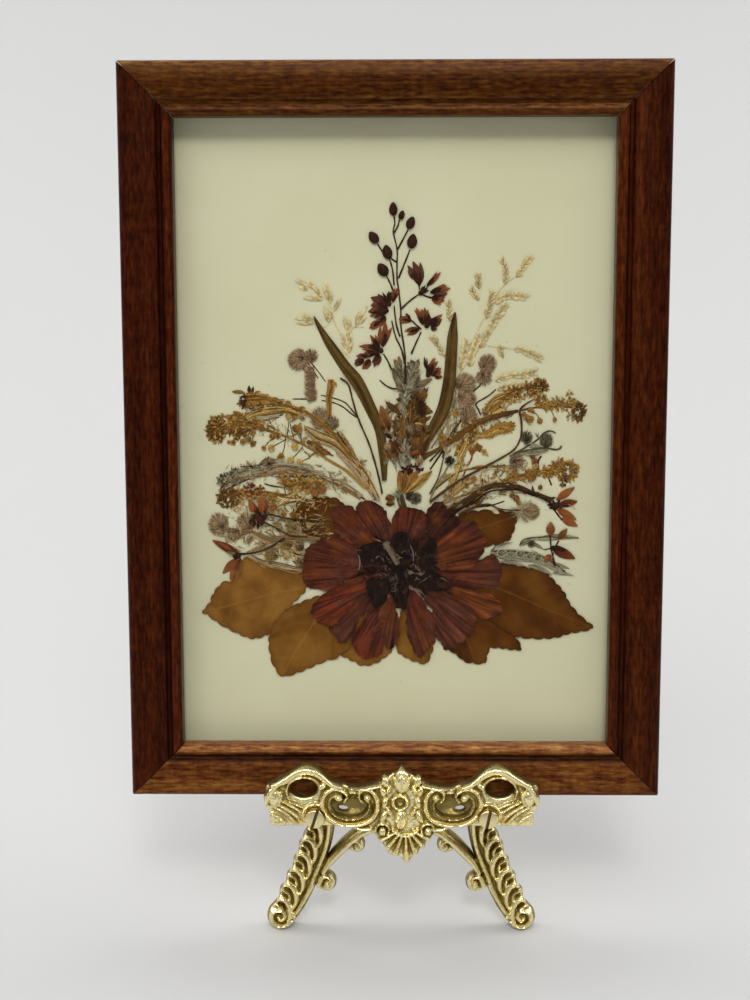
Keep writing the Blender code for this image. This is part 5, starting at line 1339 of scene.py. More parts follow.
def make_left_gold(gold, grey):
    trumpet = Spray("trumpet_spray_dried", 12)
    trumpet.bundle([(-39.8, 9.8), (-36.6, 10), (-33.2, 9.6), (-30, 8.8), (-26.4, 7.4), (-22.6, 5.8),
                    (-17.5, 1.5), (-9, -9)], [3.4, 2.8, 1.7, 0.8, 0.6, 0.5, 0.6, 0.6],
                   [GOLD_DARK, SIENNA, GOLD, BROWN, GOLD], 11, 0.42)
    trumpet.petal((-40.2, 11.8), (-43.6, 12), 1.0, GOLD, GOLD_DARK)
    trumpet.petal((-39, 11.6), (-39, 13.6), 0.9, BROWN, BROWN_DARK)
    trumpet.petal((-38.4, 11.2), (-37.8, 13.4), 0.7, GOLD_DARK, BROWN_DARK)
    trumpet.cluster(-39.4, 9.6, 3.4, 4.2, 80, BROWN, GOLD, BROWN_DARK, 60, 0.9)
    trumpet.cluster(-37, 8, 3.0, 1.8, 0, GOLD_DARK, GOLD, BROWN_DARK, 26, 0.8)
    trumpet.bundle([(-17, 15.2), (-17, 13), (-17.6, 10.4), (-17.6, 7.8), (-17.4, 5.4)],
                   [1.2, 1.6, 1.2, 0.9, 0.7], [GOLD, GOLD_DARK, STEM_TAN], 5, 0.4)
    trumpet.bundle([(-24, 2.2), (-20.8, 0), (-15.8, -2.2), (-11.4, -6.6), (-8.2, -11.2), (-4.8, -17)],
                   [1.0, 2.8, 2.6, 2.0, 2.2, 1.6],
                   [GOLD, GOLD_PALE, GOLD_DARK, STEM_TAN, TAUPE, STRAW_DARK], 13, 0.42)
    trumpet.bundle([(-15.6, -4), (-12.6, -6.2), (-9.8, -9), (-5.8, -15.2)], [0.6, 2.0, 2.2, 1.2],
                   [MAUVE, STEM_TAN, GOLD_DARK, STRAW_DARK], 8, 0.42)
    trumpet.done(gold, "dried_gold", "trumpet_spray")

    rod = Spray("goldenrod_left_dried", 13)
    rod.stem([(-48.2, 1.4), (-41.6, 3.4), (-36.6, 2.4), (-33.4, 1.4), (-29, -0.2), (-24.4, -2.4),
              (-21.2, -4.2), (-17.6, -6.6), (-12.6, -9.6), (-8.2, -13.4), (-7, -13)],
             [1.2, 1.0, 0.6, 0.6, 0.7, 0.8, 0.9], GOLD_DARK, tip_tint=GOLD)
    rod.cluster(-48, 1.6, 5.6, 4.2, 80, GOLD_DARK, GOLD_PALE, BROWN, 140, 0.95)
    rod.plume([(-48.6, 2.2), (-45.4, 3), (-42, 4.2), (-38.6, 4), (-35, 3)], [5.4, 4.6, 3.4, 2.6, 1.6],
              GOLD, GOLD_PALE, BROWN, 230, 0.95)
    rod.plume([(-43.6, 0.2), (-41.6, 1.4), (-39, 0.6)], [2.4, 2.2, 1.6], GOLD_DARK, GOLD, BROWN, 50, 0.95)
    rod.fray([(-42, 4), (-36, 3), (-30, 1), (-24, -2), (-18, -6)], 4.5,
             [GOLD, GOLD_DARK, STRAW_DARK, STEM_TAN], 130, 1.6, 0.7)
    rod.fray([(-40, 7), (-34, 8), (-27, 6.4), (-23, 4)], 2.6, [GOLD, GOLD_DARK, SIENNA, STRAW_DARK], 90,
             1.6, 0.5)
    rod.cluster(-47.4, 4.8, 1.8, 1.0, 30, GREY_DARK, SILVER, BROWN_DARK, 12, 0.7)
    for place, size in (((-42.6, 6), 1.6), ((-42, 4), 1.7), ((-44.2, 4.8), 1.4), ((-42.6, 0.2), 1.5),
                        ((-43.4, -1.6), 1.5), ((-44.6, -1.6), 1.1), ((-40.8, -1.4), 1.7),
                        ((-39.4, -0.6), 1.9), ((-38.2, 1.2), 1.9), ((-38.2, -2), 1.8),
                        ((-35.8, 2.2), 1.8), ((-33, 0), 1.7), ((-31.4, 0), 1.7), ((-35.2, -3.2), 1.4),
                        ((-33.2, -3), 2.0), ((-30.6, -5.4), 1.9), ((-28, -6.4), 1.9),
                        ((-26.8, -2.8), 2.1), ((-25.8, 2), 2.3), ((-28.6, 5.4), 1.7), ((-27, 5.2), 1.6),
                        ((-25.6, -7), 1.9), ((-41.6, 6), 1.0), ((-46.8, -1.4), 1.0), ((-26.6, 2.2), 2.1)):
        light, dark = rod.random.choice(
            [(GOLD, GOLD_DARK), (ORANGE, GOLD_DARK), (GOLD_PALE, GOLD), (GOLD, BROWN)])
        if rod.random.random() < 0.45:
            rod.floret(*place, size * 1.1, light, dark)
        else:
            rod.knob(*place, size, light, dark)
    for twig in ([(-42.6, 0.2), (-43.4, 1.6), (-41.6, 3.2)], [(-43.4, -1.6), (-42.6, 0)],
                 [(-40.8, -1.4), (-39, 1), (-37.6, 2.2)], [(-38.2, -2), (-38, 1), (-37, 2.2)],
                 [(-35.2, -3.2), (-33.8, -1.4), (-32.2, -0.6)], [(-33.2, -3), (-31, -1.8), (-29.2, -0.8)],
                 [(-30.6, -5.4), (-29.8, -3.4), (-29.4, -0.4)], [(-28, -6.4), (-26, -4.4), (-24.8, -2.8)],
                 [(-25.8, 2), (-25.2, 0), (-25.2, -1.8)], [(-28.6, 4), (-28.6, 2.2), (-29, 0)],
                 [(-28.2, 4), (-27.8, 1.8), (-27.2, -0.4)], [(-33.6, 4.2), (-32.8, 2.4), (-31.4, 1.2)],
                 [(-25.6, -7), (-23, -5.8), (-21.6, -4.4)], [(-40.8, 5.2), (-38.8, 3.6), (-37, 2.8)]):
        rod.stem(twig, [0.22, 0.25], STEM_DARK)
    rod.bundle([(-39.8, 4.8), (-36.6, 6.2), (-32.2, 7), (-28.8, 7.2), (-25.6, 6.2)],
               [0.8, 1.6, 1.5, 0.8, 0.5], [GOLD, GOLD_DARK, GOLD_PALE], 6, 0.42)
    rod.bundle([(-39.8, 4.2), (-36.6, 4.8), (-34.4, 4.8), (-31, 5.4)], [1.0, 1.2, 0.8, 0.4],
               [GOLD_DARK, BROWN, SILVER], 5, 0.38)
    rod.cluster(-38.6, 5.2, 2.2, 1.6, 20, GOLD_DARK, SILVER, BROWN_DARK, 18, 0.8)
    rod.bundle([(-23.6, -1.4), (-21.2, -2.4), (-19.4, -4), (-17.6, -4.6)], [0.6, 1.3, 1.3, 0.5],
               [ORANGE, GOLD_DARK, GOLD], 5, 0.42)
    rod.done(gold, "dried_gold", "goldenrod_left")

    spray = Spray("grey_spray_left_dried", 14)
    spray.bundle([(-46.6, -11.8), (-41.4, -11), (-35.4, -9.6), (-31.2, -8.8), (-25.6, -9), (-21.2, -10.2),
                  (-17.6, -11.8), (-14.5, -13), (-9, -16.5)],
                 [1.2, 1.6, 2.2, 2.6, 2.2, 1.2, 1.0, 1.6, 1.2],
                 [GREY, MAUVE, TAUPE_DARK, STEM_TAN, TAUPE, SILVER], 11, 0.4)
    spray.cluster(-46, -11.6, 2.4, 2.0, 0, GREY_DARK, SILVER, BROWN_DARK, 30, 0.8)
    spray.cluster(-43, -10.2, 2.6, 2.0, 20, GREY_DARK, GREY, BROWN_DARK, 30, 0.8)
    spray.puff(-33.8, -7.4, 2.1, MAUVE, GREY_DARK, None, 22)
    spray.fray([(-46, -11.8), (-38, -9.6), (-30, -9), (-22, -10.4), (-13, -14)], 4.6,
               [GREY, TAUPE, MAUVE, SILVER, TAUPE_DARK], 260, 2.2, 0.5)
    spray.plume([(-47, -12.6), (-43.4, -11), (-39, -9.6), (-35, -8.6)], [2.0, 2.6, 2.4, 1.8], GREY,
                SILVER, GREY_DARK, 120, 0.9)
    spray.hairs((-42.4, -10.2), 2.2, 120, 120, 22, GREY, SILVER)
    spray.hairs((-45.8, -11.8), 2.0, 170, 160, 22, GREY_DARK, SILVER)
    spray.bundle([(-34.2, -9.8), (-31, -9.2), (-27.2, -9.2), (-24.4, -9.8)], [0.8, 2.2, 2.4, 1.0],
                 [MAUVE, TAUPE, TAUPE_DARK], 8, 0.42)
    for line in ([(-41.6, -8.2), (-39, -8.2), (-36.8, -7.8), (-35.4, -7.4)],
                 [(-40.6, -9.2), (-38.6, -8), (-35.4, -9.8)], [(-36.4, -7.4), (-35, -6.2), (-33.8, -6)],
                 [(-47.2, -15.2), (-46.8, -13.8), (-45.2, -12.4)],
                 [(-45.8, -14.6), (-43.2, -13.2), (-39, -11.4), (-35.4, -10.6)],
                 [(-35.2, -12.8), (-33.2, -13.4), (-30.2, -13.8)],
                 [(-32.4, -11), (-26.8, -10.8), (-21.2, -11.2)],
                 [(-28.2, -10.6), (-22.6, -10.6), (-17, -11.8), (-11.2, -14.6), (-8.2, -17)],
                 [(-24.2, -9.6), (-20.4, -11), (-15.8, -12.8), (-10.4, -16.4)]):
        spray.stem(line, [0.3, 0.4, 0.3], spray.random.choice([STEM_DARK, BROWN_DARK, TAUPE_DARK]), 0.7,
                   0.15)
    spray.done(grey, "grey_green", "grey_spray_left")

    low = Spray("goldenrod_lower_left_dried", 15)
    low.stem([(-44.8, -16.2), (-40, -15.2), (-35.6, -15.2), (-31.4, -16), (-25.8, -17), (-24, -17),
              (-15, -19)], [1.0, 0.7, 0.5, 0.4, 0.5], GOLD_DARK)
    low.cluster(-45, -16.8, 6.0, 5.0, 10, GOLD_DARK, GOLD_PALE, BROWN, 130, 0.9)
    low.cluster(-43.8, -15.4, 4.0, 1.8, 20, GOLD, GOLD_PALE, BROWN, 40, 0.8)
    low.cluster(-38.4, -14.4, 5.0, 2.6, 10, RUST, ORANGE, RUST_DARK, 60, 0.95)
    low.plume([(-30.4, -11.6), (-26.6, -12.6), (-22.4, -13.6), (-18.6, -14)], [2.2, 3.0, 3.2, 2.2], GOLD,
              GOLD_PALE, GOLD_DARK, 120, 1.0)
    low.plume([(-41, -16), (-36, -16.4), (-31, -16.6)], [2.0, 1.4, 1.2], GOLD, STRAW_DARK, GOLD_DARK, 60,
              0.9)
    low.fray([(-44, -17), (-37, -19), (-30, -19), (-24, -17), (-18, -15)], 8.0,
             [STRAW_DARK, STEM_TAN, GOLD, TAUPE, CREAM], 210, 1.8, 0.9)
    for place, size in (((-36.8, -14.8), 2.2), ((-33.6, -16), 1.7), ((-32, -16), 1.3),
                        ((-33, -19.4), 2.0), ((-30, -21), 1.6), ((-28.4, -13.6), 2.0),
                        ((-25.2, -13.6), 2.3), ((-21.6, -15.2), 2.4), ((-19.6, -14.2), 2.7),
                        ((-27.6, -21.2), 1.7), ((-26.8, -16.2), 1.6), ((-29.6, -12.2), 1.4),
                        ((-32.4, -18.6), 1.2), ((-26, -21.4), 1.4), ((-38, -16.2), 1.8),
                        ((-23.4, -13.2), 1.6), ((-21, -12.6), 1.6)):
        light, dark = low.random.choice(
            [(GOLD, GOLD_DARK), (ORANGE, SIENNA), (GOLD_PALE, ORANGE), (ORANGE, GOLD_DARK)])
        if low.random.random() < 0.4:
            low.floret(*place, size * 1.1, light, dark)
        else:
            low.knob(*place, size, light, dark)
    for k in range(7):
        a = (-31.8, -19.2)
        low.stem([(a[0], a[1] + 0.2 * k), (a[0] + 2.2, a[1] + 1.2 + 0.3 * k),
                  (a[0] + 5.4, a[1] + 2 + 0.5 * k)], [0.25, 0.3],
                 low.random.choice([STRAW, CREAM, STEM_TAN]), 0.7, 0.1)
    low.bundle([(-35.4, -15.2), (-32.4, -15.8), (-28.8, -16.6), (-25.2, -16.8)], [0.6, 0.9, 1.2, 0.8],
               [ORANGE, GOLD_DARK, STRAW], 4)
    for line in ([(-30.2, -12.4), (-29.6, -15.2), (-30, -18.6)],
                 [(-29.2, -12.4), (-27.8, -14.4), (-28, -15.8)],
                 [(-24.6, -14.8), (-21.2, -14), (-19, -14.4)],
                 [(-33, -19.4), (-30.2, -18.4), (-26.6, -17.6)]):
        low.stem(line, [0.25, 0.3], STEM_DARK)
    low.done(gold, "dried_gold", "goldenrod_lower_left")


def make_left_florets(rusty):
    spray = Spray("red_florets_left_dried", 17)
    spray.petal((-37.2, -21.2), (-39.4, -17.2), 1.9, RUST_DARK, RUST, 0.6)
    spray.petal((-38.4, -20.8), (-38.8, -17.6), 1.3, RUST, ORANGE, 0.5, 0.3)
    spray.petal((-36, -20.8), (-35.8, -15.4), 1.7, RUST, ORANGE, 0.6, 0.2)
    spray.petal((-35.2, -20.8), (-34.4, -17.2), 1.3, RUST_DARK, RUST, 0.5, 0.1)
    spray.petal((-36, -20.8), (-36.4, -19.2), 0.6, CREAM, CREAM, 0.5, 0.5)
    spray.cluster(-36.8, -22.2, 3.4, 2.2, 40, BURGUNDY, RUST_DARK, BROWN_DARK, 24, 1.2)
    spray.bud(-36.4, -22.6, 3.0, 1.8, 130, BURGUNDY, RUST_DARK)
    spray.petal((-37, -23.6), (-37, -25.2), 0.8, BURGUNDY, BROWN_DARK)
    spray.stem([(-35.2, -21), (-32.4, -21.4), (-28.6, -22.2), (-23.6, -22.6), (-20.2, -23)],
               [0.45, 0.5, 0.5], STEM_DARK, 0.8, 0.1)
    spray.stem([(-35.4, -23), (-32.6, -24.6), (-28.8, -26.6), (-27.2, -27), (-23.6, -27.2)],
               [0.4, 0.5, 0.5], STEM_DARK, 0.8, 0.1)
    spray.petal((-42, -32.2), (-49.4, -28.2), 2.0, BURGUNDY, RUST, 0.6)
    spray.petal((-44.2, -31), (-47.8, -28.8), 1.0, RUST, ORANGE, 0.5, 0.3)
    spray.petal((-42.4, -31.8), (-46, -29.4), 1.0, RUST_DARK, BURGUNDY, 0.5, 0.25)
    spray.petal((-42.8, -33.4), (-46.8, -37.4), 2.0, RUST, ORANGE, 0.6)
    spray.petal((-42.4, -33.6), (-44.8, -39.2), 1.9, RUST, ORANGE, 0.6, 0.15)
    spray.petal((-42.2, -33.6), (-43, -38.8), 1.5, RUST_DARK, ORANGE, 0.6, 0.1)
    spray.petal((-42, -33), (-41.6, -37.2), 1.2, BROWN, SIENNA, 0.5)
    spray.bud(-42.8, -32.4, 2.6, 1.8, 20, BURGUNDY, BROWN_DARK)
    spray.stem([(-42, -32), (-39.4, -31.8), (-37, -31.4), (-33.4, -29.8), (-29.8, -27.6)],
               [0.6, 0.4, 0.4], BURGUNDY, 0.8)
    spray.hairs((-43.4, -31.8), 2.6, 190, 60, 12, CREAM, SILVER, 0.12, 0.4)
    spray.done(rusty, "rust_red", "red_florets_left")


def make_right_gold(gold):
    rod = Spray("goldenrod_right_dried", 21)
    rod.stem([(8, -5.2), (13.2, -2.6), (17.4, 0.2), (21.6, 3), (25, 4.6), (29.2, 6), (28.8, 5.8),
              (33, 6.8)], [0.7, 1.0, 1.5, 1.6, 1.4, 1.5, 1.5, 0.8], GOLD_DARK, 0.5, tip_tint=BROWN)
    rod.bundle([(13.2, -2.4), (17.4, 0.2), (21.6, 3.2), (25.8, 5)], [0.6, 1.4, 1.6, 1.0],
               [GOLD, GOLD_DARK, SIENNA], 5, 0.4)
    rod.stem([(7.6, -6.2), (9.8, -4.6), (13.2, -2.6)], [1.0, 0.9], OLIVE_BROWN)
    rod.stem([(33.2, 6.8), (37.2, 7.6), (41, 7.8), (44.8, 8), (48, 7.6)], [0.5, 0.5, 0.5, 0.6], GOLD_DARK)
    rod.cluster(49.2, 6.6, 4.6, 2.8, 82, GOLD_DARK, GOLD_PALE, BROWN, 90, 0.85)
    rod.cluster(47, 9, 2.6, 1.6, 40, GOLD, GOLD_PALE, GOLD_DARK, 26, 0.8)
    rod.cluster(46.6, 11.2, 1.6, 1.0, 110, GOLD_PALE, STRAW, GOLD_DARK, 12, 0.7)
    rod.cluster(47, 5, 1.6, 1.2, 0, STRAW_DARK, STRAW, GOLD_DARK, 12, 0.7)
    rod.cluster(42.6, 7.8, 2.2, 1.0, 0, GOLD, GOLD_PALE, GOLD_DARK, 14, 0.7)
    rod.cluster(43, 9.8, 1.4, 1.2, 60, MAUVE, STRAW, GREY_DARK, 10, 0.7)
    rod.cluster(38, 13.2, 5.0, 3.4, 12, GOLD_DARK, GOLD, BROWN_DARK, 100, 0.85)
    rod.cluster(39, 9.6, 3.0, 2.6, 80, GOLD, GOLD_PALE, GOLD_DARK, 60, 0.85)
    rod.stem([(38.4, 11.6), (38.8, 9.8), (38.4, 7.8)], [0.5, 0.5], GOLD)
    rod.stem([(30.6, 12.2), (33.4, 12.8), (37.2, 13.2)], [0.8, 0.7], GOLD_DARK)
    rod.bundle([(24.2, 6.4), (25.2, 8.4), (27.4, 10.2), (30.2, 11.2), (32.8, 12.2)],
               [0.5, 1.0, 1.6, 1.6, 1.2], [GOLD, SIENNA, GOLD_DARK, STRAW_DARK], 8, 0.4)
    rod.cluster(32.2, 11.6, 2.8, 2.4, 60, GOLD_DARK, STRAW, BROWN, 36, 0.85)
    rod.plume([(39, 13), (34.6, 12), (30, 10.4), (26, 8), (24, 5.6)], [3.4, 3.0, 3.0, 2.4, 1.6], GOLD,
              STRAW, GOLD_DARK, 200, 0.95)
    rod.plume([(47.6, 8), (43, 8.6), (39, 8)], [3.0, 2.2, 1.6], GOLD, STRAW, GOLD_DARK, 70, 0.85)
    rod.plume([(31.6, 2.6), (27.6, 1.8), (23.6, 0.4)], [2.0, 2.2, 1.6], GOLD, GOLD_PALE, GOLD_DARK, 80,
              0.85)
    rod.fray([(22, 4), (20, 0), (18.6, -4), (17, -8), (14.6, -14)], 3.4,
             [GOLD, GOLD_PALE, GOLD_DARK, STRAW_DARK], 150, 1.7, 0.6)
    rod.fray([(14, -2), (18, 1), (23, 4), (30, 7)], 4.0, [GOLD, GOLD_DARK, STEM_TAN, SILVER], 110, 1.7, 0.7)
    rod.bundle([(29.4, 7.6), (30.4, 9.2), (32, 10.2)], [0.6, 1.2, 0.8], [STRAW, STRAW_DARK, GOLD], 5, 0.3)
    rod.bundle([(26, 6.4), (27.4, 7), (28.6, 7.6)], [0.8, 1.6, 1.2], [GOLD, GOLD_PALE, GOLD_DARK], 5, 0.5)
    rod.bundle([(21.8, -0.2), (24.8, 0.6), (27.6, 2), (29.6, 2.6), (31.6, 2.4)],
               [0.6, 1.5, 1.8, 2.2, 1.2], [GOLD, GOLD_PALE, GOLD], 8, 0.5)
    rod.cluster(29.6, 2.6, 4.6, 1.8, 3, GOLD, GOLD_PALE, GOLD_DARK, 34, 0.8)
    for place, size in (((38.8, 4.2), 1.7), ((36.2, 4.6), 2.3), ((35.2, 5.2), 1.8), ((34.6, 5.8), 1.5),
                        ((42.8, 4.4), 1.3), ((36.2, 7.2), 1.5), ((37, 6.6), 1.0)):
        rod.knob(*place, size, GOLD, GOLD_DARK)
    for twig in ([(38.8, 4.6), (38, 5.8), (36.8, 6.8)], [(42.8, 4.6), (42.4, 5.8), (41.8, 7)],
                 [(48.2, 5), (46.2, 6.6), (44.4, 7.2)], [(34.6, 5.8), (34.6, 6.6)],
                 [(46.6, 11.2), (46.4, 9.6), (46.2, 8.4)]):
        rod.stem(twig, [0.25, 0.3], STEM_TAN)
    rod.bundle([(21.4, 1.8), (20.8, 0), (20.4, -2.2)], [0.9, 1.4, 0.9], [ORANGE, GOLD_DARK, RUST], 5, 0.4)
    for place, size in (((17.4, -3.4), 2.2), ((18.4, -2.2), 1.9), ((22.2, -3), 2.2), ((20.8, -4), 1.8),
                        ((17.8, -5.2), 2.0), ((16.8, -4.6), 1.6), ((24, -4.2), 1.5), ((12.6, -0.4), 1.9),
                        ((16.6, 6.2), 1.6), ((12.6, -1.8), 1.4)):
        rod.floret(*place, size * 1.1, rod.random.choice([GOLD, GOLD_PALE, ORANGE]), GOLD_DARK)
    rod.bundle([(19.4, -1.8), (18.4, -4), (17.4, -6.2), (17.4, -7.8), (14.8, -15)],
               [1.2, 1.6, 1.0, 0.8, 0.5], [GOLD, GOLD_DARK, GOLD_PALE, STEM_TAN], 7, 0.36)
    rod.petal((23.2, -3.4), (25.2, -5.4), 1.0, GOLD, GOLD_PALE)
    rod.stem([(20.8, -3.8), (20.6, -6.2), (19, -9.2), (18, -13.2)], [0.5, 0.4], RUST)
    for line in ([(9.4, -6.8), (11.8, -4.2), (14.4, -1.6)], [(9.4, -15.6), (11.8, -11), (13.6, -3.4)],
                 [(10, -15.6), (12.4, -12.4), (15, -10)],
                 [(10, -15), (16.8, -9.8), (22.6, -8.6), (29.8, -7.8)]):
        rod.stem(line, [0.5, 0.4, 0.3], rod.random.choice([OLIVE_BROWN, STEM_TAN, STEM_DARK]), 0.7, 0.1)
    rod.done(gold, "dried_gold", "goldenrod_right")

    low = Spray("goldenrod_lower_right_dried", 22)
    low.stem([(12.4, -18), (19.8, -15.6), (28.4, -12.8), (34.2, -10.6), (38.6, -9.6), (43, -8.8),
              (46.2, -9.2)], [0.6, 0.5, 0.5, 0.6, 0.8], GOLD, tip_tint=GOLD_DARK)
    low.stem([(13, -18.6), (22.6, -13.8), (29.8, -12.2), (35.8, -11)], [0.5, 0.4, 0.4], STRAW_DARK)
    low.cluster(46.4, -9.4, 5.8, 5.0, 10, GOLD, GOLD_PALE, GOLD_DARK, 130, 0.85)
    low.cluster(43.8, -8, 4.2, 2.6, 40, ORANGE, GOLD_PALE, SIENNA, 50, 0.85)
    low.plume([(44, -9), (39.6, -9.6), (35, -10.6), (29, -12.6)], [2.6, 2.2, 1.6, 1.0], GOLD, GOLD_PALE,
              GOLD_DARK, 130, 0.9)
    low.fray([(14, -17), (21, -13), (29, -10), (38, -8)], 5.0, [GOLD, STRAW_DARK, GOLD_DARK, STEM_TAN],
             130, 1.8, 0.8)
    low.cluster(41.6, -9.8, 3.0, 2.0, 0, GOLD, ORANGE, GOLD_DARK, 30, 0.8)
    low.cluster(45.4, -12.2, 2.4, 1.6, 70, GOLD_DARK, GOLD_PALE, BROWN_DARK, 22, 0.8)
    for place, size in (((37, -5.4), 1.6), ((37.6, -6.8), 1.9), ((37.8, -8), 1.9), ((36.8, -11), 2.4),
                        ((35.6, -9.8), 1.4), ((39.2, -13.8), 1.4), ((32.8, -16.8), 1.9),
                        ((31.6, -16), 1.6), ((33.4, -18), 1.4), ((30.4, -9.4), 1.7), ((32.2, -9.2), 1.6),
                        ((19.2, -13.2), 1.4), ((21.2, -11.8), 1.5)):
        low.knob(*place, size, low.random.choice([GOLD, GOLD_PALE, ORANGE]), GOLD_DARK)
    low.stem([(39.4, -5.4), (38.6, -6.6), (38.6, -8.4)], [0.5, 0.5], BROWN)
    low.stem([(42.2, -13.2), (41.6, -11.8), (41.2, -10.6)], [0.5, 0.3], BROWN)
    low.stem([(23.2, -13.8), (23.2, -11.2), (23.4, -9.8)], [0.3, 0.3], GOLD)
    low.stem([(25.2, -13.2), (25.2, -10.4)], [0.25, 0.25], STEM_TAN)
    low.bundle([(13.8, -17.4), (18.2, -13.6), (22, -11.2)], [0.5, 1.0, 1.0],
               [GOLD, GOLD_DARK, STRAW_DARK], 4, 0.34)
    low.bundle([(20.6, -18.6), (22.6, -17.4), (24.4, -15.6)], [0.8, 1.8, 1.0],
               [GOLD_DARK, OLIVE_BROWN, GOLD], 6, 0.4)
    low.done(gold, "dried_gold", "goldenrod_lower_right")


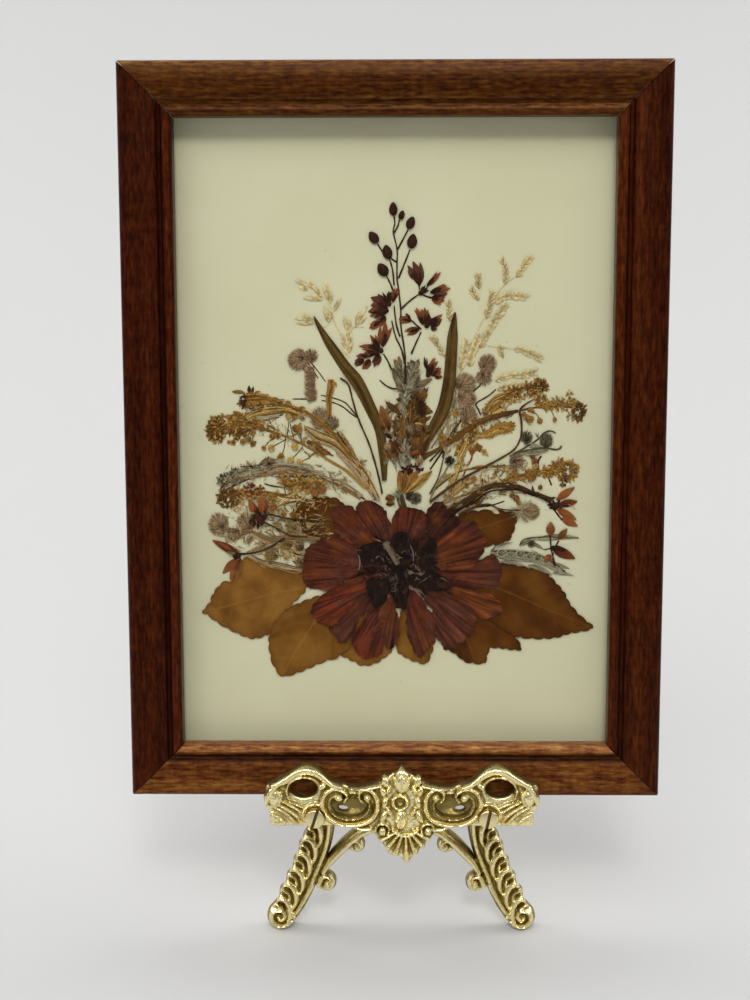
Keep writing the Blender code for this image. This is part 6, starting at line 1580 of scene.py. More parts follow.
def make_right_grey(grey, rusty):
    heads = Spray("grey_heads_right_dried", 24)
    heads.stem([(37, 9.8), (35, 8.6), (33.4, 7), (33.8, 4.6), (34, 1.2), (33.4, -1.4), (31.8, -3.8),
                (28, -6.2), (24.2, -8.2), (16.8, -12.2), (9.4, -17.8)],
               [0.3, 0.5, 0.6, 0.55, 0.5, 0.5, 0.6, 0.7, 0.7], BROWN, 0.8, 0.15)
    heads.stem([(43.2, 0.8), (41.8, 1.4), (40.2, 1), (38.4, -0.8), (35.8, -2.6), (31.8, -4.8)],
               [0.3, 0.35, 0.4, 0.4], GREY_DARK, 0.8, 0.1)
    heads.stem([(44.8, -2.6), (43.6, -3.6), (39.8, -3.2), (35.4, -3.8), (32.4, -4.8), (30.8, -5.4)],
               [0.5, 0.4, 0.4, 0.4], GREY_DARK, 0.8, 0.1)
    heads.puff(35.4, -0.2, 1.7, GREY, GREY_DARK, (35.4, -1.8), 22, 1.1)
    heads.puff(40.6, -1, 1.9, GREY, GREY_DARK, (40.4, -2.8), 24, 1.15)
    heads.puff(32.8, -6.6, 2.1, MAUVE, GREY_DARK, (31.8, -6.6), 26)
    heads.hairs((35.4, -0.6), 1.8, 90, 140, 18, GREY_DARK, GREY)
    heads.hairs((40.6, -0.6), 2.0, 70, 150, 20, GREY_DARK, GREY)
    heads.hairs((33, -6.8), 2.2, -20, 160, 20, MAUVE_DARK, MAUVE)
    heads.hairs((38.4, -0.2), 1.6, 110, 60, 8, GREY_DARK, GREY)
    heads.bundle([(34.8, -1.8), (37.4, -2.6), (39.8, -3)], [1.0, 1.2, 0.8], [SILVER, GREY], 5, 0.25)
    heads.bundle([(34.2, -4.6), (37.4, -4.4), (41.2, -3.8)], [0.4, 0.9, 0.5], [GREY, SILVER], 4, 0.25)
    heads.puff(14.8, -6.6, 1.5, GREY_DARK, BROWN_DARK, None, 16)
    heads.stem([(14.8, -7.2), (13.6, -9.4), (11.2, -13.2), (9.4, -17.4)], [0.5, 0.4], GREY)
    heads.hairs((13.8, -4.2), 2.6, 100, 60, 16, TAUPE, MAUVE)
    heads.stem([(31, -7.8), (27.6, -8.4), (23.4, -8), (20.6, -8.6)], [0.4, 0.4], STEM_TAN)
    # The dark arched stem and the fuzzy head behind the red floret.
    heads.bundle([(15, -20.6), (19.8, -17.4), (24.6, -14), (28.4, -13.2), (32.8, -13.8), (37.2, -15.6),
                  (42.4, -17.2)], [2.2, 1.6, 1.1, 0.9, 1.0, 0.9, 0.6],
                 [OLIVE_BROWN, STEM_DARK, BROWN, OLIVE_BROWN, BROWN_DARK], 8, 0.42)
    heads.stem([(17.2, -21.2), (21.8, -19), (25.2, -18.4), (28.2, -19.6), (31.8, -20), (35.8, -20)],
               [0.8, 0.6, 0.4, 0.4, 0.3], BROWN, 0.7, 0.1)
    heads.stem([(21.8, -19.2), (25.8, -18.8), (29.6, -17.6)], [0.5, 0.3], BROWN_DARK)
    heads.petal((26.2, -20), (28.2, -20.8), 1.0, CREAM, STRAW, 0.6, 0.3)
    heads.fray([(14, -20), (20, -17), (26, -14), (33, -14)], 3.6, [OLIVE_BROWN, TAUPE, STEM_TAN, SILVER],
               150, 2.0, 0.4)
    heads.hairs((34.6, -20.4), 3.6, 0, 360, 90, TAUPE, SILVER, 0.2, 0.2)
    for _ in range(60):
        a = radians(heads.random.uniform(-62, 42))
        foot = heads.random.uniform(0.3, 1.6)
        far = heads.random.uniform(2.8, 4.8)
        bx, by = (33.4, -20)
        heads.put("fibre", at_angle(bx, by, foot, a), at_angle(bx, by, far, a * 1.05), 0.28, 0.28,
                  heads.random.choice([MAUVE, TAUPE, GREY]),
                  heads.random.choice([MAUVE_DARK, TAUPE, GREY]), heads.random.uniform(0.05, 0.45),
                  heads.random.uniform(-0.1, 0.1))
    heads.puff(37, -20.4, 2.3, TAUPE, MAUVE_DARK, (34, -20.4), 26, 1.0, -100, 100)
    heads.done(grey, "grey_green", "grey_heads_right")

    spike = Spray("silver_spike_dried", 26)
    spike.bundle([(26, -31.4), (30, -32), (34.4, -32.4), (39, -33.2), (42.8, -35), (46, -37.2)],
                 [0.8, 2.4, 2.6, 2.2, 1.8, 0.8], [SILVER, GREY, GREY_DARK, TAUPE, SILVER], 10, 0.4)
    for x, y, size in ((29, -31.8, 2.6), (31.4, -32.2, 1.8), (34, -32, 2.4), (36.6, -32.6, 1.9),
                       (38.8, -33, 2.2)):
        ring = [(x + size / 2 * cos(a), y + size / 2.4 * sin(a)) for a in np.linspace(0.4, 6.4, 12)]
        spike.stem(ring, [0.28, 0.36, 0.28], SILVER, 0.8, 0.45)
        spike.bud(x, y, size * 0.8, size * 0.65, spike.random.uniform(0, 90), GREY_DARK, GREY, 0.5)
        spike.hairs((x, y), size * 0.7, 0, 360, 10, GREY, SILVER, 0.2, 0.3)
    for base, tip, wide in (((33.8, -29.8), (38.8, -27.6), 1.0), ((38.2, -28), (49.8, -27.6), 1.5),
                            ((26, -32), (27.8, -29.2), 0.5), ((27.4, -29.8), (32.2, -28.8), 0.5),
                            ((40, -34.6), (47.4, -36), 1.2), ((42.8, -37.2), (48.6, -38), 0.9),
                            ((36, -35), (42.8, -37.6), 1.2), ((28.4, -34), (36, -35.4), 0.9),
                            ((36.8, -29), (40.4, -30.8), 0.9)):
        spike.petal(base, tip, wide, GREY_DARK, SILVER, 0.5, bend=0.04)
        spike.petal(base, midway(base, tip), wide * 0.5, SILVER, GREY, 0.5, 0.25)
    spike.stem([(33.8, -29.6), (35, -28), (38.8, -27.4), (44.6, -27.4), (49.6, -27.6)], [0.3, 0.35, 0.3],
               GREY_DARK, 0.7, 0.2)
    spike.puff(37, -29.2, 1.2, GREY, GREY_DARK, None, 14)
    spike.done(grey, "grey_green", "silver_spike")

    floret = Spray("red_floret_right_dried", 27)
    floret.petal((43.6, -17.2), (48.4, -13.8), 1.9, RUST, ORANGE, 0.6, 0.1)
    floret.petal((44.2, -18.6), (49.2, -17.6), 1.9, RUST_DARK, RUST, 0.6, 0.2)
    floret.petal((44, -18.6), (46.8, -18.6), 1.0, BURGUNDY, RUST_DARK, 0.6, 0.45)
    floret.petal((43.8, -19.8), (49, -22.6), 1.9, RUST, ORANGE, 0.6, 0.1)
    floret.petal((45, -22.2), (49.4, -24.4), 1.9, RUST, ORANGE, 0.6)
    floret.bud(43, -18.8, 2.6, 1.9, 170, BURGUNDY, BROWN_DARK)
    floret.cluster(43.2, -18.8, 2.4, 2.0, 0, BURGUNDY, RUST_DARK, BROWN_DARK, 14, 1.0)
    floret.stem([(44.6, -18.4), (47.2, -18.6), (48.8, -19.8)], [0.18, 0.15], CREAM, 0.8, 0.5)
    floret.stem([(42.6, -19.2), (43.8, -21), (45.2, -22.8)], [0.5, 0.4], BURGUNDY)
    floret.stem([(11, -20), (16.8, -19.8), (21.8, -17.4), (25.8, -14.8), (32.8, -14.4), (38.6, -16.2),
                 (42.6, -18.4)], [0.5, 0.5, 0.5], BROWN_DARK)
    floret.done(rusty, "rust_red", "red_floret_right")

    floret = Spray("red_floret_lower_right_dried", 28)
    floret.petal((42.2, -27), (42, -23.2), 2.2, RUST, ORANGE, 0.6, 0.2)
    floret.petal((44.2, -28), (46.6, -25), 1.6, BROWN, SIENNA, 0.6, 0.1)
    floret.petal((42.6, -30.4), (48.8, -33.2), 2.5, BURGUNDY, RUST, 0.7, 0.2)
    floret.petal((42.4, -30.2), (46.2, -31), 1.6, BROWN_DARK, BURGUNDY, 0.6, 0.4)
    floret.petal((42.4, -32.2), (40.4, -34), 1.6, RUST, ORANGE, 0.5)
    floret.bud(43, -30.4, 2.0, 1.4, 0, BROWN_DARK, BURGUNDY)
    floret.stem([(42, -26.8), (42.2, -29.2), (42.4, -31), (43.6, -35.2)], [0.4, 0.4, 0.3], BURGUNDY)
    floret.stem([(43, -31.6), (42.8, -33.8), (43.4, -35.2)], [0.3, 0.3], BROWN_DARK)
    floret.stem([(40.4, -30.8), (43, -30.4)], [0.25, 0.4], BROWN_DARK)
    floret.stem([(44.4, -28.4), (43.6, -29.8)], [0.5, 0.4], BROWN)
    floret.done(rusty, "rust_red", "red_floret_lower_right")


def make_burgundy_spray(dark):
    spray = Spray("burgundy_spray_dried", 31)
    for place, long, wide, angle in (
        ((-0.4, 60), 3.6, 2.1, 92), ((1.8, 58.4), 2.6, 1.5, 72), ((4.2, 56.4), 3.5, 2.2, 68),
        ((4.6, 51.6), 4.0, 2.5, 80), ((-5.6, 52.6), 3.7, 2.4, 125), ((-2, 48.8), 3.9, 2.5, 103),
        ((-3.2, 44.2), 3.9, 2.7, 124)):
        spray.bud(*place, long, wide, angle, BROWN_DARK, BURGUNDY, 1.2, 0.05)
    for line in ([(-0.2, 58.4), (0, 56.2), (-0.4, 54), (0.6, 49.6), (0.6, 46), (0.6, 42), (1, 39),
                  (1.6, 33.6), (1.6, 29.6), (2.6, 22.8), (2.8, 19.4), (2.8, 14.4), (2.6, 15)],
                 [(1.2, 57.2), (0.8, 55.6), (-0.2, 53.8)], [(3.6, 54.8), (2.2, 52.2), (0.8, 49.6)],
                 [(4, 49.4), (2.8, 46.4), (1, 42)], [(-4.6, 51), (-3.4, 49.2), (-2.4, 47.8)],
                 [(-1, 47.2), (-0.2, 46.6), (0.6, 46.2)], [(-1.4, 47), (-0.6, 44.2), (-0.2, 40.2)],
                 [(-2.2, 42.6), (-1.2, 40.6), (-0.4, 38.6)], [(6.8, 38), (4.2, 36.2), (1.6, 33.8)],
                 [(-0.8, 30.8), (0.2, 26.6), (1.8, 23.2), (2.6, 19.4)],
                 [(-0.2, 34.8), (0.4, 29.8), (1.4, 26.6)], [(7, 27.8), (5.6, 24.8), (4.4, 22)],
                 [(-3, 22), (-1.8, 20), (-0.8, 17.8)],
                 [(-4, 15), (-2.4, 13.6), (-0.6, 12.8), (0.6, 12.8)],
                 [(4.6, 30.8), (5.8, 29.6), (7, 28.6)], [(6.8, 37.8), (8.4, 37.2), (9.8, 36.8)],
                 [(6.6, 39), (6.4, 40.2), (6.6, 41.4)]):
        spray.stem(line, [0.34, 0.42, 0.5], spray.random.choice([BURGUNDY, BROWN_DARK]), 0.85, 0.05)
    petals = [((6.6, 40), (4.8, 46.8), 3.0), ((6.2, 41.4), (3.4, 44.8), 2.0),
              ((8.4, 39.8), (12, 43.6), 1.9), ((9.4, 38.4), (14.8, 39.4), 2.4),
              ((9.4, 38), (13.6, 40.2), 1.8), ((9.8, 37), (13.2, 35.8), 2.6),
              ((10.2, 37.2), (14, 37.4), 2.0), ((-2, 34.2), (-6.4, 37), 3.6),
              ((-1.6, 33.4), (-7.4, 33.6), 3.4), ((-2.4, 32), (-5, 29.6), 2.6),
              ((-4, 30.6), (-6.8, 28.6), 2.2), ((-3.2, 23.8), (-2, 30.6), 2.5),
              ((-0.6, 35.6), (1.2, 39.8), 1.6), ((-4, 23.4), (-9.4, 24.2), 1.9),
              ((-4.2, 22.8), (-8.4, 22), 2.3), ((-4.2, 22), (-5.6, 18.8), 2.3),
              ((-4.4, 24), (-6.4, 27.4), 1.7), ((-7.2, 21.4), (-10.2, 21.8), 1.6),
              ((-8.2, 20.4), (-11, 19.2), 2.2), ((-6.6, 20.6), (-8.6, 18), 2.2),
              ((7.6, 29.6), (6, 34.6), 2.1), ((8.2, 29.6), (8, 34.6), 2.0),
              ((9.4, 29.6), (12.8, 32.2), 1.9), ((9.6, 29.2), (12.4, 30.8), 2.0),
              ((9.6, 28.8), (11.4, 28.6), 1.8), ((4.6, 30.8), (0.8, 31.4), 2.0),
              ((4.2, 31), (2.8, 32.8), 1.2), ((6.6, 28.6), (2.6, 27.8), 1.9),
              ((9.4, 16.6), (11, 21.2), 2.1), ((8.6, 17.4), (9.6, 19.4), 1.4),
              ((9.6, 16.2), (12.8, 18.2), 2.0), ((10.6, 16), (12.8, 15.8), 2.0),
              ((8.4, 18), (8, 21.4), 0.9)]
    for base, tip, wide in petals:
        head = spray.random.choice([BURGUNDY_RED, BURGUNDY_RED, tone(134, 82, 44), tone(102, 60, 44)])
        spray.ragged(base, tip, wide, BURGUNDY, head, BROWN_DARK)
    for x, y, reach, angle, spread, count in (
        (7, 38.2, 2.4, 45, 60, 12), (-1.6, 35.4, 3.4, 115, 90, 22), (-3.8, 23, 3.4, 135, 70, 18),
        (8.6, 29.6, 3.6, 55, 80, 18), (-3.4, 32.8, 3.0, 185, 60, 12), (9, 16.6, 2.0, 60, 120, 8),
        (-5, 22.2, 2.4, 190, 60, 8)):
        for _ in range(count):
            a = radians(angle + spray.random.uniform(-spread, spread) / 2)
            far = reach * spray.random.uniform(0.5, 1.0)
            spray.petal((x + spray.random.uniform(-0.4, 0.4), y + spray.random.uniform(-0.4, 0.4)),
                        at_angle(x, y, far, a), 0.6, BROWN_DARK, spray.random.choice([BURGUNDY, BROWN_DARK]),
                        0.5, spray.random.uniform(0.1, 0.4))
        spray.bud(x, y, 1.8, 1.3, angle, BROWN_DARK, BURGUNDY, 0.9)
    spray.done(dark, "burgundy", "burgundy_spray")


def make_centre_heads(grey, warm):
    head = Spray("grey_flower_head_dried", 34)
    x, y = (2.8, 12)
    for _ in range(170):
        a = radians(head.random.uniform(34, 126))
        far = head.random.uniform(3.2, 7.2) * (1 - 0.25 * abs(a - 1.4))
        near = head.random.uniform(0, 0.5) * far
        head.put("fibre", at_angle(x, y, near, a), at_angle(x, y, far, a),
                 head.random.uniform(0.25, 0.5), 0.3, head.random.choice([GREY, SILVER, GREY_DARK]),
                 head.random.choice([GREY_DARK, GREY, TAUPE_DARK, BROWN_DARK]),
                 head.random.uniform(0, 0.5), head.random.uniform(-0.06, 0.06))
    head.hairs((2.8, 13), 6.8, 84, 84, 70, SILVER, GREY, 0.2, 0.35)
    head.hairs((2.8, 14), 5.8, 84, 96, 40, GREY_DARK, TAUPE_DARK, 0.2, 0.4)
    for k in range(64):
        up = k / 63
        px, py = x + 0.2 + 2.4 * up, y + 0.4 + 6.6 * up
        a = radians(72) + (1 if k % 2 else -1) * head.random.uniform(0.15, 1.15)
        long = head.random.uniform(1.8, 3.4) * (1.15 - 0.45 * up)
        head.petal((px, py), at_angle(px, py, long, a), 0.85, head.random.choice([SILVER, GREY, SILVER]),
                   head.random.choice([GREY_DARK, TAUPE_DARK, BROWN_DARK]), 0.4,
                   head.random.uniform(0.3, 0.6))
    for base, tip, wide in (((1.8, 13.2), (-0.6, 18.2), 1.9), ((1.8, 17.4), (-0.2, 20.6), 1.6),
                            ((1.6, 18.4), (1, 21.4), 1.1), ((2.2, 12), (0.2, 14.6), 1.2),
                            ((5.6, 13.2), (10, 15.4), 1.5), ((4.2, 11.8), (7, 13.2), 1.2),
                            ((6.2, 11), (8.8, 12.6), 2.0), ((1.6, 12), (0.4, 12.8), 0.6)):
        head.petal(base, tip, wide, GREY, head.random.choice([SIENNA, OLIVE_BROWN, TAUPE_DARK]), 0.6, 0.2)
        head.petal(base, midway(base, tip), wide * 0.6, GREY_DARK, GREY, 0.6, 0.4)
    head.bundle([(2.8, 12), (2.4, 11.8), (2.2, 7.8), (2, 5.6)], [1.2, 1.4, 0.9, 0.8],
                [GREY, SILVER, GREY_DARK], 6, 0.4)
    head.bundle([(3.2, 1.8), (3, -1.6), (2.4, -5), (2.2, -7.4)], [1.2, 1.8, 1.4, 1.0],
                [SILVER, GREY, SILVER], 8, 0.36)
    head.hairs((2.2, -5.6), 2.6, 0, 360, 46, GREY, SILVER, 0.24, 0.3)
    head.hairs((5.4, 2.4), 2.4, 60, 200, 26, SILVER, GREY, 0.24, 0.4)
    head.hairs((-1.8, -6.8), 1.6, 160, 120, 14, GREY, SILVER, 0.2, 0.3)
    head.bundle([(0.6, -14.8), (1.4, -16.8), (2.2, -19.4)], [0.8, 1.6, 1.6], [GREY_DARK, GREY, BROWN], 7,
                0.4)
    head.hairs((1.2, -16.6), 2.8, 110, 110, 24, GREY, SILVER, 0.22, 0.3)
    head.puff(5.6, -16.8, 1.9, GREY, GREY_DARK, None, 22)
    head.puff(4.2, -16.2, 1.5, OLIVE_BROWN, GREY_DARK, None, 16)
    head.done(grey, "grey_green", "grey_flower_head")

    calyx = Spray("calyx_cluster_dried", 35)
    tubes = [((-1.4, 1.4), (-3.8, 8.2), 2.6, SIENNA, ORANGE),
             ((-1, 2.6), (-3.4, 6.2), 1.5, ORANGE, SIENNA),
             ((1.2, 6.2), (-2.4, 9.2), 1.5, OLIVE_BROWN, BROWN),
             ((2.2, -2.2), (2.4, 6.6), 2.0, ORANGE, BROWN), ((2.2, -1.4), (2.4, 2.6), 1.4, GOLD, ORANGE),
             ((4, 2.4), (4.2, 8.8), 1.5, SIENNA, ORANGE), ((7, 4.8), (6.6, 10.6), 2.8, BROWN_DARK, BROWN),
             ((6.6, 9.6), (8.4, 12.2), 2.0, SIENNA, GOLD_DARK),
             ((7.2, -4.4), (7.2, 1.4), 2.8, GOLD_DARK, SIENNA),
             ((4.4, -3.4), (5.4, -0.2), 2.2, SIENNA, BROWN), ((6.8, -5), (9.2, 0.4), 2.4, BROWN, SIENNA),
             ((0.6, -5), (0, -1.2), 2.8, BROWN, RUST_DARK),
             ((-1.6, -3.8), (-2.4, -1.6), 1.6, TAUPE, SIENNA),
             ((-0.8, -0.4), (-2.6, 0.8), 1.2, BROWN_DARK, BROWN),
             ((6.4, -8), (6.8, -4.8), 2.0, MAUVE, BROWN), ((-1, -6.2), (-2.2, -3.8), 1.4, BROWN, SIENNA),
             ((8, 2.6), (5.4, 3.6), 1.2, SIENNA, STRAW_DARK),
             ((8.4, 4.6), (7.2, 2.6), 0.9, ORANGE, BROWN_DARK), ((4, -5), (7.6, -4), 1.4, RUST, ORANGE),
             ((-2.6, -16.8), (0, -16.6), 1.8, SIENNA, BROWN),
             ((-2.4, -18.4), (0, -18), 1.4, BROWN, SIENNA)]
    calyx.plume([(4.4, 11), (4.6, 5), (4.2, 0), (3.6, -6)], [5.0, 7.4, 8.0, 5.6], OLIVE_BROWN, SIENNA,
                BROWN_DARK, 210, 1.5)
    calyx.fray([(-2, 9), (-1.4, 3), (-0.6, -4), (1, -8)], 3.4, [BROWN, SIENNA, TAUPE_DARK, GREY], 130,
               2.2, 0.4)
    for base, tip, wide, foot, rim in tubes:
        calyx.petal(base, tip, wide, foot, rim, 0.8, calyx.random.uniform(0, 0.3))
        calyx.petal(base, (tip[0] + 0.2, tip[1] - 0.3), wide * 0.45, BROWN_DARK, foot, 0.6, 0.5)
        middle = midway(base, tip)
        calyx.stem([base, middle, tip], [0.25, 0.3, 0.2], foot, 0.8, 0.55)
    calyx.cluster(5, -9, 4.4, 1.6, 0, RUST_DARK, tone(110, 20, 14), BURGUNDY, 34, 0.9)
    calyx.cluster(2.8, -9.2, 2.6, 1.2, 0, BURGUNDY, RUST_DARK, BROWN_DARK, 16, 0.8)
    calyx.cluster(0, -3.2, 3.0, 2.6, 0, BROWN, RUST_DARK, BROWN_DARK, 26, 1.0)
    calyx.fray([(7, 12), (6.8, 6), (6.6, 0), (6, -6)], 2.6, [BROWN, SIENNA, GOLD_DARK, BROWN_DARK], 130,
               2.2, 0.3)
    calyx.fray([(2.6, 8), (2.8, 2), (2.6, -4), (2.6, -8)], 2.2, [GREY, SILVER, TAUPE, GREY_DARK], 90, 2.0,
               0.3)
    for k in range(66):
        px, py = 2.5 + 0.5 * sin(k * 0.4), 10.4 - 19 * k / 66
        a = radians(92) + (1 if k % 2 else -1) * calyx.random.uniform(0.2, 0.95)
        long = calyx.random.uniform(1.6, 2.8)
        calyx.petal((px, py), at_angle(px, py, long, a), 0.75, calyx.random.choice([SILVER, GREY, SILVER]),
                    calyx.random.choice([GREY, GREY_DARK, TAUPE_DARK]), 0.4,
                    calyx.random.uniform(0.25, 0.55))
    for base, tip, wide, foot, rim in (
        ((2, -15.2), (1.2, -9.2), 1.9, GOLD, ORANGE), ((2.2, -15.4), (3, -9), 1.6, BROWN, SIENNA),
        ((2.4, -15.4), (6.2, -9.2), 2.8, GOLD, ORANGE), ((3, -15.4), (10, -9.4), 2.4, GOLD_PALE, GOLD),
        ((4.4, -14.6), (8.8, -11.2), 1.2, SIENNA, GOLD)):
        calyx.petal(base, tip, wide, foot, rim, 0.7, calyx.random.uniform(0.1, 0.3))
        calyx.stem([base, midway(base, tip), tip], [0.3, 0.25], SIENNA, 0.7, 0.5)
    calyx.done(warm, "sienna", "calyx_cluster")


LEAF_OCHRE = tone(130, 84, 26)
LEAF_PALE = tone(156, 112, 50)
LEAF_TAN = tone(146, 97, 38)
LEAF_DARK = tone(96, 58, 14)
LEAF_UMBER = tone(92, 46, 2)
LEAF_UMBER_PALE = tone(122, 80, 24)
LEAF_UMBER_DARK = tone(62, 32, 4)
PETAL_RED = tone(94, 40, 22)
PETAL_DUSKY = tone(86, 46, 34)
PETAL_BRIGHT = tone(106, 42, 24)
PETAL_ORANGE = tone(106, 54, 22)
PETAL_BLACK = tone(48, 20, 15)
HEART_DARK = tone(24, 13, 11)
HEART_EDGE = tone(74, 38, 28)
STAMEN = tone(128, 110, 92)
FLOWER_X = 1.5
FLOWER_Y = -37.0


def pushed(curve, pushes):
    """A closed outline, each point moved square to the edge by its own push."""
    edge = []
    for i, ((x, y), push) in enumerate(zip(curve, pushes)):
        before = curve[i - 1]
        after = curve[(i + 1) % len(curve)]
        dx, dy = after[0] - before[0], after[1] - before[1]
        far = max(hypot(dx, dy), 1e-6)
        edge.append((x + dy / far * push, y - dx / far * push))
    return edge


def toothed(points, depth, pitch):
    """A leaf's outline with blunt teeth along it."""
    curve = evenly(smooth_loop(points, 4), 0.3)
    sign = turning(curve)
    gone = 0.0
    pushes = []
    for i, (x, y) in enumerate(curve):
        gone += hypot(x - curve[i - 1][0], y - curve[i - 1][1]) if i else 0.0
        pushes.append(depth * (abs(sin(pi * gone / pitch + 0.6 * sin(gone * 0.31))) ** 0.7 - 0.6) * sign)
    return pushed(curve, pushes)


def ruffled(points, seed):
    """A petal's outline with the small waves and nicks of a dried edge."""
    curve = evenly(smooth_loop(points, 4), 0.34)
    waves = [0.5 * noise.noise((x * 0.6, y * 0.6, seed)) for x, y in curve]
    nicks = [0.3 * noise.noise((x * 1.9, y * 1.9, seed + 3)) for x, y in curve]
    return pushed(curve, [wave + nick for wave, nick in zip(waves, nicks)])


def blend_tints(first, second, share):
    share = np.clip(share, 0, 1)[:, None]
    return np.asarray(first) * (1 - share) + np.asarray(second) * share


def lay_sheet(sheet, name, thick, finish, slot, node, tints, ribs=None):
    """Lets a soft sheet drape over what lies there already, and keeps it under the glass."""
    ground = BOARD_FRONT + 0.04 + thick + pile.draped(sheet.x, sheet.y)
    sheet.height = np.minimum(sheet.height + ground, GLASS_BACK - 0.08)
    piece = sheet.sheet(name, thick)
    set_color(piece, "tint", sheet.doubled(np.clip(tints, 0, 1)))
    if ribs is not None:
        set_vector(piece, "ribs", sheet.doubled(ribs))
    settle(piece, PLANE, finish, "frame_and_easel", slot, node)
    pile.raise_to(sheet.x, sheet.y, sheet.height - BOARD_FRONT)


def make_leaf(node, slot, outline, rib, pitch, tints, finish, seed, veins=6):
    """A broad dried leaf: a pale midrib, curved side veins, teeth, and stains that follow the veins."""
    main, pale, dark = tints
    leaf = Relief([toothed(outline, 0.5, pitch)], 0.34)
    middle = smooth_path(rib, 5)
    rib_bar = leaf.bar(middle, [0.55, 0.4])
    side_bar = np.zeros(len(leaf.at))
    for k in range(veins):
        at = int((len(middle) - 1) * (k + 0.4) / (veins + 0.8))
        start = Vector(middle[at])
        along = (Vector(middle[at + 1]) - start).normalized()
        for side in (1, -1):
            across = Vector((-along.y, along.x)) * side
            line = [start, start + along * 2.4 + across * 3.4, start + along * 6.2 + across * 6.6,
                    start + along * 10.4 + across * 8.6]
            vein = leaf.bar(smooth_path([tuple(p) for p in line], 3), [0.36, 0.22])
            side_bar = np.maximum(side_bar, vein)
    cloud = leaf.noise_at(7.0, seed)
    patch = leaf.noise_at(2.6, seed + 9)
    crumple = leaf.noise_at(1.1, seed + 20)
    edge = np.exp(-leaf.from_edge / 0.45)
    leaf.height = 0.12 * cloud + 0.05 * patch + 0.02 * crumple + 0.12 * rib_bar + 0.05 * side_bar + 0.12
    leaf.height = np.maximum(leaf.height, 0.0) + 0.16 * edge
    color = blend_tints(main, dark, 0.18 + cloud * 0.8 + patch * 0.35 + side_bar * 0.15)
    color = blend_tints(color, pale, patch * -0.12 + cloud * -0.6 + 0.1)
    color = blend_tints(color, pale, rib_bar * 0.6 + side_bar * 0.3)
    color = blend_tints(color, dark, edge * 0.75)
    lay_sheet(leaf, f"{node}_dried", 0.1, finish, slot, node, color)


def make_leaves():
    skin = dried_stuff("leaf_skin", 0.58, 1500.0, 0.45)
    ochre = (LEAF_OCHRE, LEAF_PALE, LEAF_DARK)
    umber = (LEAF_UMBER, LEAF_UMBER_PALE, LEAF_UMBER_DARK)
    make_leaf("leaf_upper_left", "umber_leaf",
              [(-27, -19), (-24, -17), (-17, -16.5), (-13.5, -19), (-13.5, -25), (-17, -28), (-24, -27.5),
               (-27.5, -23)], [(-13, -24), (-20, -22), (-27, -21)], 2.6, umber, skin, 1.0, 4)
    make_leaf("leaf_upper_right", "umber_leaf",
              [(17, -21.5), (24, -20), (31.5, -20.5), (33, -21.5), (32.5, -24.5), (31, -28),
               (27.5, -29.5), (20, -30), (15, -26)], [(15, -27), (23, -25), (32, -22)], 3.2, umber, skin,
              2.0, 5)
    make_leaf("leaf_far_left", "ochre_leaf",
              [(-24, -41.5), (-28, -46), (-31.5, -51), (-34, -54), (-38.5, -55.5), (-42, -54.5),
               (-46, -52.5), (-48.5, -51), (-51, -49), (-52.5, -48), (-50.5, -45.5), (-49.5, -43),
               (-47, -40), (-44, -39), (-42, -34.5), (-39.5, -33), (-33.5, -35), (-25.5, -37)],
              [(-25.5, -41.5), (-35, -43.5), (-44, -46), (-52, -48)], 2.9,
              (LEAF_TAN, LEAF_PALE, LEAF_DARK), skin, 3.0, 7)
    make_leaf("leaf_bottom_left", "ochre_leaf",
              [(-16, -58.5), (-14, -60.5), (-11, -62), (-9, -63), (-5.5, -62.5), (-2.5, -60.5),
               (-0.8, -58.5), (-1, -51), (-5, -46), (-12, -49)], [(-7, -47), (-8, -55), (-8.5, -63)], 2.4,
              ochre, skin, 4.0, 4)
    make_leaf("leaf_lower_left", "ochre_leaf",
              [(-34, -54), (-34.5, -57), (-33.5, -62.5), (-31, -66), (-26.5, -65), (-19.5, -62),
               (-15.5, -60.5), (-10, -55), (-9, -48), (-13, -43.5), (-18, -43), (-22, -44), (-28, -46.5),
               (-32.5, -50.5)], [(-17, -44), (-22, -51), (-27, -59), (-31, -66)], 3.4, ochre, skin, 5.0,
              6)
    make_leaf("leaf_bottom_right", "ochre_leaf",
              [(0.5, -58.5), (3.5, -61), (6, -62), (8.5, -62.5), (9.5, -61), (10.5, -58), (11.5, -52),
               (8, -46), (3, -46), (0.5, -52)], [(6, -47), (7, -54), (8, -62.5)], 2.4, ochre, skin, 6.0,
              4)
    make_leaf("leaf_lower_right", "umber_leaf",
              [(13, -57.5), (15.5, -59), (17.5, -60.5), (19.5, -62), (24, -62.5), (25, -61.5),
               (26, -58.3), (28.5, -58.1), (34.5, -58.5), (33, -55), (31, -53), (26, -49), (19, -46.5),
               (13, -50)], [(15, -48), (19, -54), (22, -62)], 2.5, umber, skin, 7.0, 5)
    make_leaf("leaf_far_right", "umber_leaf",
              [(28.5, -34.5), (34.5, -35.5), (40.5, -36.5), (42.5, -38.5), (46, -42.5), (47.5, -45.5),
               (50.5, -49), (54, -52.5), (47.5, -54), (44.5, -55), (39.5, -55.5), (34, -55), (31, -53.5),
               (25, -49), (21, -42), (23, -36)], [(23, -39.5), (33, -43.5), (43, -48), (54, -52.5)], 2.8,
              umber, skin, 8.0, 7)


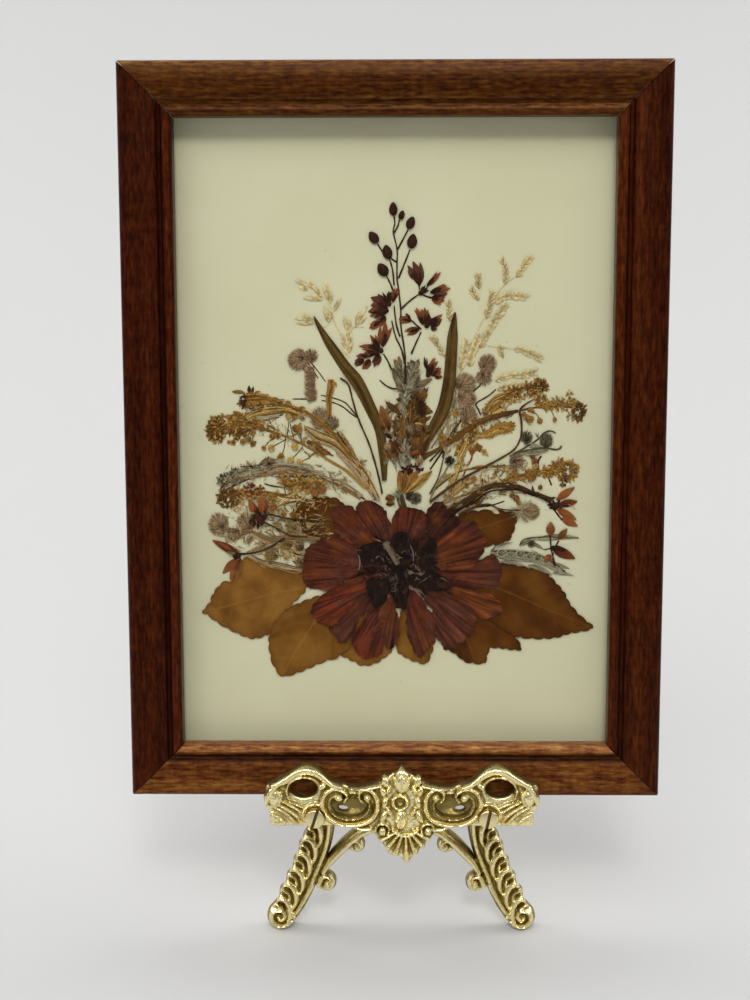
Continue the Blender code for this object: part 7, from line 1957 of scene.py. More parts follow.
def make_long_leaf(node, points, widths, finish, seed):
    """A grass-like blade, ribbed along its length, with one dark line along it."""
    leaf = Relief([strip(points, widths)], 0.3)
    gap, place, side = leaf.near_path(smooth_path(points, 4))
    across = gap * side
    ribs = np.array([noise.noise((a * 1.6, p * 3.0, seed)) for a, p in zip(across, place)])
    fine = np.cos(across * 2 * pi / 0.55)
    leaf.height = 0.3 - 0.12 * gap + 0.05 * fine + 0.14 * ribs
    leaf.height = np.maximum(leaf.height, 0.0)
    color = blend_tints(tone(104, 78, 32), tone(62, 42, 14), 0.4 + 1.3 * ribs)
    # A pale stripe on one side and a dark line on the other run along the blade, in its colour only.
    bright = np.exp(-((across - 0.5) / 0.2) ** 2) * (ribs > -0.1)
    groove = np.exp(-((across + 0.45) / 0.16) ** 2)
    edge = np.exp(-leaf.from_edge / 0.2)
    color = blend_tints(color, tone(140, 108, 56), 0.12 * fine + 0.5 * bright)
    color = blend_tints(color, tone(44, 26, 12), groove * 0.8 + edge * 0.5)
    lay_sheet(leaf, f"{node}_dried", 0.12, finish, "olive_leaf", node, color,
              np.column_stack([across, place * 50, across * 0 + seed]))


def make_long_leaves(skin):
    make_long_leaf("long_leaf_left",
                   [(-21.5, 32), (-18.5, 26.5), (-13.5, 19), (-10, 14.5), (-6.5, 7.5), (-4, 1.5),
                    (-3, -6.5), (-2.8, -12)], [0.3, 2.6, 3.4, 3.0, 2.4, 1.2], skin, 2.0)
    make_long_leaf("long_leaf_right",
                   [(16, 33), (15.5, 28), (15, 21), (14.5, 14.5), (13, 7.5), (10, 1.5), (6, -6.5)],
                   [0.4, 2.8, 3.2, 3.4, 3.0, 1.2], skin, 5.0)


PETALS = {
    "petal_lower_left_dusky": (
        [(-12.5, -46), (-18, -51.5), (-16.5, -54.5), (-14.5, -56.5), (-12, -55.5), (-9.5, -49.5),
         (-4.5, -43), (-7.5, -41.5)], PETAL_DUSKY, PETAL_DUSKY),
    "petal_right": (
        [(7.5, -35.5), (15.5, -35.5), (21.5, -34.5), (26, -32), (28.5, -34), (29, -37.5), (27.5, -41),
         (23, -41.5), (17.5, -42), (12, -40.5), (7.5, -39)], PETAL_RED, PETAL_DUSKY),
    "petal_lower_right_orange": (
        [(10, -39.5), (14.5, -41), (18.5, -41), (22, -42), (26, -43), (29.5, -46.5), (29, -48),
         (26.5, -49), (23, -50), (20, -46.5), (15.5, -44), (10.5, -42)], PETAL_ORANGE, PETAL_ORANGE),
    "petal_bottom_left": (
        [(-8.5, -50.5), (-11.5, -54), (-11.5, -57.5), (-10, -60), (-7, -61), (-4.5, -60.5), (-3, -58),
         (-2.5, -53.5), (-4.5, -48.5), (-4, -43), (-7, -44)], PETAL_DUSKY, PETAL_BRIGHT),
    "petal_bottom": (
        [(-4, -43), (-4.5, -48), (-4, -52), (-3, -56), (-2, -58), (-0.5, -58), (1, -55), (1.5, -52),
         (0.4, -47), (0, -43)], PETAL_ORANGE, PETAL_DUSKY),
    "petal_lower_right": (
        [(6.5, -42), (9.5, -46.5), (10.5, -50.5), (11, -55), (13, -56.5), (15.5, -58), (18.5, -56.5),
         (21.5, -52.5), (22, -48.5), (19.5, -45.5), (15.5, -43.5), (10, -40.5)],
        PETAL_DUSKY, PETAL_DUSKY),
    "petal_bottom_right": (
        [(2.5, -42), (3, -46.5), (3, -50.5), (3.5, -55), (5.5, -59.5), (7, -60.5), (9.5, -58),
         (11, -54.5), (10.5, -49.5), (8.5, -46), (6, -42)], PETAL_RED, PETAL_DUSKY),
    "petal_left": (
        [(-13.5, -27.5), (-19.5, -28), (-23, -29.5), (-24.5, -32), (-25, -37.5), (-24.6, -40),
         (-21, -42), (-16.5, -41.5), (-12.5, -39), (-8.5, -36.5), (-4, -34.5), (-6, -29)],
        PETAL_DUSKY, PETAL_RED),
    "petal_lower_left": (
        [(-4.5, -37), (-9.5, -38), (-15.5, -40.5), (-20, -43.5), (-22.5, -46.5), (-22.5, -49),
         (-19.5, -51.5), (-16.5, -51.5), (-13.5, -48.5), (-10, -44), (-6, -41.5), (-3, -39)],
        PETAL_BRIGHT, PETAL_BRIGHT),
    "petal_top_left": (
        [(-0.5, -25), (-1.5, -23), (-2.5, -20.5), (-3.5, -19), (-7, -17), (-9.5, -18), (-10.5, -20.5),
         (-8.5, -23.5), (-4.5, -27.5), (-1, -29.5)], PETAL_DUSKY, PETAL_RED),
    "petal_upper_left": (
        [(-6, -26), (-8.5, -23.5), (-11, -19.5), (-15, -18.5), (-16.5, -20), (-17, -22), (-16, -25.5),
         (-14, -27.5), (-11.5, -29), (-8.5, -29.5), (-4, -30.5)], PETAL_ORANGE, PETAL_RED),
    "petal_top": (
        [(0, -20.5), (2.5, -19), (6, -19.5), (8, -20.5), (9, -23.5), (8, -27), (5.5, -30), (2, -30.5),
         (0, -27.5), (-1, -23.5)], PETAL_RED, PETAL_RED),
    "petal_upper_right": (
        [(14.5, -23.5), (17, -22.5), (21, -23), (23, -25.5), (24.5, -29), (23.5, -32.5), (21, -35.5),
         (15.5, -36.5), (10, -36), (7.5, -34), (9.5, -29.5), (11.5, -26.5)], PETAL_ORANGE, PETAL_RED),
    "petal_top_right_dark": (
        [(11.5, -17.5), (13.5, -18.5), (16, -21), (17.5, -23.5), (15, -25.5), (9, -29), (6.5, -29.5),
         (8.5, -25), (8.5, -21.5), (9.5, -19)], PETAL_BLACK, PETAL_BLACK),
}
ORANGE_PETALS = ("petal_upper_right", "petal_lower_right_orange", "petal_lower_left")


def make_petal(node, outline, foot, rim, finish, seed):
    """A petal with fine folds that fan out from the flower's middle, and a darker edge."""
    petal = Relief([ruffled(outline, seed)], 0.34)
    dx = petal.x - FLOWER_X
    dy = petal.y - FLOWER_Y
    away = np.hypot(dx, dy)
    angle = np.arctan2(dy, dx)
    angle = np.where(angle < -pi / 2, angle + 2 * pi, angle) if outline[0][0] < FLOWER_X else angle
    fold = np.array([noise.noise((a * 9, d * 0.05, seed)) for a, d in zip(angle, away)])
    thread = np.array([noise.noise((a * 34, d * 0.07, seed + 4)) for a, d in zip(angle, away)])
    hair = np.array([noise.noise((a * 75, d * 0.12, seed + 5)) for a, d in zip(angle, away)])
    blotch = petal.noise_at(2.4, seed + 7)
    edge = np.exp(-petal.from_edge / 0.5)
    petal.height = np.maximum(0.14 + 0.22 * fold + 0.11 * thread + 0.08 * blotch, 0.0) + 0.16 * edge
    reach = (away - away.min()) / (away.max() - away.min())
    patch = petal.noise_at(4.5, seed + 13)
    color = blend_tints(foot, rim, reach * 1.2 - 0.1 + blotch * 0.4)
    color = blend_tints(color, PETAL_DUSKY, patch * 1.6 + blotch * 0.5)
    color = blend_tints(color, PETAL_ORANGE, patch * -1.4 - 0.1 + blotch * 0.5)
    color = color * (1 + 0.8 * thread + 0.35 * fold + 0.9 * hair)[:, None]
    color = blend_tints(color, PETAL_BLACK, edge * 0.35 + blotch * 0.7 + np.clip(0.4 - reach, 0, 1) * 1.2)
    slot = "red_petal" if node in ORANGE_PETALS else "dark_red_petal"
    lay_sheet(petal, f"{node}_dried", 0.09, finish, slot, node, color,
              np.column_stack([angle * 20, away, away * 0 + seed]))


def make_bed(velvet):
    """The feet of the petals, crowded together under the flower."""
    bed = Relief([smooth_loop([(-11, -27.5), (-3, -26), (5, -26), (13, -27), (15, -34), (14, -41),
                               (6, -46), (-4, -47), (-11, -43), (-13, -36)], 3)], 0.45)
    angle = np.arctan2(bed.y - FLOWER_Y, bed.x - FLOWER_X)
    fold = np.array([noise.noise((a * 6, 0.0, 8.0)) for a in angle])
    bed.height = np.maximum(0.15 + 0.3 * fold, 0.0)
    lay_sheet(bed, "flower_heart_bed", 0.1, velvet, "flower_heart", "flower_heart",
              blend_tints(PETAL_BLACK, PETAL_DUSKY, 0.3 + fold))


def make_heart(velvet):
    """The crumpled dark middle, with stamens and pale threads on it."""
    shapes = [[(-0.5, -26.5), (3, -26), (5, -29.5), (4, -35), (1, -35.5), (-0.5, -31)],
              [(6.5, -27.5), (10.5, -27.5), (11.5, -31), (10, -35.5), (6, -36.5), (5.5, -31.5)],
              [(-7.5, -39), (-3, -38), (-2, -44), (-5.5, -46.5), (-7.5, -42)],
              [(-2, -37), (3.5, -37.5), (4, -41.5), (3, -46.5), (1, -46.5), (-1.5, -42)],
              [(4, -35.5), (10, -36), (15, -40.5), (13, -42), (7.5, -41.5), (3.5, -40)],
              [(-9.5, -30), (-3.5, -28.5), (0, -32.5), (-0.5, -35.5), (-6, -36), (-9.5, -34)]]
    heart = Relief([smooth_loop(shape, 3) for shape in shapes] + [oval(1, -36, 10, 8, sides=20)], 0.3)
    angle = np.arctan2(heart.y - FLOWER_Y, heart.x - FLOWER_X)
    away = np.hypot(heart.x - FLOWER_X, heart.y - FLOWER_Y)
    fold = np.array([noise.noise((a * 5 + 9, d * 0.25, 3.0)) for a, d in zip(angle, away)])
    crease = 1 - 2.6 * np.abs(heart.noise_at(1.7, 2.0)) - 1.6 * np.abs(heart.noise_at(0.8, 6.0))
    heart.height = np.maximum(0.15 + 0.4 * crease + 0.35 * fold, 0.0)
    color = blend_tints(HEART_DARK, HEART_EDGE, crease * 0.35 + fold * 0.8 - 0.05)
    lay_sheet(heart, "flower_heart_crumpled", 0.1, velvet, "flower_heart", "flower_heart", color)
    bits = Spray("flower_heart_stamens", 41)
    bits.bundle([(-2.6, -28.6), (-1, -31), (1, -34.6)], [0.9, 1.2, 0.9],
                [STAMEN, tone(96, 80, 64), STAMEN], 5, 0.5)
    bits.bundle([(4.6, -40.6), (6.6, -42.2), (8, -44.2)], [0.8, 1.0, 1.1], [STAMEN, tone(110, 84, 66)], 4,
                0.4)
    for line in ([(-5.4, -27.8), (-3.8, -28.6), (-2.6, -30.6)], [(6.8, -28.8), (5.8, -31), (5.4, -33)],
                 [(-11, -31.8), (-10.2, -30.8), (-7.8, -31)], [(9.4, -40.8), (11.4, -42), (14.6, -41)],
                 [(-4.6, -36.2), (-2.6, -35), (-1, -36.4)], [(-3.8, -31.8), (-3, -33.8), (-1.4, -36.2)],
                 [(3.4, -36.2), (4.6, -37), (7.4, -37.4)], [(-6.2, -38.2), (-3.8, -37.4), (-0.6, -38.2)],
                 [(4.2, -29.4), (5, -31.8), (5, -34.6)], [(10.6, -39), (13, -38.6), (14.6, -40.2)],
                 [(6.2, -40.2), (8.6, -38.6), (9.8, -37.8)],
                 [(-9.8, -32.2), (-9.4, -34.2), (-9.8, -36.2)]):
        bits.stem(line, [0.2, 0.3, 0.2],
                  bits.random.choice([STAMEN, tone(158, 138, 112), tone(96, 70, 56)]), 0.8, 0.15)
    for x, y in ((4.2, -37), (-1.8, -29), (7.6, -44.4), (7, -37.4), (-2, -43.6)):
        bits.bud(x, y, 1.4, 1.0, bits.random.uniform(0, 180), tone(104, 88, 74), STAMEN, 0.4, 0.1)
    for _ in range(150):
        a = bits.random.uniform(0, 2 * pi)
        near = bits.random.uniform(0.5, 8.5)
        x, y = FLOWER_X + near * cos(a) * 1.2, FLOWER_Y + 0.5 + near * sin(a) * 0.95
        turn = a + bits.random.uniform(-0.8, 0.8)
        far = bits.random.uniform(1.2, 2.8)
        bits.put("petal", (x, y), at_angle(x, y, far, turn), bits.random.uniform(0.4, 1.0), 0.4, HEART_DARK,
                 bits.random.choice([HEART_DARK, HEART_DARK, HEART_EDGE, PETAL_BLACK, tone(84, 66, 56)]),
                 bits.random.uniform(0, 0.25), bits.random.uniform(-0.2, 0.2))
    for _ in range(26):
        a = bits.random.uniform(0, 2 * pi)
        near = bits.random.uniform(2.0, 7.5)
        x, y = FLOWER_X + near * cos(a) * 1.2, FLOWER_Y + 0.5 + near * sin(a)
        turn = bits.random.uniform(0, 2 * pi)
        curl = bits.random.choice([-1.2, 1.2])
        knee = at_angle(x, y, 0.9, turn)
        bits.stem([(x, y), knee, at_angle(*knee, 0.9, turn + curl)], [0.12, 0.2, 0.1],
                  bits.random.choice([STAMEN, tone(148, 130, 108)]), 0.8, 0.3, sides=4)
    bits.done(velvet, "flower_heart", "flower_heart")


def make_plants():
    make_leaves()
    skin = ribbed_stuff("blade_skin", 0.6)
    straw = dried_stuff("straw", 0.62, 1400.0)
    wool = dried_stuff("crimped_wool", 0.9, 2200.0)
    gold = dried_stuff("dried_gold", 0.75, 1800.0)
    grey = dried_stuff("grey_fuzz", 0.9, 2000.0)
    rusty = dried_stuff("rust_florets", 0.7, 1500.0)
    warm = dried_stuff("sienna_tubes", 0.7, 1300.0)
    velvet = dried_stuff("petal_velvet", 0.62, 1600.0)
    make_grasses(straw)
    make_crimped_heads(wool)
    make_left_gold(gold, grey)
    make_left_florets(rusty)
    make_right_gold(gold)
    make_long_leaves(skin)
    make_right_grey(grey, rusty)
    make_centre_heads(grey, warm)
    make_burgundy_spray(dried_stuff("burgundy_florets", 0.68, 1500.0))
    make_bed(velvet)
    ribbed = ribbed_stuff("petal_ribs")
    for seed, (node, (outline, foot, rim)) in enumerate(PETALS.items()):
        make_petal(node, outline, foot, rim, ribbed, seed * 3.7)
    make_heart(velvet)


# ---------------------------------------------------------------- the easel

def bar_outline():
    half = [(12.4, -104.3), (15.0, -103.8), (20.0, -103.8), (25.0, -103.8), (30.0, -103.8),
            (34.9, -103.8), (35.4, -102.2), (35.3, -100.6), (35.9, -99.2), (36.7, -97.6), (37.0, -96.0),
            (36.6, -94.4), (36.5, -93.0), (35.4, -91.8), (33.8, -91.2), (32.6, -90.3), (30.8, -89.5),
            (29.2, -88.3), (27.2, -87.2), (25.4, -86.8), (23.4, -87.2), (21.8, -88.2), (20.2, -89.6),
            (18.6, -91.0), (16.6, -91.6), (14.6, -92.3), (12.6, -92.6), (10.4, -92.4), (8.6, -92.0),
            (6.8, -91.6), (5.8, -91.0), (5.2, -89.8), (4.4, -89.3), (3.4, -89.8), (2.4, -88.9),
            (1.2, -88.3)]
    shell = [(-10.6, -105.2), (-8.4, -105.5), (-7.0, -106.3), (-6.2, -107.4), (-5.4, -108.0),
             (-4.8, -109.2), (-3.9, -110.0), (-3.6, -111.2), (-2.4, -111.8), (-1.2, -111.9),
             (0.1, -112.9), (1.5, -113.9), (2.6, -112.8), (3.2, -111.8), (4.4, -111.2), (5.1, -110.0),
             (6.2, -109.4), (6.6, -108.2), (7.6, -107.5), (8.6, -106.2), (10.6, -105.2)]
    return half + [(0.0, -87.0)] + mirrored(half[::-1]) + shell


def carve_bar(bar):
    """Raises the bar's cast work: crown, rosette, shell and, at each side, scroll, arch and leaves."""
    low = 19.4
    top = BAR_FRONT
    bar.height[:] = low
    for side in (1, -1):
        def on(points):
            return [(side * x, y) for x, y in points]

        # The pebbled ground at the end, with fine ribs that run down towards the screw.
        for rib in ([(34.6, -98.2), (32.6, -99.0), (30.2, -100.8), (28.2, -103.0)],
                    [(33.6, -97.4), (31.0, -98.8), (28.6, -100.6), (26.8, -102.6)],
                    [(31.6, -96.9), (29.2, -98.2), (27.0, -99.8)],
                    [(34.9, -100.2), (33.2, -101.0), (31.2, -102.8)],
                    [(29.8, -96.8), (27.6, -97.8), (25.8, -98.6)]):
            bar.ridge(on(rib), [0.7, 1.1, 0.7], 19.5, 20.5, 0.8)
        bar.dome(side * 33.9, -95.6, 5.4, 4.2, 70 * side, 19.7, 20.9, 0.7)
        bar.ridge(on([(36.2, -97.4), (35.7, -95.2), (34.6, -93.4), (33.0, -92.2)]), [1.0, 1.7, 1.7, 1.2],
                  19.7, top, 0.7)
        bar.ridge(on([(33.8, -98.0), (32.6, -96.6), (32.3, -94.8), (33.2, -93.6)]), [0.8, 1.2, 1.2, 0.8],
                  19.7, 20.9, 0.7)
        # The arch over the hole is one thick roll, with a thin ring inside it.
        bar.ridge(on([(34.4, -92.3), (32.0, -91.4), (29.8, -89.9), (27.4, -88.5), (25.2, -88.1),
                      (23.0, -88.7), (20.8, -90.2), (18.8, -91.9), (16.4, -92.8)]),
                  [1.6, 2.2, 2.5, 2.7, 2.7, 2.6, 2.4, 2.0, 1.3], 19.6, top, 0.7)
        bar.ridge(on([(30.2, -96.0), (30.7, -93.8), (29.8, -91.8), (28.0, -90.5), (25.8, -90.0),
                      (23.6, -90.5), (22.2, -91.8), (21.8, -93.4)]),
                  [0.7, 1.0, 1.0, 0.9, 0.9, 0.9, 0.8, 0.6], 19.6, 20.7, 0.7)
        bar.dome(side * 21.2, -92.6, 3.0, 1.7, -50 * side, 19.6, 20.7, 0.7)
        # The C-scroll: a roll with a thinner rim inside, curled in at both ends over a deep hollow.
        bar.pit(side * 13.6, -98.4, 12.4, 7.6, -3 * side, 2.6)
        bar.ridge(on([(15.4, -96.8), (14.5, -95.4), (15.5, -93.9), (17.6, -93.1), (19.9, -94.1),
                      (21.1, -96.1), (21.1, -98.7), (19.8, -101.0), (16.7, -102.9), (12.6, -103.2),
                      (8.7, -102.1), (6.8, -99.7), (6.5, -96.8), (7.4, -94.4), (9.2, -93.2),
                      (11.0, -94.0), (11.3, -95.6), (10.4, -96.8)]),
                  [1.0, 1.3, 1.6, 1.8, 1.8, 1.9, 1.9, 1.9, 1.8, 1.8, 1.9, 1.9, 1.9, 1.8, 1.7, 1.5, 1.3,
                   1.0], 18.4, top, 0.7)
        bar.ridge(on([(17.6, -94.9), (19.1, -96.2), (19.3, -98.4), (17.8, -100.6), (14.4, -101.7),
                      (11.0, -101.2), (8.9, -99.4), (8.6, -97.4), (9.6, -96.4)]),
                  [0.7, 0.9, 0.9, 0.9, 0.9, 0.9, 0.9, 0.9, 0.7], 18.6, 20.5, 0.7)
        bar.dome(side * 16.8, -95.8, 3.0, 2.6, 20 * side, 18.6, 21.0, 0.6)
        bar.dome(side * 9.2, -95.7, 2.7, 2.6, 0, 18.6, 21.0, 0.6)
        # The bright edge in the valley of the top.
        bar.ridge(on([(5.8, -92.4), (8.6, -92.9), (11.4, -93.2), (14.0, -93.0)]), [1.2, 1.4, 1.2, 0.8],
                  19.6, 21.0, 0.7)
        # The collar of the screw.
        bar.ridge(on([(26.4, -100.2), (25.4, -98.4), (23.2, -97.5), (21.0, -98.3), (19.9, -100.0)]),
                  [0.6, 0.9, 0.9, 0.9, 0.6], 19.6, 20.3, 0.7)
        hole = bar.round_gap(side * SCREW_X, SCREW_Y, 5.8, 5.8, 0)
        bar.height = np.where(hole < 1, 19.2, bar.height)
        # The leaves that stand one over another beside the rosette.
        for x, y, long, wide, angle in (
            (4.4, -91.2, 3.8, 2.2, 68), (5.0, -94.0, 3.4, 1.7, 78), (3.4, -93.6, 2.8, 1.2, 110),
            (4.5, -97.2, 3.4, 1.7, 100), (3.2, -99.6, 3.0, 1.4, 62), (4.9, -101.0, 3.8, 1.7, 112)):
            bar.dome(side * x, y, long, wide, angle * side, 19.6, 20.8, 0.7)
            bar.groove(on([(x - 0.4, y + long * 0.3), (x + 0.1, y - long * 0.3)]), 0.35, 0.35)
        # The hooks on both sides of the shell.
        bar.pit(1.0 + side * 6.1, -104.5, 4.2, 4.2, 0, 0.7)
        curl = [(1.0 + side * (6.1 + 1.75 * cos(t)), -104.5 + 1.75 * sin(t))
                for t in np.linspace(-0.7, 3.9, 16)]
        bar.ridge(curl, [0.7, 1.1, 1.1, 0.8], 18.6, 20.9, 0.7, steps=1)
        bar.dome(1.0 + side * 6.1, -104.9, 3.1, 2.5, 90, 19.0, top, 0.6)
        bar.ridge(on([(8.4, -104.4), (11.0, -104.4), (13.6, -103.6)]), [1.3, 1.3, 0.8], 19.5, 20.7, 0.7)
    # The shell: thick ribs that spread from under the drop to its pointed edge.
    for x, y in ((-5.6, -107.6), (-4.2, -110.2), (-1.8, -111.8), (1.4, -113.6), (3.8, -111.4),
                 (5.8, -109.4), (7.4, -107.3)):
        near = Vector((1.0, -103.6))
        foot = near + (Vector((x, y)) - near).normalized() * 2.5
        bar.ridge([tuple(foot), (x, y)], [0.8, 1.25, 1.5], 19.3, 20.9, 0.7, steps=1)
    bar.ridge([(-2.4, -104.6), (-0.9, -105.7), (1.0, -106.1), (2.9, -105.7), (4.4, -104.6)],
              [0.9, 1.1, 1.2, 1.1, 0.9], 19.4, 20.9, 0.7)
    # The crown leaf, the ring-shaped rosette with a pebbled pit, and the drop below it.
    bar.dome(0.1, -91.0, 7.0, 4.6, 90, 19.6, top, 0.6)
    bar.groove([(-1.7, -91.0), (0, -89.2), (1.8, -91.0)], 0.5, 0.6)
    bar.groove([(0.1, -89.8), (0.1, -93.6)], 0.45, 0.5)
    ring = [(-0.4 + 1.9 * cos(a), -96.9 + 1.9 * sin(a)) for a in np.linspace(0, 2 * pi, 25)]
    bar.ridge(ring, 1.1, 19.5, 21.0, 0.7, steps=1)
    bar.pit(-0.4, -96.9, 2.6, 2.6, 0, 0.5)
    bar.dome(-0.2, -101.8, 5.6, 3.0, 90, 19.6, 20.9, 0.6)
    bar.groove([(-1.1, -100.4), (-0.3, -102.0), (-0.4, -104.0)], 0.45, 0.5)
    bar.groove([(0.7, -99.8), (0.9, -102.2)], 0.35, 0.35)
    bar.roughen(0.16, 0.55, 3.0)
    bar.roughen(0.08, 0.28, 5.0)


def round_edge(cast, reach, drop):
    """Lets the front fall away in a quarter round towards the edge."""
    t = np.clip(cast.from_edge / reach, 0, 1)
    cast.height -= drop * (1 - np.sqrt(1 - (1 - t) ** 2))


def finish_casting(cast, name, back, brass, *nodes):
    hollow = cast.hollows()
    piece = cast.solid(name, back)
    set_number(piece, "hollow", cast.doubled(hollow))
    return settle(piece, EASEL, brass, "frame_and_easel", "cast_brass", *nodes)


def make_bar(brass):
    holes = [oval(side * 26.3, -93.3, 7.6, 4.9, side * 4, 36) for side in (-1, 1)]
    holes += [oval(side * SCREW_X, SCREW_Y, 3.4, 3.4) for side in (-1, 1)]
    holes += [oval(side * 15.6, -99.3, 2.6, 1.1, side * 10, 16) for side in (-1, 1)]
    bar = Relief([smooth_loop(bar_outline(), 2)], 0.26, holes)
    carve_bar(bar)
    bar.height = np.minimum(bar.softened(bar.height, 1), BAR_FRONT - 0.02)
    round_edge(bar, 0.8, 0.9)
    return finish_casting(bar, "easel_front_bar_cast", BAR_BACK, brass, "easel_front_bar")


def leg_outlines():
    """One front leg with its leafy edge, foot scroll, curls and half of the arch, on the right."""
    outer = [(25.4, -106.0), (26.2, -111.6), (27.8, -114.2), (28.0, -115.4), (29.0, -116.8),
             (29.2, -119.4), (30.7, -121.4), (30.9, -124.0), (32.6, -126.0), (32.8, -128.4),
             (34.6, -130.2), (34.8, -132.8), (36.2, -134.6), (37.6, -136.2)]
    inner = [(18.8, -106.0), (18.8, -111.6), (19.3, -115.0), (20.1, -118.2), (21.2, -121.4),
             (22.6, -124.8), (24.0, -128.2), (25.6, -131.8), (27.4, -135.2), (29.6, -138.4),
             (32.4, -141.2)]
    shapes = [outer + inner[::-1], oval(34.5, -138.3, 7.6, 7.6), oval(21.2, -128.1, 5.6, 5.8),
              strip([(21.0, -127), (24.4, -127.8)], [2.6, 2.6], 1),
              strip([(22.8, -125.4), (18.6, -120.0), (14.4, -115.8), (10.4, -113.0), (5.6, -111.9),
                     (0, -111.8)], [1.6, 3.2, 3.5, 3.4, 3.1, 3.0]), oval(12.7, -117.1, 5.0, 4.6),
              strip([(14.6, -114.8), (13.2, -117.0)], [3.6, 3.4], 1),
              strip([(22.4, -107), (20, -96), (13, -74), (4, -52)], [6.4, 5.2, 4.8, 5.0])]
    shapes += [oval(18.4, -84, 6, 4, -70), oval(12.6, -67, 5.4, 3.6, -70)]
    return shapes


def carve_legs(legs):
    low = -2.3
    top = LEG_BACK + LEG_THICK
    legs.height[:] = low
    for side in (1, -1):
        def on(points):
            return [(side * x, y) for x, y in points]

        # Leaves that overlap: each curls over from the edge and runs down into the stem, and is
        # hollow beneath its crest.
        for x, y in ((26.4, -110.0), (28.0, -115.0), (29.6, -119.4), (31.6, -124.0), (33.6, -128.4),
                     (35.4, -132.8)):
            legs.pit(side * (x - 1.4), y - 2.6, 5.6, 3.4, -64 * side, 0.8)
            legs.ridge(on([(x + 0.2, y - 0.6), (x - 1.3, y), (x - 2.9, y - 1.0), (x - 3.7, y - 3.2),
                           (x - 3.6, y - 5.6), (x - 2.7, y - 7.6)]), [1.2, 2.0, 2.2, 1.9, 1.5, 0.8], -2.3,
                       top, 0.65)
            legs.ridge(on([(x - 0.2, y - 2.2), (x - 1.4, y - 2.9), (x - 1.9, y - 4.4),
                           (x - 1.7, y - 6.0)]), [0.7, 1.2, 1.1, 0.5], -2.5, -1.0, 0.7)
        # The smooth stem on the inner side, and the strut that runs on beside it.
        legs.ridge(on([(20.6, -106), (20.4, -111.5), (20.8, -115.5), (21.8, -119.2), (23.2, -122.8),
                       (24.6, -126.2), (25.8, -129.6), (27.4, -132.7), (29.2, -135.8), (31.0, -138.2)]),
                   [1.7, 1.7, 1.6, 1.5, 1.4, 1.4, 1.4, 1.4, 1.3, 1.2], -2.0, -0.8, 0.7)
        legs.ridge(on([(0, -111.8), (5.6, -112.0), (10.4, -113.1), (14.4, -116.0), (17.8, -119.3),
                       (20.2, -121.9), (21.8, -124.8), (23.3, -128.2), (24.9, -131.8), (26.8, -135.2),
                       (29.2, -138.4), (32.2, -140.6)]),
                   [2.0, 2.1, 2.2, 2.2, 2.2, 2.1, 1.9, 1.8, 1.7, 1.7, 1.6, 1.5], -2.2, top, 0.7)
        # The scroll of the foot, the curl on the inner side, and the volute under the strut.
        for x, y, far, turn, sweep in ((34.5, -138.2, 3.0, 4.2, 8.6), (21.1, -128.1, 2.1, 0.6, 4.6),
                                       (12.7, -117.1, 1.75, 0.4, 4.4)):
            curl = [(x + far * (1 - 0.1 * t) * cos(turn + t), y + far * (1 - 0.1 * t) * sin(turn + t))
                    for t in np.linspace(0, sweep, 28)]
            legs.ridge(on(curl), [1.5, 1.5, 1.3, 1.0], -2.2, top, 0.7, steps=1)
        legs.dome(side * 20.9, -128.4, 2.4, 2.9, 0, -2.6, top, 0.6)
        legs.dome(side * 12.5, -117.3, 1.9, 2.3, 0, -2.6, top, 0.6)
        # The long arms behind the frame.
        legs.ridge(on([(22.0, -106), (19.8, -96), (16.2, -84), (12.6, -73), (8.2, -62), (4.6, -53)]),
                   [2.6, 2.4, 2.4, 2.2, 2.2, 2.4], -2.7, top)
        for x, y, reach in ((18.4, -84, 5.6), (12.6, -67, 5.0)):
            legs.dome(side * x, y, reach, 3.6, -70 * side, -2.7, -0.8)
        legs.ridge([(side * 3.4, -46.4), (side * 7.6, -40.4)], [1.8, 2.4, 1.2], -2.7, top, steps=1)
    rosette = [(5.4 * cos(a), -52 + 5.4 * sin(a)) for a in np.linspace(0, 2 * pi, 33)]
    legs.ridge(rosette, 2.6, -2.7, top, steps=1)
    for k in range(8):
        a = 2 * pi * k / 8
        legs.ridge([(0.8 * cos(a), -52 + 0.8 * sin(a)), (4.0 * cos(a), -52 + 4.0 * sin(a))], [0.9, 1.8],
                   -2.6, -0.9, steps=1)
    legs.ridge([(0, -45.6), (0, -35.2)], [2.4, 3.4, 1.2], -2.7, top, steps=1)
    legs.roughen(0.14, 0.6, 8.0)
    legs.roughen(0.07, 0.3, 9.0)


def rounded_block(name, low, high, bevel=0.8):
    """A cube set between two corners, with its edges bevelled."""
    deselect()
    middle = [(a + b) / 2 for a, b in zip(low, high)]
    bpy.ops.mesh.primitive_cube_add(size=1, location=middle)
    block = bpy.context.object
    block.name = name
    block.scale = [b - a for a, b in zip(low, high)]
    bpy.ops.object.transform_apply(location=True, rotation=True, scale=True)
    apply_modifier(block, "BEVEL", width=bevel, segments=4, limit_method="NONE")
    smooth_by_angle(block, 40)
    return block


def round_bar(name, radius, start, end, bevel=0.3, sides=40):
    """A cylinder between two points, with bevelled ends."""
    deselect()
    start = Vector(start)
    end = Vector(end)
    along = end - start
    bpy.ops.mesh.primitive_cylinder_add(
        vertices=sides, radius=radius, depth=along.length, location=(start + end) / 2,
        rotation=along.to_track_quat("Z", "Y").to_euler())
    piece = bpy.context.object
    piece.name = name
    bpy.ops.object.transform_apply(location=True, rotation=True, scale=True)
    apply_modifier(piece, "BEVEL", width=bevel, segments=3, limit_method="ANGLE", angle_limit=radians(50))
    smooth_by_angle(piece, 40)
    return piece


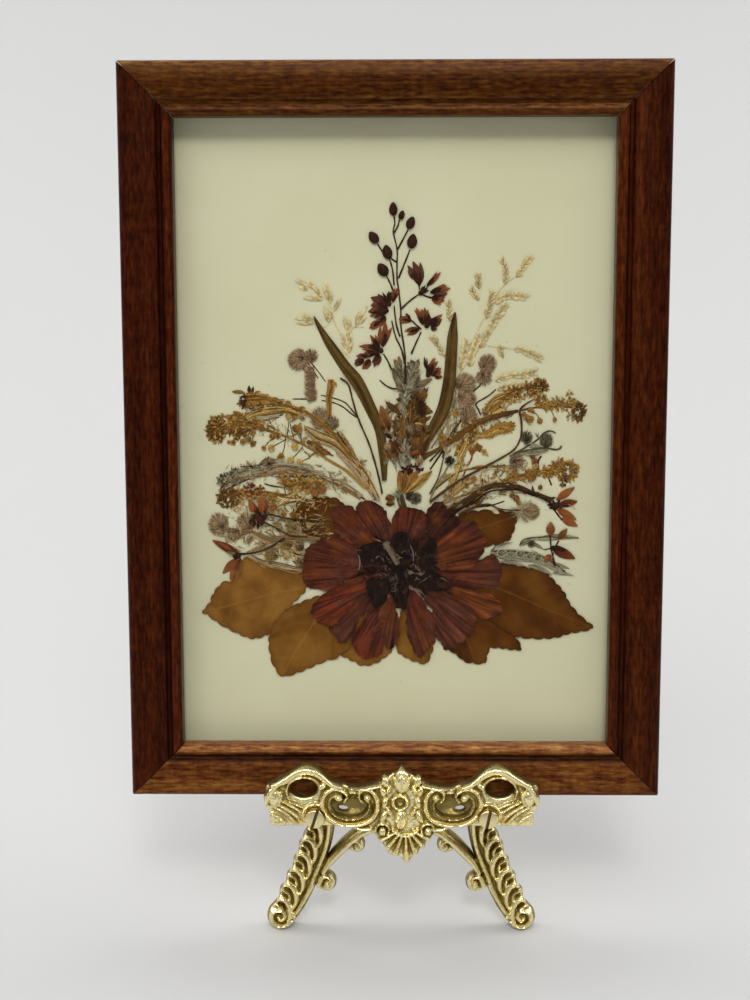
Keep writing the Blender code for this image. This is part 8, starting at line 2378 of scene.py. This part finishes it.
def make_legs(brass):
    half = leg_outlines()
    outlines = half + [mirrored(shape) for shape in half]
    outlines += [oval(0, -52, 17, 17, sides=48), drop_shape((0, -47), (0, -33.6), 7.0, 0.7),
                 drop_shape((-3, -47), (-8.4, -39), 4.6, 0.7), drop_shape((3, -47), (8.4, -39), 4.6, 0.7)]
    legs = Relief(outlines, 0.33)
    carve_legs(legs)
    legs.height = np.minimum(legs.softened(legs.height, 1), LEG_BACK + LEG_THICK - 0.02)
    round_edge(legs, 0.8, 1.0)
    cast = finish_casting(legs, "easel_front_legs_cast", LEG_BACK, brass, "easel_front_legs")
    trim_at_floor(cast)
    fittings = []
    for side in (-1, 1):
        middle = side * SCREW_X
        low = (middle - ARM_WIDTH / 2, ARM_TOP - ARM_HEIGHT, LEG_BACK + 1.2)
        high = (middle + ARM_WIDTH / 2, ARM_TOP, BAR_BACK - 0.35)
        fittings.append(rounded_block("arm", low, high))
        inner = side * (KNUCKLE_WIDTH / 2 + 0.3)
        outer = side * (KNUCKLE_WIDTH / 2 + 3.3)
        low = (min(inner, outer), HINGE_Y - 4.6, HINGE_D - 4.6)
        high = (max(inner, outer), HINGE_Y + 4.6, LEG_BACK + 0.4)
        fittings.append(rounded_block("ear", low, high, 1.1))
    reach = KNUCKLE_WIDTH / 2 + 4.1
    fittings.append(round_bar("pin", PIN_RADIUS, (-reach, HINGE_Y, HINGE_D), (reach, HINGE_Y, HINGE_D)))
    fitted = join_pieces("easel_arms_and_hinge", fittings)
    set_number(fitted, "hollow", np.zeros(len(fitted.data.vertices)))
    settle(fitted, EASEL, brass, "frame_and_easel", "cast_brass", "easel_front_legs")


def trim_at_floor(piece):
    """Cuts off what would reach below the floor, a hundredth of a millimetre above it."""
    edit_all(piece)
    bpy.ops.mesh.bisect(plane_co=(0, 0, 0.00001), plane_no=(0, 0, 1), threshold=0.000001, use_fill=True,
                        clear_inner=True)
    end_edit()


def copy_of_node(node, name):
    """A merged copy of a CAD node, to be dressed."""
    copy = frame["nodes"][node].copy()
    copy.data = copy.data.copy()
    copy.name = name
    copy.parent = None
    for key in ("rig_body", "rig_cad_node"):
        if key in copy:
            del copy[key]
    bpy.context.scene.collection.objects.link(copy)
    face_outwards(copy)
    return copy


def make_back_leg(brass):
    leg = copy_of_node("easel_back_leg", "easel_back_leg_cast")
    apply_modifier(leg, "BEVEL", width=0.0005, segments=3, limit_method="ANGLE", angle_limit=radians(40))
    trim_at_floor(leg)
    smooth_by_angle(leg, 40)
    set_number(leg, "hollow", np.zeros(len(leg.data.vertices)))
    settle(leg, Matrix.Identity(4), brass, "back_leg", "cast_brass", "easel_back_leg")


def make_screw(name, side, turn, finish):
    """A slotted cheese-head screw, turned so that its slot leans."""
    deselect()
    bpy.ops.mesh.primitive_cylinder_add(vertices=48, radius=2.5, depth=1.5, location=(0, 0, 0.75))
    screw = bpy.context.object
    bpy.ops.object.transform_apply(location=True, rotation=True, scale=True)
    apply_modifier(screw, "BEVEL", width=0.35, segments=4, limit_method="ANGLE", angle_limit=radians(50))
    shank = round_bar("shank", 1.5, (0, 0, -9.0), (0, 0, 0.2), 0.3, 24)
    cutter = rounded_block("slot", (-0.42, -4, 0.75), (0.42, 4, 4), 0.08)
    change = screw.modifiers.new("slot", "BOOLEAN")
    change.operation = "DIFFERENCE"
    change.solver = "EXACT"
    change.object = cutter
    select_only(screw)
    bpy.ops.object.modifier_apply(modifier=change.name)
    bpy.data.objects.remove(cutter, do_unlink=True)
    screw = join_pieces(f"{name}_turned", [screw, shank])
    corners = np.array([v.co for v in screw.data.vertices])
    set_vector(screw, "turned",
               np.column_stack([np.hypot(corners[:, 0], corners[:, 1]),
                                np.arctan2(corners[:, 1], corners[:, 0]), corners[:, 2]]))
    in_slot = (np.abs(corners[:, 0]) < 0.5) & (corners[:, 2] < 1.2) & (corners[:, 2] > 0.6)
    set_number(screw, "hollow", in_slot.astype(float))
    smooth_by_angle(screw, 35)
    seat = EASEL @ Matrix.Translation((side * SCREW_X, SCREW_Y, 20.1))
    place = seat @ Matrix.Rotation(radians(turn), 4, "Z")
    settle(screw, place, finish, "frame_and_easel", "cast_brass", name)


def make_easel():
    brass = cast_brass()
    make_bar(brass)
    make_legs(brass)
    make_back_leg(brass)
    turned = screw_brass()
    make_screw("screw_left", -1, -18, turned)
    make_screw("screw_right", 1, -12, turned)


# ---------------------------------------------------------------- camera, light and room

def make_camera():
    lens = bpy.data.cameras.new("camera")
    lens.sensor_fit = "VERTICAL"
    lens.sensor_height = SENSOR
    lens.lens = FOCAL_PIXELS / PICTURE_HEIGHT * SENSOR
    lens.clip_start = 0.01
    camera = bpy.data.objects.new("camera", lens)
    bpy.context.scene.collection.objects.link(camera)
    eye = -(CAMERA_TURN.transposed() @ CAMERA_SHIFT)
    eye = PLANE @ Vector((eye.x, eye.y, eye.z + AIM_DEPTH))
    turn = PLANE_TURN.to_3x3() @ CAMERA_TURN.transposed()
    camera.matrix_world = Matrix.Translation(eye) @ turn.to_4x4()
    bpy.context.scene.camera = camera


def area_light(name, power, size, place, aim, color=(1, 1, 1), tall=None):
    lamp = bpy.data.lights.new(name, "AREA")
    lamp.energy = power
    lamp.color = color
    lamp.size = size
    if tall:
        lamp.shape = "RECTANGLE"
        lamp.size_y = tall
    light = bpy.data.objects.new(name, lamp)
    light.location = place
    light.rotation_euler = (Vector(aim) - Vector(place)).to_track_quat("-Z", "Y").to_euler()
    bpy.context.scene.collection.objects.link(light)


def white_paper():
    paper = Finish("white_paper")
    mottle = paper.noise(paper.place(), 3.0, 2.0)
    return paper.done(base_color=paper.mix(mottle, (0.55, 0.55, 0.545), (0.57, 0.57, 0.565)),
                      roughness=0.85)


def make_room():
    """A sheet of pale paper that lies flat under the easel and sweeps up behind it."""
    deselect()
    bpy.ops.mesh.primitive_grid_add(x_subdivisions=8, y_subdivisions=40, size=1)
    sweep = bpy.context.object
    sweep.name = "paper_sweep"
    width = 4.0
    length = 3.6
    front = 1.3
    corner_y = 0.35
    bend = 0.45
    flat = front + corner_y
    for corner in sweep.data.vertices:
        t = (corner.co.y + 0.5) * length
        if t < flat:
            y, z = t - front, 0.0
        elif t < flat + bend * pi / 2:
            a = (t - flat) / bend
            y, z = corner_y + bend * sin(a), bend * (1 - cos(a))
        else:
            y, z = corner_y + bend, bend + (t - flat - bend * pi / 2)
        corner.co = (corner.co.x * width, y, z)
    smooth_all(sweep)
    sweep.data.materials.append(white_paper())


def make_lights():
    middle = (0, 0, 0.14)
    area_light("key", 5.0, 0.26, (0.06, -1.05, 1.25), middle, (1.0, 0.985, 0.95))
    area_light("fill", 15.0, 1.8, (-0.3, -1.1, 1.75), middle, (1.0, 0.99, 0.975), 1.0)
    area_light("back_fill", 9.0, 1.6, (0.0, 0.75, 1.7), (0, 0.3, 0), (1, 1, 1), 0.8)
    for side in (-1, 1):
        area_light("side_fill", 10.5, 0.9, (side * 1.25, 0.25, 1.0), (0, 0.1, 0))
    world = bpy.data.worlds.new("room")
    world.use_nodes = True
    world.node_tree.nodes["Background"].inputs["Color"].default_value = (0.95, 0.965, 1.0, 1.0)
    world.node_tree.nodes["Background"].inputs["Strength"].default_value = 0.3
    bpy.context.scene.world = world
    bpy.context.scene.view_settings.view_transform = "Standard"


# ---------------------------------------------------------------- all together

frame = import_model()
deselect()
make_camera()
make_room()
make_lights()
make_frame()
make_plants()
make_easel()
